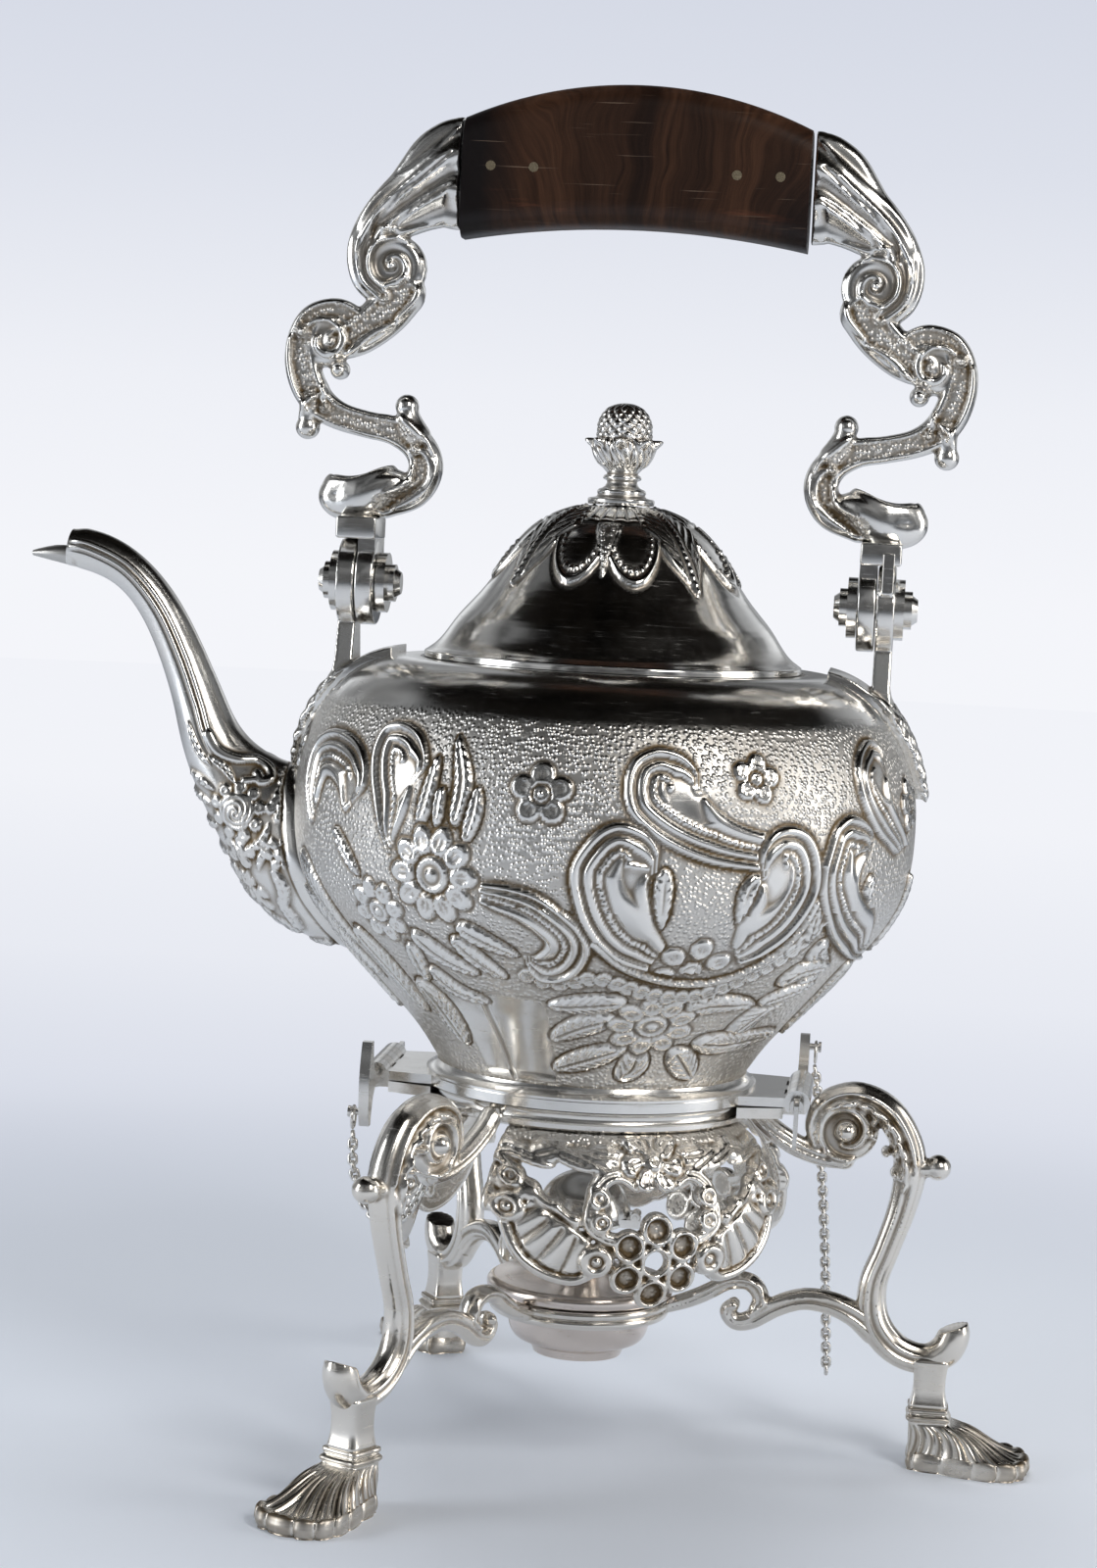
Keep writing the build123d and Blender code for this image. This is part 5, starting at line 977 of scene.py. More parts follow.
def bail_arm(name, side):
    """Cast scroll arm with its rimmed curls, dish, cross block and pivot disc."""
    c = Casting((-4, 56, 8, 136))
    c.stroke(((-0.2, 115.6, 31.6, 17), (3.2, 115, 28.4, 16.6), (7.6, 112.2, 24, 15.4),
              (12.6, 108.6, 19.6, 13.6),
              (18.4, 104.4, 16.2, 12), (23.6, 99.2, 13, 10.8), (26.6, 92.6, 11, 10),
              (25.6, 85.6, 9.4, 9.6), (20.5, 80.6, 8, 9.4)), "fluted", 0.3)
    c.disc(18.4, 88.6, 9.4, 9, 1.6)
    c.stroke(((15.5, 81.5, 13, 9), (20.5, 75.5, 13, 9), (27, 69.8, 11.5, 9.4), (33.2, 67, 10, 9.6)),
             "rimmed", 0.3)
    c.stroke(((25.5, 69.4, 5, 8.6), (28.3, 73.8, 6, 9), (34, 76, 7, 9.2), (40.8, 73.4, 8, 9.4),
              (43.6, 66, 9.4, 9.6),
              (42.4, 57.5, 10.2, 9.4), (38.6, 50.6, 9.6, 9), (32.4, 46.6, 8, 8.4), (24, 44.4, 7.6, 7.8),
              (16, 43, 8.2, 7.8),
              (9.2, 39.2, 9.4, 8.6), (6.6, 33, 9.8, 9), (9.8, 26.4, 9.8, 9.4), (18, 22.6, 9, 9.6)),
              "rimmed", 0.36)
    c.stroke(((9.5, 28.5, 3, 7), (17, 27.8, 9.6, 13), (24, 24.8, 15, 15), (30, 24, 13.4, 13.4),
              (33.6, 24.2, 6, 7)), "round")
    c.disc(36.6, 67.2, 7.4, 9.2, 1.3)
    c.ball(12.8, 50, 3.4, 4.3)
    c.stroke(((12.6, 50, 5, 8), (12, 45.5, 7.5, 8.6), (9.5, 41.5, 8, 8.6)), "round")
    c.ball(41, 42.9, 3.5, 4.1)
    c.stroke(((41.4, 43.0, 5, 7.4), (40.6, 47.0, 6, 8), (40.4, 51, 7, 8.6)), "round")
    # chased curls on both faces
    c.ridge(spiral(18.6, 89.0, 8.2, 1.4, 120, -1.35), 1.2, 1.5)
    c.ball(18.8, 89.2, 2.2, 5.6)
    c.ridge(((2, 100.4), (9, 99.6), (15.6, 98.6), (22.4, 99.6)), 1.2, 1)
    c.ridge(((1.6, 127.5), (8, 121.5), (16, 114.5), (24.5, 107), (28.6, 98.5), (28.8, 91)), 1.3, 0.8)
    c.ridge(((2.5, 121), (10, 114.6), (18, 108), (23.5, 101), (24.6, 94.5)), 0.9, -0.9)
    c.ridge(((2.5, 112), (9.5, 107.6), (16, 102.6), (20, 98.6)), 0.9, -0.9)
    c.ridge(((9.6, 94.5), (8.6, 87.6), (11.4, 80.2), (16.4, 74.6)), 1.3, 1.1)
    c.ridge(spiral(36.4, 67.4, 6.6, 2.4, 40, 0.95), 1.3, 1.5)
    c.ball(43.2, 69.6, 2.4, 5.6)
    c.ball(35.2, 67.2, 2.3, 4.4)
    c.ridge(((33.8, 60.2), (30.2, 62.2), (27.6, 66.2), (22.6, 70.2), (17.6, 72.8)), 1.3, 1.4)
    c.ball(32.4, 59.4, 2.8, 5.4)
    c.ridge(((46.8, 68), (46.9, 60), (44.6, 53), (41, 47.8)), 1.5, 1.2)
    c.ridge(((35.6, 57), (36.6, 52.6), (35.8, 48.8)), 1, 1)
    c.ridge(((38.2, 52), (41.8, 49.4), (43.4, 45.4)), 1.1, 1)
    c.ball(35.8, 48.6, 1.7, 5.2)
    c.ridge(((14.6, 47.2), (11.4, 44.8), (7.2, 41.6), (4.4, 37)), 1.4, 1.1)
    c.ridge(((9.4, 37.4), (6.8, 37.2), (4.6, 33.5), (5.4, 28.6), (9.4, 24.4), (15, 21.2)), 1.3, 1.2)
    c.ball(9.6, 38, 2, 5.3)
    c.ridge(((11.6, 34.4), (10.4, 31), (12.6, 27.4), (17.4, 25.2)), 1.1, 0.9)
    c.inside = np.minimum(c.inside, c.p[:, 0] + 0.05)

    def place(px, pz, depth):
        return np.stack([side * (PIVOT_OUT + px), depth, PIVOT_LEVEL + pz], 1)

    lump = c.skin(name, place, 3)
    p = points_of(lump)
    # hollow the thumb rest from above
    u, w, y = np.abs(p[:, 0]) - PIVOT_OUT, p[:, 2] - PIVOT_LEVEL, p[:, 1]
    over = np.sqrt(((u - 25.4) / 9.4) ** 2 + (y / 6.6) ** 2)
    top = (w > 25.2) & (u > 13) & (u < 38) & (w < 36)
    p[:, 2] -= np.where(top, 3.4 * (1 - ease(over, 0.0, 0.92)), 0)
    p[:, 2] += np.where(top, 0.8 * bump(over, 0.98, 0.16), 0)
    set_points(lump, p)
    paint(lump, "pebble", c.sample(c.web, u, p[:, 2] - PIVOT_LEVEL))
    mark_hollows(lump, 14, 0.5)
    clear_selection()
    bpy.ops.mesh.primitive_cube_add(size=1, location=((AXIS_X + side * 73.7) * 0.001, 0, 0.2581))
    bpy.context.object.scale = (0.0114, 0.0186, 0.0062)
    block = rounded(bpy.context.object, 0.0007)
    clear_selection()
    x = (AXIS_X + side * 70.5) * 0.001
    bpy.ops.mesh.primitive_cylinder_add(vertices=128, radius=0.0121, depth=0.005,
                                        rotation=(0, pi / 2, 0), location=(x, 0, PIVOT_LEVEL * 0.001))
    disc = rounded(bpy.context.object, 0.0006, angle_limit=radians(50))
    bpy.ops.mesh.primitive_cube_add(size=1, location=(x, 0, 0.2535))
    neck = bpy.context.object
    neck.scale = (0.0048, 0.0170, 0.0060)
    bpy.ops.object.transform_apply(location=True, rotation=True, scale=True)
    fittings = join([block, disc, neck], name.replace("arm", "pivot_block"))
    shade(fittings, 35)
    return lump, fittings


# ------------------------------------------------------------------ legs, brackets, feet
def radial(angle):
    """Placing of a flat drawing that stands out from the axis at an angle in degrees."""
    s, c = sin(radians(angle)), cos(radians(angle))

    def place(out, up, depth):
        return np.stack([out * c - depth * s, out * s + depth * c, up], 1)
    return place


def leg_casting():
    c = Casting((42, 112, 24, 112))
    # strut to the ring behind the curl
    c.stroke(((73.5, 86.4, 5.6, 7), (66, 87.4, 6.2, 7.2), (58, 90.4, 6.4, 7), (50.6, 95.4, 6, 7),
              (46.6, 99.6, 5.4, 7)), "ridged", 0.22)
    c.stroke(((65.4, 89.8, 3.6, 6.4), (63.8, 96, 4.6, 7.6), (67.2, 102.4, 6.6, 8.6),
              (75.6, 105, 8, 8.8), (84.2, 101.6, 8.8, 9),
              (89.8, 94, 9.2, 9), (92, 85, 9.4, 9), (90.4, 74, 8.2, 8.8), (86.8, 62, 7.6, 8.6),
              (83.4, 51, 8.2, 8.6),
              (84.4, 40.6, 9.2, 8.8), (90.4, 33.4, 9, 8.8), (98.6, 30.8, 8.6, 8.8),
              (104.4, 33.4, 8.0, 8.8)), "ridged", 0.2)
    c.disc(73.4, 95.2, 9.2, 6.4, 0.6)
    c.ball(99.8, 86, 3.7, 4)
    c.stroke(((90, 85.4, 6, 8), (95.4, 85.5, 5, 6.6), (99.4, 86, 5.6, 7)), "round")
    c.stroke(((101.4, 31, 8.8, 9), (105.2, 34, 9.4, 10), (107, 38, 9.2, 10),
              (107.2, 41.0, 8.0, 9)), "round")
    out, up = c.p[:, 0], c.p[:, 1]
    flat_end = 40.6 - up + 0.35 * (out - 106)
    c.inside = np.where((out > 97) & (up < 60), np.minimum(c.inside, flat_end), c.inside)
    c.ridge(spiral(73.4, 95.2, 8.4, 4.4, -70, -1.1), 1.3, 1.9)
    c.ball(73.4, 95.2, 3.9, 6.6)
    # acanthus on the shoulder
    c.ridge(((65.6, 101.6), (70.6, 106.2), (78, 106.6), (85.6, 102.6), (91, 94.6), (93.6, 86.6)), 1.6, 0.9)
    for points, size, rise in (
        (((68, 101.4), (71.8, 103.4), (75.6, 102.6)), 1.3, 1.1),
        (((72, 102.8), (76, 103.4), (78.8, 100.6)), 1.2, 1.2),
        (((76.6, 103), (80.6, 101.6), (81.4, 97.6)), 1.4, 1.4),
        (((80.4, 101.6), (84.6, 98.6), (83.4, 94), (80.6, 94.4)), 1.4, 1.5),
        (((84.8, 98.6), (88.2, 94.4), (87.6, 89.2), (84.9, 89.4)), 1.5, 1.5),
        (((88, 93.4), (90.6, 88.6), (89.8, 83.4), (87.6, 83.6)), 1.4, 1.4),
        (((90.4, 88), (91.8, 83.6), (90.4, 79)), 1.2, 1.1),
    ):
        c.ridge(points, size, rise)
    c.ball(80.6, 94.6, 1.5, 5.6)
    c.ball(84.9, 89.6, 1.5, 5.8)
    c.ball(87.6, 83.8, 1.4, 5.6)
    return c


def bracket_casting():
    c = Casting((20, 92, 28, 56), 0.4)
    c.stroke(((84.5, 38, 8.6, 7.4), (79, 42, 7.4, 7.2), (72, 44.8, 6.8, 6.8), (64, 45.4, 6.2, 6.4),
              (56.5, 42.8, 6, 6.2), (49.5, 38.4, 5.6, 5.8),
              (45.0, 37.6, 5.0, 5.4), (42.6, 40.4, 4.6, 5.2), (44.4, 42.8, 3.6, 4.6)), "ridged", 0.2)
    c.stroke(((50.4, 40.6, 4.4, 5.6), (51.8, 45.2, 5, 6), (48.6, 49.2, 5.2, 6.2), (42.6, 49, 5, 6),
              (37.2, 45.8, 4.8, 5.6), (31.6, 43.0, 4.8, 5.4), (24.4, 40.4, 4.4, 5.2)), "ridged", 0.18)
    c.ridge(((84, 41.4), (78, 44.8), (70, 47.6), (63, 47.8), (55.6, 44.8), (49, 40.4)), 0.9, 0.8)
    c.ridge(((53, 44), (51.6, 48.6), (46, 50.6), (39.6, 48.6), (33.4, 45.2)), 0.9, 0.7)
    c.ball(44.2, 42.4, 2, 3.4)
    return c


def cast_copy(name, solid):
    """Copy of a solid's skin, merged and recast so that it can be tooled."""
    thing = new_object(name, frame["nodes"][solid].data.copy())
    thing.data.name = name
    merge_points(thing, 0.005)
    while thing.data.uv_layers:
        thing.data.uv_layers.remove(thing.data.uv_layers[0])
    if thing.data.has_custom_normals:
        bpy.ops.mesh.customdata_custom_splitnormals_clear()
    thing.data.materials.clear()
    recast(thing, 1)
    return thing


FOOT_OUTLINE = ((96.5, 0), (96.5, 5.4), (103.5, 7.8), (112.5, 10.8), (119.5, 12.0), (125.4, 10.6),
                (128.6, 6.2), (129.6, 0))
COLLAR_OUTLINE = ((95.9, 0), (95.9, 5.3), (99.6, 5.5), (103.6, 5.5), (105.9, 5.2), (106.2, 3.4),
                  (106.3, 1.7), (106.3, 0))
FOOT_PROFILE = (  # share from the collar to the toes, level, roll of the moulding
    (0, 17.7, -3), (0, 17.7, 0), (0, 17.3, 0.45), (0, 16.7, 0.5), (0, 16.2, 0),
    (0, 15.9, 0.1), (0.01, 15.2, 0.9),
    (0.02, 14.5, 0.9), (0.03, 13.8, 0.2), (0.07, 13.3, 0), (0.17, 12.6, 0), (0.32, 11.3, 0),
    (0.48, 9.4, 0), (0.64, 7.2, 0),
    (0.8, 5.4, 0), (0.92, 4.7, 0), (1, 4.6, 0.15), (1.01, 3.6, 0.5), (1.01, 2.2, 0.7),
    (1, 0.9, 0.45), (0.98, 0.1, 0), (0.9, 0, 0), (0, 0, -4.5),
)
FOOT_LOBES = 11
FOOT_OUT = 101.0  # middle of the foot's collar from the axis


def foot_piece(name, angle):
    """Shell foot: moulded collar, long flutes and a rim of rounded toes."""
    half, collar = soft_line(FOOT_OUTLINE), soft_line(COLLAR_OUTLINE)
    profile = soft_line(FOOT_PROFILE, 6)
    place = radial(angle)

    def shape(u, v):
        w = 1 - np.abs(2 * u - 1)  # 0 at the heel, 1 at the middle toe
        hand = np.where(u < 0.5, -1.0, 1.0)
        t = w * (len(half) - 1)
        low = np.stack([np.interp(t, range(len(half)), half[:, k]) for k in (0, 1)], 1)
        top = np.stack([np.interp(t, range(len(half)), collar[:, k]) for k in (0, 1)], 1)
        low[:, 1] *= hand
        top[:, 1] *= hand
        s = v * (len(profile) - 1)
        share, level, roll = (np.interp(s, range(len(profile)), profile[:, k]) for k in (0, 1, 2))
        flat = top + (low - top) * np.maximum(share, 0)[:, None]
        away = flat - (FOOT_OUT, 0)
        away /= np.hypot(away[:, 0], away[:, 1])[:, None] + 1e-9
        turn = (u - 0.5) * FOOT_LOBES / 0.80 + 0.25 * np.sin(share * 4) * hand
        lobe = np.sqrt(np.abs(np.cos(pi * turn)))
        fine = 0.16 * np.cos(6 * pi * turn)
        where = ease(share, 0.05, 0.4) * ease(w, 0.10, 0.22)
        deep = where * (0.9 + 0.5 * share) * (lobe - 0.8) + where * fine * (1 - ease(share, 0.85, 0.95))
        rise = deep * 0.75 * (1 - ease(share, 0.97, 1.0)) * (level > 1)
        lip = 0.5 * bump(share, 0.97, 0.07) * lobe * (level > 3.5)
        flat = flat + away * (roll + deep)[:, None]
        return place(flat[:, 0], np.clip(level + rise + lip, 0, 18), flat[:, 1])

    thing, _ = grid_piece(name, 353, 120, shape, closed=True)
    shade(thing)
    mark_hollows(thing, 10, 0.3)
    return thing


# Level, half size outwards, half size across.
ANKLE_SIZES = ((17.2, 5.2, 4.9), (18.4, 5.3, 5.0), (19.6, 5.0, 4.8), (22.4, 4.6, 4.5), (26.0, 4.6, 4.5),
               (28.8, 4.9, 4.7), (30.8, 5.2, 4.9), (32, 4.4, 4.2))


def ankle_piece(name, angle):
    """Waisted square ankle under the leg."""
    place = radial(angle)
    line = soft_line(ANKLE_SIZES, 6)

    def shape(u, v):
        s = v * (len(line) - 1)
        level, out, across = (np.interp(s, range(len(line)), line[:, k]) for k in (0, 1, 2))
        c, d = np.cos(2 * pi * u), -np.sin(2 * pi * u)
        x = np.sign(c) * np.abs(c) ** 0.32 * out
        y = np.sign(d) * np.abs(d) ** 0.32 * across
        return place(FOOT_OUT + x, level, y)

    thing, _ = grid_piece(name, 121, 44, shape, closed=True)
    shade(thing)
    return thing


# ------------------------------------------------------------------ pierced aprons
SHELL_EDGE = ((34.6, 84.0), (40.6, 77.5), (40.1, 70.6), (37.4, 64.6), (33.0, 60.4), (27.4, 57.8),
              (21, 57.2), (15.7, 60.2))
SHELL_BACK = ((18.4, 70.6), (22.6, 73.6), (27.6, 76.4), (30.8, 80.2))
DAISY_LEVEL, CELLS_LEVEL = 91.4, 64.4


def apron_casting():
    c = Casting((-48, 48, 48, 99), 0.4)
    x, z = c.p[:, 0], c.p[:, 1]
    ax = np.abs(x)
    top = np.minimum(z - (RING_BOTTOM - 3.2), RING_BOTTOM - z)
    c.inside = np.maximum(c.inside, top)
    c.high = np.where(top > 0, 0.5, c.high)
    m = Casting((0, 48, 48, 99), 0.4)  # half of the pattern, mirrored
    shell = np.vstack([soft_line(SHELL_EDGE, 8), soft_line(SHELL_BACK, 8)])
    hit = within(shell, m.p[:, 0], m.p[:, 1])
    closed = np.vstack([shell, shell[:1]])
    d_all = to_line(m.p, closed)[0]
    d_edge, run = to_line(m.p, soft_line(SHELL_EDGE, 8))[:2]
    d_back = to_line(m.p, soft_line(SHELL_BACK, 8))[0]
    m.inside = np.maximum(m.inside, np.where(hit, d_all, -d_all))
    fan = np.degrees(np.arctan2(m.p[:, 1] - 86.5, m.p[:, 0] - 17.0))
    flute = np.abs(np.sin(radians(1) * fan * 12.5))
    h = 0.25 + 1.35 * flute ** 0.75 * ease(d_edge, 2.6, 4.2) * ease(d_back, 0.2, 2.0)
    h = np.where(d_edge < 3.0, 0.5 + 2.0 * bead(d_edge, 1.5, 1.6), h)
    h = np.where((d_edge > 3.0) & (d_edge < 3.9), 0.1, h)
    cord = 0.6 + 0.9 * bump(d_back, 0.8, 1.0) * (0.6 + 0.4 * np.cos(run * 1.6))
    h = np.where(d_back < 1.8, np.maximum(h, cord), h)
    m.high = np.where(m.inside > 0, h, m.high)

    def add(points, wide, rise, curl=0.25):
        line = soft_line([(*q, wide) for q in points])
        d, _, _, r, side = to_line(m.p, line[:, :2], line[:, 2] / 2)
        q = np.clip(d / r, 0, 1)
        h = rise * np.sqrt(1 - q ** 2) - curl * rise * bump(q * side, 0, 0.32)
        m.inside = np.maximum(m.inside, r - d)
        m.high = np.where(d < r, np.maximum(m.high, h), m.high)

    def pearl(px, pz, radius, rise, ring=False):
        d = np.hypot(m.p[:, 0] - px, m.p[:, 1] - pz)
        h = rise * dome(d / radius)
        if ring:
            h = (0.5 + (rise - 0.5) * bead(d, radius * 0.68, radius * 0.34)
                 + 0.9 * (rise - 0.6) * bead(d, 0, radius * 0.3))
        m.inside = np.maximum(m.inside, radius - d)
        m.high = np.where(d < radius, np.maximum(m.high, h) if not ring else h, m.high)

    add(((46.2, 80), (47.6, 84), (46.4, 88), (42.6, 90.4), (38.4, 89.8), (35.6, 86.6)), 3.6, 2.3)
    add(((46, 82), (43, 84.4), (40, 85), (36.4, 83)), 6.4, 1, -0.2)
    add(((5.4, 85.4), (9, 87.6), (13, 87), (16.2, 84), (17.6, 80), (18, 77.4)), 4.8, 2.2, 0.3)
    add(((18.4, 78.2), (18.4, 74.2), (15.2, 71.4), (10.4, 70)), 4.2, 2, 0.3)
    add(((22, 74.5), (26, 77.8), (30, 80), (33.4, 84.2)), 2.8, 1.9, 0.1)
    pearl(16.4, 64.6, 4.8, 3, True)
    pearl(38.4, 77.8, 4.2, 3, True)
    pearl(43.4, 79.2, 4, 3.3)
    pearl(36.6, 85.8, 3, 2.7, True)
    pearl(15.6, 81.6, 3.1, 2.4, True)
    pearl(15.4, 75.4, 3.1, 2.5, True)
    pearl(33.2, 82.4, 3, 2.2)
    pearl(27, 78.8, 2, 2)
    pearl(22.4, 75.6, 2, 2)
    for hx, hz, reach, lean in ((44.0, 92.8, 6.2, -8), (38.6, 92.0, 6.6, -14), (33.0, 91.6, 7.4, 20),
                                (27.6, 92.4, 6.8, -16), (22, 91.4, 7.6, 22), (15.6, 90.4, 6.6, 26),
                                (12.2, 92.2, 6.0, 4)):
        a = radians(lean)
        u = (m.p[:, 0] - hx) * cos(a) + (m.p[:, 1] - hz) * sin(a)
        w = -(m.p[:, 0] - hx) * sin(a) + (m.p[:, 1] - hz) * cos(a)
        q = np.sqrt((u / reach) ** 2 + (w / 2.9) ** 2)
        h = (0.7 + 1.5 * dome(q) - 0.8 * bump(w, 0, 0.6)
             - 0.3 * np.abs(np.sin(u * 1.5)) * ease(np.abs(w), 0.6, 1.4))
        m.inside = np.maximum(m.inside, (1 - q) * 2.9)
        m.high = np.where(q < 1, np.maximum(m.high, h), m.high)
    c.inside = np.maximum(c.inside, m.sample(m.inside, ax, z))
    c.high = np.maximum(c.high, m.sample(m.high, ax, z))
    # seven petalled flower
    for k in range(7):
        a = radians(90 + 360 * k / 7)
        u = x * cos(a) + (z - DAISY_LEVEL) * sin(a) - 5.2
        w = -x * sin(a) + (z - DAISY_LEVEL) * cos(a)
        q = np.sqrt((u / 3.9) ** 2 + (w / (2.75 + 0.12 * u)) ** 2)
        h = 1.5 + 1.6 * dome(q, 2.4) - 1.1 * (1 - ease(q, 0.2, 0.75))
        h += 0.35 * bump(w, 0, 0.45) - 0.3 * bump(np.abs(w), 1.1, 0.45)
        c.inside = np.maximum(c.inside, (1 - q) * 3.4)
        c.high = np.where((q >= 1) & (q < 1.25), np.minimum(c.high, 0.7), c.high)
        c.high = np.where(q < 1, h, c.high)
    d = np.hypot(x, z - DAISY_LEVEL)
    c.inside = np.maximum(c.inside, 3.4 - d)
    core = 1.4 + 2.3 * bead(d, 0, 2.9) - 1.0 * bump(d, 0, 1.1)
    c.high = np.where(d < 2.9, core, c.high)
    # cluster of ringed cells
    ways = [(cos(radians(30 + 60 * k)), sin(radians(30 + 60 * k))) for k in range(6)]
    for cx, cz in ((0, 0), *((9.0 * right, 9.0 * up) for right, up in ways)):
        d = np.hypot(x - cx, z - (CELLS_LEVEL + cz))
        c.inside = np.maximum(c.inside, 4.75 - d)
        ring = 0.5 + 2.0 * bead(d, 3.9, 1.0)
        floor = -0.9 + 0.5 * (d / 3.0) ** 2
        c.high = np.where(d < 4.75, np.where(d > 3.0, ring, floor), c.high)
    for right, up in ways:
        d = np.hypot(x - 4.6 * right, z - CELLS_LEVEL - 4.6 * up)
        c.inside = np.maximum(c.inside, 1.2 - d)
    c.inside = np.minimum(c.inside, np.hypot(x, z - CELLS_LEVEL) - 2.9)
    limit = apron_out(z) * sin(radians(50.5))
    c.inside = np.minimum(c.inside, np.minimum(limit - ax, RING_BOTTOM - z))
    c.web = (c.high < 0.6) * 1.0
    return c


def apron_out(z):
    """Outside of the bulged apron at a level: arc through three points."""
    x1, x2, x3 = 45.8, 57.4, 53.2
    y1, y2, y3 = RING_BOTTOM, RING_BOTTOM - 21.62, RING_BOTTOM - 47
    k = 2 * (x1 * (y2 - y3) + x2 * (y3 - y1) + x3 * (y1 - y2))
    cx = (((x1 ** 2 + y1 ** 2) * (y2 - y3) + (x2 ** 2 + y2 ** 2) * (y3 - y1)
           + (x3 ** 2 + y3 ** 2) * (y1 - y2)) / k)
    cy = (((x1 ** 2 + y1 ** 2) * (x3 - x2) + (x2 ** 2 + y2 ** 2) * (x1 - x3)
           + (x3 ** 2 + y3 ** 2) * (x2 - x1)) / k)
    r = sqrt((x1 - cx) ** 2 + (y1 - cy) ** 2)
    return cx + np.sqrt(np.clip(r ** 2 - (z - cy) ** 2, 1, None))


def apron_piece(name, angle, c):
    """One bulged apron bent from the flat pattern c, with rounded edges."""
    s, co = sin(radians(angle)), cos(radians(angle))
    round_edge = np.sqrt(1 - (1 - np.clip(c.inside / 1.5, 0, 1)) ** 2)
    front = -1.9 + 0.9 * round_edge + c.high * (0.4 + 0.6 * round_edge) * 0.82
    back = -2.3 - 0.7 * round_edge

    def place(x, z, depth):
        out = apron_out(z)
        turn = np.arcsin(np.clip(x / out, -0.95, 0.95))
        r = out + depth
        a, b = r * np.cos(turn), r * np.sin(turn)
        return np.stack([a * co - b * s, a * s + b * co, z], 1)

    thing = c.skin(name, place, back=back, front=front)
    p = points_of(thing)
    across = -p[:, 0] * s + p[:, 1] * co
    paint(thing, "pebble", 0.6 * c.sample(c.web, across, p[:, 2]))
    mark_hollows(thing, 14, 0.5)
    return thing


# ------------------------------------------------------------------ ears and chains
def ear_piece(name, solid, side):
    """Ear with a veined leaf chased on its outer face."""
    thing = cast_copy(name, solid)
    p, n = points_of(thing), normals_of(thing)
    low_part = ease(-p[:, 2], -221, -215)
    y = p[:, 1]
    facing = ease(n[:, 0] * side, 0.1, 0.5) * low_part
    drop = 223 - p[:, 2]
    vein = 0.5 * bump(y, 0, 0.8) - 0.45 * bump(np.abs(y), 2.0 + 0.02 * drop, 0.7)
    ribs = (0.55 * np.cos(2 * pi * y / 3.5) * ease(np.abs(y), 1.2, 2.4)
            + 0.2 * np.cos(2 * pi * (drop - np.abs(y)) / 4.4))
    p += n * ((vein + ribs + 0.9) * facing)[:, None]
    set_points(thing, p)
    shade(thing)
    mark_hollows(thing, 10, 0.4)
    return thing


LINK_LENGTH, LINK_WIDTH, LINK_WIRE = 4.0, 3.1, 0.56  # wire by its radius


def link_points():
    """One oval chain link lying along X."""
    count, around, wire = 14, 6, LINK_WIRE
    t = np.linspace(0, 2 * pi, count, endpoint=False)
    straight, bend = (LINK_LENGTH - LINK_WIDTH) / 2, LINK_WIDTH / 2 - wire
    cx = np.cos(t) * bend + np.sign(np.cos(t)) * straight * (np.abs(np.cos(t)) > 0.2)
    cy = np.sin(t) * bend
    s = np.linspace(0, 2 * pi, around, endpoint=False)
    points, faces = [], []
    for i in range(count):
        for k in s:
            points.append((cx[i] + wire * cos(k) * cos(t[i]), cy[i] + wire * cos(k) * sin(t[i]),
                           wire * sin(k)))
    for i in range(count):
        for k in range(around):
            a, b = i * around + k, i * around + (k + 1) % around
            j = (i + 1) % count
            faces.append((a, j * around + k, j * around + (k + 1) % around, b))
    return np.array(points), np.array(faces)


def chain_piece(name, route, pitch):
    """Chain of oval links along a route in mm, each link turned against the last."""
    line = soft_line(route, 12)
    run = np.concatenate([[0], np.cumsum(np.sqrt((np.diff(line, axis=0) ** 2).sum(1)))])
    count = int(round(run[-1] / pitch))
    shape, quads = link_points()
    points, faces = [], []
    side = np.array([0.0, 1.0, 0.0])
    for i in range(count):
        s = (i + 0.5) * run[-1] / count
        middle = np.array([np.interp(s, run, line[:, k]) for k in range(3)])
        ahead = np.array([np.interp(s + 1, run, line[:, k]) - np.interp(s - 1, run, line[:, k])
                          for k in range(3)])
        ahead /= np.linalg.norm(ahead)
        side = side - ahead * (side @ ahead)
        side /= np.linalg.norm(side)
        third = np.cross(ahead, side)
        a = radians(90 * i + 6 * sin(i * 2.3))
        u = side * cos(a) + third * sin(a)
        w = np.cross(ahead, u)
        points.append(middle + shape[:, :1] * ahead + shape[:, 1:2] * u + shape[:, 2:3] * w)
        faces.append(quads + i * len(shape))
    thing = new_mesh(name, np.vstack(points), np.vstack(faces))
    shade(thing)
    return thing


# ------------------------------------------------------------------ finishes
def node(tree, kind, inputs=(), **values):
    """Shader node with its inputs set or linked."""
    made = tree.nodes.new(kind)
    for key, value in values.items():
        setattr(made, key, value)
    for key, value in dict(inputs).items():
        socket = made.inputs[key]
        if isinstance(value, bpy.types.NodeSocket):
            tree.links.new(value, socket)
        else:
            socket.default_value = value
    return made


def maths(tree, operation, a, b, c=None, clamp=False):
    values = {0: a, 1: b} if c is None else {0: a, 1: b, 2: c}
    return node(tree, "ShaderNodeMath", values, operation=operation, use_clamp=clamp).outputs[0]


def mix_colour(tree, share, a, b):
    return node(tree, "ShaderNodeMix", {0: share, 6: a, 7: b}, data_type="RGBA").outputs[2]


def ramp(tree, value, stops):
    made = tree.nodes.new("ShaderNodeValToRGB")
    tree.links.new(value, made.inputs[0])
    elements = made.color_ramp.elements
    while len(elements) > 1:
        elements.remove(elements[-1])
    elements[0].position, elements[0].color = stops[0]
    for position, colour in stops[1:]:
        elements.new(position).color = colour
    return made.outputs[0]


def noise(tree, vector, scale, detail, roughness=0.5):
    return node(tree, "ShaderNodeTexNoise", {"Vector": vector, "Scale": scale, "Detail": detail,
                                             "Roughness": roughness}).outputs["Fac"]


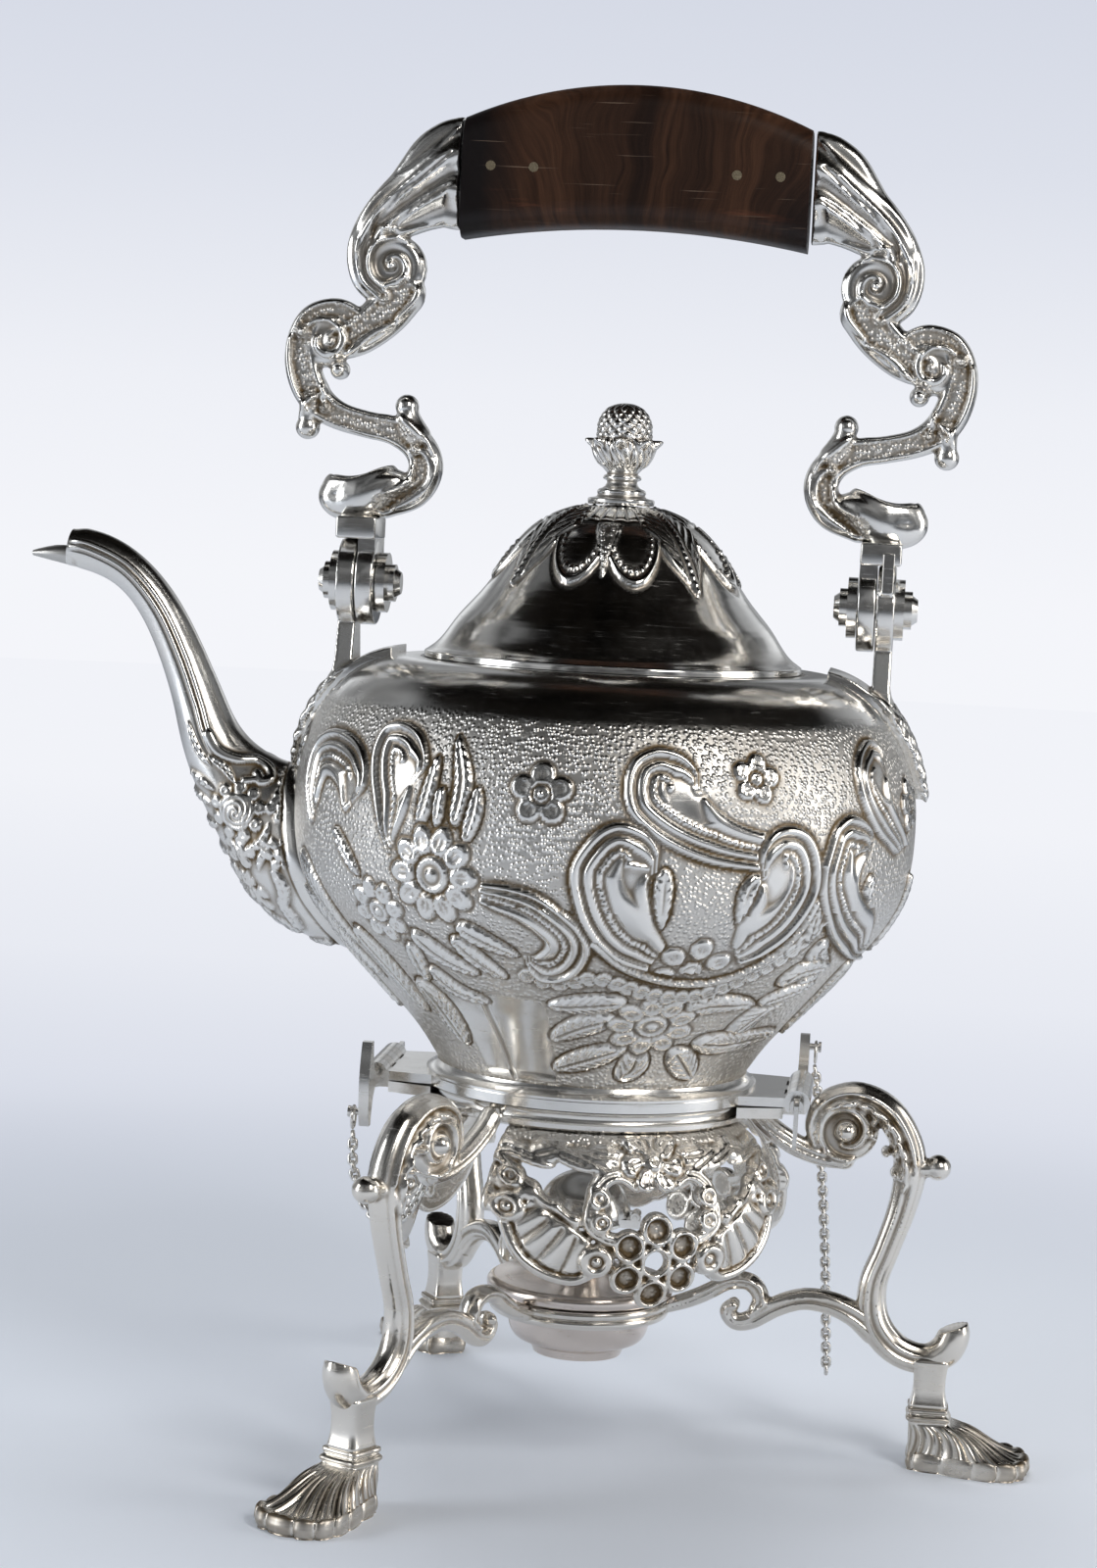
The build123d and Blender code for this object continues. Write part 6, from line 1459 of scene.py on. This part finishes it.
def turned(tree, vector, rotation, scale):
    return node(tree, "ShaderNodeMapping",
                {"Vector": vector, "Rotation": rotation, "Scale": scale}).outputs[0]


def bumped(tree, height, strength, distance, **under):
    return node(tree, "ShaderNodeBump",
                {"Height": height, "Strength": strength, "Distance": distance, **under}).outputs[0]


def ranged(tree, value, low, high, start=0, end=1, kind="SMOOTHSTEP"):
    """Value that runs from start to end while the given one runs from low to high."""
    return node(tree, "ShaderNodeMapRange",
                {"Value": value, "From Min": low, "From Max": high, "To Min": start, "To Max": end},
                interpolation_type=kind).outputs[0]


def painted(tree, name):
    return node(tree, "ShaderNodeAttribute", attribute_name=name).outputs["Fac"]


def wear_group():
    """Shared silver effects: hand polish, scratches, pebbled ground and tarnish in the hollows."""
    tree = bpy.data.node_groups.new("Silver Wear", "ShaderNodeTree")
    for name, kind, value in (
        ("Polish", "NodeSocketFloat", 0.14), ("Tarnish", "NodeSocketFloat", 0.5),
        ("Silver", "NodeSocketColor", (0.9, 0.88, 0.85, 1)),
        ("Stain", "NodeSocketColor", (0.30, 0.20, 0.09, 1)), ("Low Warmth", "NodeSocketFloat", 0.0),
    ):
        socket = tree.interface.new_socket(name=name, in_out="INPUT", socket_type=kind)
        socket.default_value = value
    for name, kind in (("Colour", "NodeSocketColor"), ("Roughness", "NodeSocketFloat"),
                       ("Normal", "NodeSocketVector")):
        tree.interface.new_socket(name=name, in_out="OUTPUT", socket_type=kind)
    given = tree.nodes.new("NodeGroupInput").outputs
    place = tree.nodes.new("ShaderNodeTexCoord").outputs["Object"]
    hollow = painted(tree, "hollow")
    crest = painted(tree, "crest")
    ground = painted(tree, "pebble")
    drift = noise(tree, place, 38, 4, 0.6)
    fine = noise(tree, place, 420, 3, 0.6)
    cells = node(tree, "ShaderNodeTexVoronoi",
                 {"Vector": place, "Scale": 760, "Randomness": 0.75}).outputs["Distance"]
    dots = ranged(tree, cells, 0.12, 0.62, 1, 0)
    # rubbing marks: long thin noise turned three ways
    marks = None
    for k, (turn, squash) in enumerate(((0.4, 60), (1.5, 75), (2.6, 50))):
        laid = turned(tree, place, (0.4 * k, turn, 0.3), (squash, squash, 900))
        streak = noise(tree, laid, 1.6, 2, 0.6)
        line = maths(tree, "SMOOTH_MAX", maths(tree, "SUBTRACT", streak, 0.63), 0.0, 0.01)
        marks = line if marks is None else maths(tree, "ADD", marks, line)
    dirt = maths(tree, "MULTIPLY", maths(tree, "MULTIPLY_ADD", drift, 1.2, 0.25, clamp=True),
                 maths(tree, "POWER", hollow, 0.8))
    pits = maths(tree, "MULTIPLY", maths(tree, "SUBTRACT", 1.0, dots), ground)
    dirt = maths(tree, "MULTIPLY_ADD", pits, 0.42, maths(tree, "MULTIPLY", dirt, 1.7))
    dirt = maths(tree, "MULTIPLY", dirt, given["Tarnish"], clamp=True)
    wash = maths(tree, "MULTIPLY", maths(tree, "MULTIPLY_ADD", drift, 2.0, -0.8, clamp=True),
                 maths(tree, "MULTIPLY", given["Tarnish"], 0.22))
    height = node(tree, "ShaderNodeSeparateXYZ", {"Vector": place}).outputs["Z"]
    low_down = maths(tree, "MULTIPLY", maths(tree, "MULTIPLY_ADD", height, -6.0, 0.95, clamp=True),
                     given["Low Warmth"])
    tint = maths(tree, "ADD", wash, maths(tree, "MULTIPLY", low_down, 0.5), clamp=True)
    colour = mix_colour(tree, tint, given["Silver"], (0.78, 0.60, 0.36, 1))
    colour = mix_colour(tree, dirt, colour, given["Stain"])
    rough = maths(tree, "MULTIPLY_ADD", maths(tree, "SUBTRACT", fine, 0.5), 0.10, given["Polish"])
    rough = maths(tree, "MULTIPLY_ADD", drift, 0.06, rough)
    rough = maths(tree, "MULTIPLY_ADD", marks, 0.9, rough)
    rough = maths(tree, "MULTIPLY_ADD", ground, 0.12, rough)
    rough = maths(tree, "MULTIPLY_ADD", dirt, 0.35, rough)
    rough = maths(tree, "MULTIPLY_ADD", crest, -0.04, rough)
    rough = maths(tree, "MAXIMUM", rough, 0.05)
    relief = maths(tree, "MULTIPLY", dots, ground)
    surface = bumped(tree, relief, 1.0, 0.0003)
    waves = noise(tree, place, 55, 2, 0.5)
    rubbed = maths(tree, "MULTIPLY_ADD", marks, -0.06, maths(tree, "MULTIPLY", waves, 0.55))
    surface = bumped(tree, rubbed, 0.5, 0.0007, Normal=surface)
    out = tree.nodes.new("NodeGroupOutput").inputs
    tree.links.new(colour, out["Colour"])
    tree.links.new(rough, out["Roughness"])
    tree.links.new(surface, out["Normal"])
    return tree


def material_of(name):
    """New material with its node tree and its surface node."""
    material = bpy.data.materials.new(name)
    material.use_nodes = True
    return material, material.node_tree, material.node_tree.nodes["Principled BSDF"]


def silver(name, polish, tarnish, tone, stain, warmth=0.0):
    material, tree, skin = material_of(name)
    skin.inputs["Metallic"].default_value = 1.0
    worn = tree.nodes.new("ShaderNodeGroup")
    worn.node_tree = bpy.data.node_groups.get("Silver Wear") or wear_group()
    for key, value in (("Polish", polish), ("Tarnish", tarnish), ("Silver", (*tone, 1)),
                       ("Stain", (*stain, 1)), ("Low Warmth", warmth)):
        worn.inputs[key].default_value = value
    for key, socket in (("Colour", "Base Color"), ("Roughness", "Roughness"), ("Normal", "Normal")):
        tree.links.new(worn.outputs[key], skin.inputs[socket])
    return material


def rosewood(name, dark, light):
    """Dark turned grip: upright curving grain, blackened ends, red streaks, fine scratches."""
    material, tree, skin = material_of(name)
    place = tree.nodes.new("ShaderNodeTexCoord").outputs["Object"]
    centred = node(tree, "ShaderNodeVectorMath", {0: place, 1: (-AXIS_X * 0.001, 0, -0.335)},
                   operation="ADD").outputs[0]
    split = node(tree, "ShaderNodeSeparateXYZ", {"Vector": centred}).outputs
    # grain lines fan out from a point under the grip
    lean = maths(tree, "DIVIDE", split["X"], maths(tree, "ADD", split["Z"], 0.115))
    sway = noise(tree, centred, 26, 2)
    line = maths(tree, "MULTIPLY_ADD", sway, 0.22, lean)
    spread = node(tree, "ShaderNodeCombineXYZ",
                  {"X": maths(tree, "MULTIPLY", line, 26.0),
                   "Y": maths(tree, "MULTIPLY", split["Y"], 40.0),
                   "Z": maths(tree, "MULTIPLY", split["Z"], 9.0)}).outputs[0]
    grain = noise(tree, spread, 2.4, 8, 0.68)
    wide = noise(tree, spread, 0.55, 3)
    body = ramp(tree, grain, ((0.28, (*dark, 1)),
                              (0.5, tuple(0.5 * (a + b) for a, b in zip(dark, light)) + (1,)),
                              (0.72, (*light, 1))))
    body = mix_colour(tree, maths(tree, "MULTIPLY_ADD", wide, 2.2, -0.75, clamp=True), body,
                      (dark[0] * 0.8, dark[1] * 0.8, dark[2] * 0.8, 1))
    left = maths(tree, "MULTIPLY_ADD", split["X"], -85.0, -2.65, clamp=True)
    right = maths(tree, "MULTIPLY", maths(tree, "MULTIPLY_ADD", split["X"], 90.0, -2.9, clamp=True),
                  maths(tree, "MULTIPLY_ADD", split["Z"], -40.0, 1.5, clamp=True))
    burnt = maths(tree, "MAXIMUM", left, maths(tree, "MULTIPLY", right, 0.85))
    streaks = noise(tree, turned(tree, centred, (0, 0.5, 0), (14, 60, 120)), 1.4, 5, 0.7)
    red = maths(tree, "MULTIPLY", maths(tree, "MULTIPLY_ADD", streaks, 7.0, -4.0, clamp=True),
                maths(tree, "MULTIPLY_ADD", split["Z"], -60.0, 1.35, clamp=True))
    body = mix_colour(tree, maths(tree, "MULTIPLY", red, 0.6), body, (0.28, 0.095, 0.05, 1))
    body = mix_colour(tree, burnt, body, (0.006, 0.004, 0.004, 1))
    scratch = noise(tree, turned(tree, centred, (0.2, 0.9, 0.1), (30, 30, 1400)), 1.2, 2)
    scratch = maths(tree, "MULTIPLY_ADD", scratch, 16.0, -11.0, clamp=True)
    body = mix_colour(tree, maths(tree, "MULTIPLY", scratch, 0.35), body, (0.34, 0.24, 0.17, 1))
    tree.links.new(body, skin.inputs["Base Color"])
    rough = maths(tree, "MULTIPLY_ADD", grain, 0.22, 0.3)
    tree.links.new(maths(tree, "MULTIPLY_ADD", scratch, 0.2, rough), skin.inputs["Roughness"])
    skin.inputs["Specular IOR Level"].default_value = 0.22
    skin.inputs["Coat Weight"].default_value = 0.03
    skin.inputs["Coat Roughness"].default_value = 0.28
    relief = maths(tree, "MULTIPLY_ADD", scratch, -0.4, grain)
    tree.links.new(bumped(tree, relief, 0.35, 0.0003), skin.inputs["Normal"])
    return material


def cotton(name):
    material, tree, skin = material_of(name)
    place = tree.nodes.new("ShaderNodeTexCoord").outputs["Object"]
    weave = node(tree, "ShaderNodeTexWave",
                 {"Vector": place, "Scale": 900, "Distortion": 3, "Detail": 2}).outputs["Fac"]
    burnt = node(tree, "ShaderNodeSeparateXYZ", {"Vector": place}).outputs["Z"]
    burnt = maths(tree, "MULTIPLY_ADD", burnt, 500.0, -31.5, clamp=True)
    colour = mix_colour(tree, burnt,
                        ramp(tree, weave, ((0.2, (0.32, 0.28, 0.22, 1)), (0.8, (0.72, 0.68, 0.58, 1)))),
                        (0.02, 0.018, 0.016, 1))
    tree.links.new(colour, skin.inputs["Base Color"])
    skin.inputs["Roughness"].default_value = 0.9
    tree.links.new(bumped(tree, weave, 0.6, 0.0002), skin.inputs["Normal"])
    return material


# Shares of the chosen polish roughness, tarnish and silver tone; warmth low down.
SILVERS = {
    "chased silver": (1, 1, (1, 1, 1), 0.5), "lid silver": (0.7, 0.8, (1, 1, 1), 0.0),
    "cast silver": (1.05, 1.25, (1, 1, 1), 0.0), "stand silver": (1.15, 1.5, (0.97, 0.97, 0.97), 0.35),
    "plain silver": (1, 0.8, (1, 1, 1), 0.0), "pin silver": (1.3, 1, (0.95, 0.95, 0.95), 0.0),
    "lamp silver": (1.2, 0.9, (0.94, 0.86, 0.82), 0.0), "snuffer silver": (0.9, 0.7, (0.8, 0.8, 0.8), 0.0),
    "inner silver": (2.4, 1, (0.7, 0.7, 0.7), 0.0),
}
FINISHES = (*SILVERS, "brass rivets", "grip wood", "wick cotton")


def finish_of(key):
    """Material by its plain name, made once."""
    made = bpy.data.materials.get(key)
    if made:
        return made
    look = bpy.context.scene.kettle_finish
    if key == "grip wood":
        return rosewood(key, tuple(look.wood_dark), tuple(look.wood_light))
    if key == "wick cotton":
        return cotton(key)
    if key == "brass rivets":
        return silver(key, 0.24, 0.4, (0.75, 0.62, 0.42), (0.2, 0.12, 0.05))
    polish, tarnish, tones, warmth = SILVERS[key]
    return silver(key, look.polish_roughness * polish, look.tarnish_amount * tarnish,
                  tuple(c * share for c, share in zip(look.silver_tone, tones)), look.tarnish_tone, warmth)


def dress(thing, key):
    thing.data.materials.clear()
    thing.data.materials.append(finish_of(key))


def dress_nodes(names, key):
    for name in names:
        for slot in frame["nodes"][name].material_slots:
            slot.material = finish_of(key)


# ------------------------------------------------------------------ sizes and colours a maker would change
def colour_property(name, description, default):
    return bpy.props.FloatVectorProperty(name=name, description=description, subtype="COLOR", size=3,
                                         min=0, max=1, default=default)


class KettleFinish(bpy.types.PropertyGroup):
    silver_tone: colour_property("Silver", "Colour of the clean silver", (0.80, 0.785, 0.755))
    tarnish_tone: colour_property("Tarnish", "Colour gathered in the hollows", (0.16, 0.115, 0.065))
    tarnish_amount: bpy.props.FloatProperty(
        name="Tarnish amount", description="How much of the hollows is stained", min=0, max=1, default=0.6)
    polish_roughness: bpy.props.FloatProperty(
        name="Polish", description="Roughness of the polished silver", min=0.03, max=0.6, default=0.15)
    wood_dark: colour_property("Wood, dark", "Dark grain of the grip", (0.010, 0.0045, 0.003))
    wood_light: colour_property("Wood, light", "Light grain of the grip", (0.088, 0.038, 0.019))


class KettleSizes(bpy.types.PropertyGroup):
    panel_pitch: bpy.props.FloatProperty(
        name="Chasing pitch", description="Spacing of the body's front panels in mm", min=0.3, max=3,
        default=0.5)
    link_pitch: bpy.props.FloatProperty(
        name="Link pitch", description="Spacing of the chain links in mm", min=1.5, max=6, default=2.1)


class KettleStage(bpy.types.PropertyGroup):
    backdrop: colour_property("Backdrop", "Pale background", (0.905, 0.915, 0.955))
    key_power: bpy.props.FloatProperty(
        name="Key light", description="Power of the front softbox", subtype="POWER", min=0, default=5.0)
    fill_strength: bpy.props.FloatProperty(
        name="Room light", description="Brightness of the pale surroundings", min=0, default=0.7)


# ------------------------------------------------------------------ operators, one for each group of pieces
class KETTLE_OT_body(bpy.types.Operator):
    """Lay the chased silver skin over the kettle's body"""
    bl_idname = "kettle.body"
    bl_label = "Chased Body"

    def execute(self, context):
        pitch = context.scene.kettle_sizes.panel_pitch
        for name, turns, levels, spacing in (
            ("kettle_front_low", (-90, 90), (BODY_FOOT, PANEL_JOIN), pitch),
            ("kettle_front_high", (-90, 90), (PANEL_JOIN, NECK_JOIN), pitch),
            ("kettle_back_low", (90, 270), (BODY_FOOT, PANEL_JOIN), pitch * 1.5),
            ("kettle_back_high", (90, 270), (PANEL_JOIN, NECK_JOIN), pitch * 1.5),
            ("kettle_shoulder", (-180, 180), (NECK_JOIN, BODY_TOP), pitch * 2),
        ):
            thing = body_skin(name, *turns, *levels, spacing)
            dress(thing, "chased silver")
            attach(thing, "kettle")
        dress_nodes(["kettle_body"], "inner silver")
        dress_nodes(["foot_moulding", "base_plate"], "plain silver")
        return {"FINISHED"}


class KETTLE_OT_lid(bpy.types.Operator):
    """Make the lid's leafed crown and its bud, and dress the lid and its hinge"""
    bl_idname = "kettle.lid"
    bl_label = "Lid and Finial"

    def execute(self, context):
        skin = lid_skin()
        dress(skin, "lid silver")
        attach(skin, "lid")
        bud = finial_piece()
        dress(bud, "cast silver")
        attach(bud, "lid")
        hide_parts("lid_finial")
        dress_nodes(["lid", "lid_bezel", "finial_nut", "lid_hinge_leaf"], "lid silver")
        dress_nodes(["lid_hinge_base", "lid_hinge_pin"], "plain silver")
        return {"FINISHED"}


class KETTLE_OT_spout(bpy.types.Operator):
    """Lay the cast skin over the spout"""
    bl_idname = "kettle.spout"
    bl_label = "Cast Spout"

    def execute(self, context):
        skin = spout_skin()
        dress(skin, "cast silver")
        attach(skin, "kettle")
        dress_nodes(["spout"], "inner silver")
        return {"FINISHED"}


class KETTLE_OT_bail(bpy.types.Operator):
    """Make the two scroll arms and the ears they swing on, and dress the grip"""
    bl_idname = "kettle.bail"
    bl_label = "Bail Arms and Grip"

    def execute(self, context):
        for side, end in ((-1, "front"), (1, "rear")):
            lump, fittings = bail_arm(end + "_scroll_arm", side)
            dress(lump, "cast silver")
            dress(fittings, "plain silver")
            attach(lump, "bail")
            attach(fittings, "bail")
            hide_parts(end + "_bail_arm")
            ear = ear_piece(end + "_leaf_ear", end + "_ear", side)
            dress(ear, "cast silver")
            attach(ear, "kettle")
            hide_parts(end + "_ear")
            dress_nodes([end + "_pivot_pin", end + "_pivot_washers"], "plain silver")
        dress_nodes(["bail_grip"], "grip wood")
        dress_nodes(["grip_pins"], "brass rivets")
        return {"FINISHED"}


class KETTLE_OT_stand(bpy.types.Operator):
    """Make the stand's scroll legs, lamp brackets and splayed feet"""
    bl_idname = "kettle.stand"
    bl_label = "Legs and Feet"

    def execute(self, context):
        leg_field, bracket_field = leg_casting(), bracket_casting()
        for end, angle in (("rear", 0), ("far", 120), ("near", 240)):
            leg = leg_field.skin(end + "_scroll_leg", radial(angle))
            mark_hollows(leg, 12, 0.5)
            block = ankle_piece(end + "_square_ankle", angle)
            bracket = bracket_field.skin(end + "_hook_bracket", radial(angle))
            mark_hollows(bracket, 10, 0.4)
            foot = foot_piece(end + "_shell_foot", angle)
            for thing in (leg, block, bracket, foot):
                dress(thing, "stand silver")
                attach(thing, "stand")
            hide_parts(end + "_leg")
            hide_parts(end + "_lamp_bracket")
            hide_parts(end + "_foot")
        dress_nodes(["stand_ring", "lamp_ring"], "stand silver")
        return {"FINISHED"}


class KETTLE_OT_aprons(bpy.types.Operator):
    """Make the three pierced aprons between the legs"""
    bl_idname = "kettle.aprons"
    bl_label = "Pierced Aprons"

    def execute(self, context):
        field = apron_casting()
        for end, angle in (("far", 55.6), ("front", 175.6), ("near", 295.6)):
            thing = apron_piece(end + "_pierced_apron", angle, field)
            dress(thing, "stand silver")
            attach(thing, "stand")
            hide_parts(end + "_apron")
        return {"FINISHED"}


class KETTLE_OT_chains(bpy.types.Operator):
    """Make both pin chains and dress the pins, toggles and rings"""
    bl_idname = "kettle.chains"
    bl_label = "Chains and Pins"

    def execute(self, context):
        pitch = context.scene.kettle_sizes.link_pitch
        rear = chain_piece("rear_link_chain",
                           ((62.77, 32.6, 106.9), (64.4, 32, 96), (68.6, 30.2, 56), (71.3, 28.2, 17.4)),
                           pitch)
        front = chain_piece("front_link_chain",
                            ((-62.77, -32.6, 90.5), (-61.5, -35, 80), (-56, -38, 69.5), (-47, -43, 69),
                             (-40, -46, 80), (-34.8, -40.4, 93.0)), pitch)
        for thing, body, old in ((rear, "rear_pin", "rear_chain"), (front, "stand", "front_chain")):
            dress(thing, "pin silver")
            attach(thing, body)
            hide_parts(old)
        dress_nodes(["chain_anchor", "chain_anchor_ring"], "pin silver")
        for end in ("front", "rear"):
            dress_nodes([end + part for part in ("_hinge_pin", "_pin_stud", "_pin_ring", "_toggle")],
                        "pin silver")
        return {"FINISHED"}


class KETTLE_OT_lamp(bpy.types.Operator):
    """Dress the spirit lamp, its wick and its snuffer"""
    bl_idname = "kettle.lamp"
    bl_label = "Spirit Lamp"

    def execute(self, context):
        dress_nodes(["lamp_reservoir"], "lamp silver")
        dress_nodes(["burner_collar", "wick_tube", "snuffer_bracket", "snuffer_hinge_pin"], "plain silver")
        dress_nodes(["wick"], "wick cotton")
        dress_nodes(["snuffer"], "snuffer silver")
        return {"FINISHED"}


# ------------------------------------------------------------------ stage
def area_light(name, size, place, aim, power, colour):
    data = bpy.data.lights.new(name, "AREA")
    data.shape = "RECTANGLE"
    data.size, data.size_y = size
    data.energy = power
    data.color = colour
    lamp = new_object(name, data)
    lamp.location = place
    lamp.rotation_euler = (Vector(aim) - Vector(place)).to_track_quat("-Z", "Y").to_euler()
    return lamp


def room(stage):
    """Pale surroundings with a dark ceiling in front, which polished silver shows as its dark bands."""
    world_data = bpy.context.scene.world or bpy.data.worlds.new("Room")
    bpy.context.scene.world = world_data
    world_data.use_nodes = True
    tree = world_data.node_tree
    tree.nodes.clear()
    out = tree.nodes.new("ShaderNodeOutputWorld")
    look = tree.nodes.new("ShaderNodeTexCoord").outputs["Generated"]
    split = node(tree, "ShaderNodeSeparateXYZ", {"Vector": look}).outputs

    def towards(way, outer, inner):
        aim = tuple(Vector(way).normalized())
        facing = node(tree, "ShaderNodeVectorMath", {0: look, 1: aim},
                      operation="DOT_PRODUCT").outputs["Value"]
        return ranged(tree, facing, cos(radians(outer)), cos(radians(inner)))

    height = ramp(tree, maths(tree, "MULTIPLY_ADD", split["Z"], 0.5, 0.5), [
        (place, (grey, grey, grey, 1)) for place, grey in (
            (0.4, 0.22), (0.5, 0.75), (0.6, 0.95), (0.72, 0.42), (0.86, 0.3), (1, 0.24))])
    streak = noise(tree, turned(tree, look, (0, 0, 0), (4.2, 4.2, 0.8)), 1.0, 2, 0.55)
    uneven = ranged(tree, streak, 0.40, 0.58, 0.22, 1.1, "LINEAR")
    back = ranged(tree, split["Y"], -0.2, 0.8, 0.75, 1.35, "LINEAR")
    bright = maths(tree, "MULTIPLY", maths(tree, "MULTIPLY", height, back), uneven)
    dark = maths(tree, "MAXIMUM", towards((0.08, 0.14, 1.0), 51, 42),
                 maths(tree, "MULTIPLY", towards((0.0, -1.0, 0.10), 24, 10), 0.75))
    seen = mix_colour(tree, dark, (0.93, 0.96, 1.0, 1), (0.03, 0.025, 0.02, 1))
    lit = node(tree, "ShaderNodeBackground",
               {"Color": seen, "Strength": maths(tree, "MULTIPLY", bright, stage.fill_strength)}).outputs[0]
    # the backdrop that the camera sees carries painted shade: lightest just below the horizon, greyer and
    # bluer higher up and a little greyer lower down
    paper = ramp(tree, maths(tree, "MULTIPLY_ADD", split["Z"], 1.0, 0.5), backdrop_stops(stage, (
        (0.34, 0.965), (0.42, 1), (0.475, 1), (0.53, 0.955), (0.6, 0.83), (0.66, 0.765))))
    plain = node(tree, "ShaderNodeBackground", {"Color": paper, "Strength": 1.0}).outputs[0]
    ray = tree.nodes.new("ShaderNodeLightPath").outputs["Is Camera Ray"]
    both = node(tree, "ShaderNodeMixShader", {0: ray, 1: lit, 2: plain}).outputs[0]
    tree.links.new(both, out.inputs["Surface"])


def backdrop_stops(stage, stops):
    """Backdrop colours at each position, from its shade there."""
    tint = (0.980, 0.993, 1.022)
    return tuple(
        (place, (*[min(1.0, c * shade * (1 + (t - 1) * (1 - shade) * 12))
                   for c, t in zip(stage.backdrop, tint)], 1))
        for place, shade in stops)


def floor_piece(stage):
    """Pale paper: lit round the feet; further off it glows with painted light and shade, darkest just
    behind the kettle and lightest far behind it.
    """
    clear_selection()
    bpy.ops.mesh.primitive_circle_add(vertices=128, radius=4.0, fill_type="TRIFAN",
                                      location=(AXIS_X / 1000, 0, 0))
    floor = bpy.context.object
    floor.name = "stage_floor"
    material, tree, skin = material_of("stage paper with painted light")
    skin.inputs["Base Color"].default_value = (0.85, 0.905, 1.0, 1)
    skin.inputs["Roughness"].default_value = 0.75
    skin.inputs["Specular IOR Level"].default_value = 0.15
    place = tree.nodes.new("ShaderNodeTexCoord").outputs["Object"]
    split = node(tree, "ShaderNodeSeparateXYZ", {"Vector": place}).outputs
    away = node(tree, "ShaderNodeVectorMath", {0: place}, operation="LENGTH").outputs["Value"]
    fade = ranged(tree, away, 0.20, 0.62)
    # painted light and shade on the far floor, shown as a glow that changes from front to back
    tone = ramp(tree, maths(tree, "MULTIPLY_ADD", split["Y"], 0.4, 0.1), backdrop_stops(stage, (
        (0.05, 0.8), (0.1, 0.74), (0.155, 0.7), (0.214, 0.73), (0.29, 0.81), (0.47, 0.91),
        (0.72, 0.955), (0.9, 0.98))))
    painted_floor_light = node(tree, "ShaderNodeEmission", {"Color": tone, "Strength": 1.0}).outputs[0]
    both = node(tree, "ShaderNodeMixShader", {
        0: maths(tree, "MULTIPLY", fade, tree.nodes.new("ShaderNodeLightPath").outputs["Is Camera Ray"]),
        1: skin.outputs[0], 2: painted_floor_light}).outputs[0]
    tree.links.new(both, tree.nodes["Material Output"].inputs["Surface"])
    floor.data.materials.clear()
    floor.data.materials.append(material)
    return floor


def camera_piece():
    """Long lens, a little above the kettle and turned six degrees to its right."""
    az, el, roll = radians(6.02), radians(4.84), radians(2.91)
    right = Vector((cos(az), sin(az), 0))
    back = Vector((sin(az) * cos(el), -cos(az) * cos(el), sin(el)))
    up = back.cross(right)
    across = cos(roll) * right + sin(roll) * up
    over = -sin(roll) * right + cos(roll) * up
    data = bpy.data.cameras.new("Front Camera")
    data.sensor_fit = "HORIZONTAL"
    data.sensor_width = 36
    data.lens = 110.72
    data.clip_start, data.clip_end = 0.05, 20
    camera = new_object("Front Camera", data)
    place = Vector(((AXIS_X + 83.67) / 1000, -0.94941, 0.26905))
    camera.matrix_world = Matrix((
        (across.x, over.x, back.x, place.x), (across.y, over.y, back.y, place.y),
        (across.z, over.z, back.z, place.z), (0, 0, 0, 1)))
    bpy.context.scene.camera = camera
    return camera


class KETTLE_OT_stage(bpy.types.Operator):
    """Set the pale floor, the soft lights and the camera"""
    bl_idname = "kettle.stage"
    bl_label = "Stage"

    def execute(self, context):
        stage = context.scene.kettle_stage
        x = AXIS_X / 1000
        lamps = [area_light(name, size, place, (x, 0, 0.18), stage.key_power * share, colour)
                 for name, size, place, share, colour in (
                     ("Front Softbox", (0.34, 0.5), (x + 0.62, -0.75, 0.85), 1, (1.0, 0.98, 0.95)),
                     ("Left Panel", (0.5, 0.9), (x - 1.15, -0.45, 0.45), 1.1, (0.93, 0.96, 1.0)),
                     ("Right Panel", (0.5, 0.9), (x + 1.2, -0.1, 0.4), 0.9, (1.0, 0.97, 0.93)),
                     ("Overhead", (0.9, 0.7), (x - 0.1, 0.45, 1.35), 1.6, (1.0, 1.0, 1.0)))]
        lamps[-1].visible_glossy = False  # the overhead light is for the floor alone
        things = [floor_piece(stage), *lamps, camera_piece()]
        room(stage)
        scene = context.scene
        scene.view_settings.view_transform = "Standard"
        scene.view_settings.look = "None"
        return {"FINISHED"}


class KETTLE_PT_panel(bpy.types.Panel):
    """Sizes, finishes and the making steps"""
    bl_idname = "KETTLE_PT_panel"
    bl_label = "Kettle"
    bl_space_type = "VIEW_3D"
    bl_region_type = "UI"
    bl_category = "Kettle"

    def draw(self, context):
        layout = self.layout
        scene = context.scene
        for label, group in (("Finish", scene.kettle_finish), ("Sizes", scene.kettle_sizes),
                             ("Stage", scene.kettle_stage)):
            box = layout.box()
            box.label(text=label)
            for key in type(group).__annotations__:
                box.prop(group, key)
        for kind in STEPS:
            layout.operator(kind.bl_idname)


STEPS = (KETTLE_OT_body, KETTLE_OT_lid, KETTLE_OT_spout, KETTLE_OT_bail, KETTLE_OT_stand, KETTLE_OT_aprons,
         KETTLE_OT_chains, KETTLE_OT_lamp, KETTLE_OT_stage)
GROUPS = (KettleFinish, KettleSizes, KettleStage)


def register():
    for kind in (*GROUPS, *STEPS, KETTLE_PT_panel):
        bpy.utils.register_class(kind)
    bpy.types.Scene.kettle_finish = bpy.props.PointerProperty(type=KettleFinish)
    bpy.types.Scene.kettle_sizes = bpy.props.PointerProperty(type=KettleSizes)
    bpy.types.Scene.kettle_stage = bpy.props.PointerProperty(type=KettleStage)


def unregister():
    del bpy.types.Scene.kettle_finish, bpy.types.Scene.kettle_sizes, bpy.types.Scene.kettle_stage
    for kind in reversed((*GROUPS, *STEPS, KETTLE_PT_panel)):
        bpy.utils.unregister_class(kind)


def main():
    register()
    for kind in STEPS:
        group, step = kind.bl_idname.split(".")
        getattr(getattr(bpy.ops, group), step)()
    for thing in frame["nodes"].values():
        for slot in thing.material_slots:
            if slot.material is None or slot.material.name not in FINISHES:
                slot.material = finish_of("plain silver")


if __name__ == "__main__":
    main()
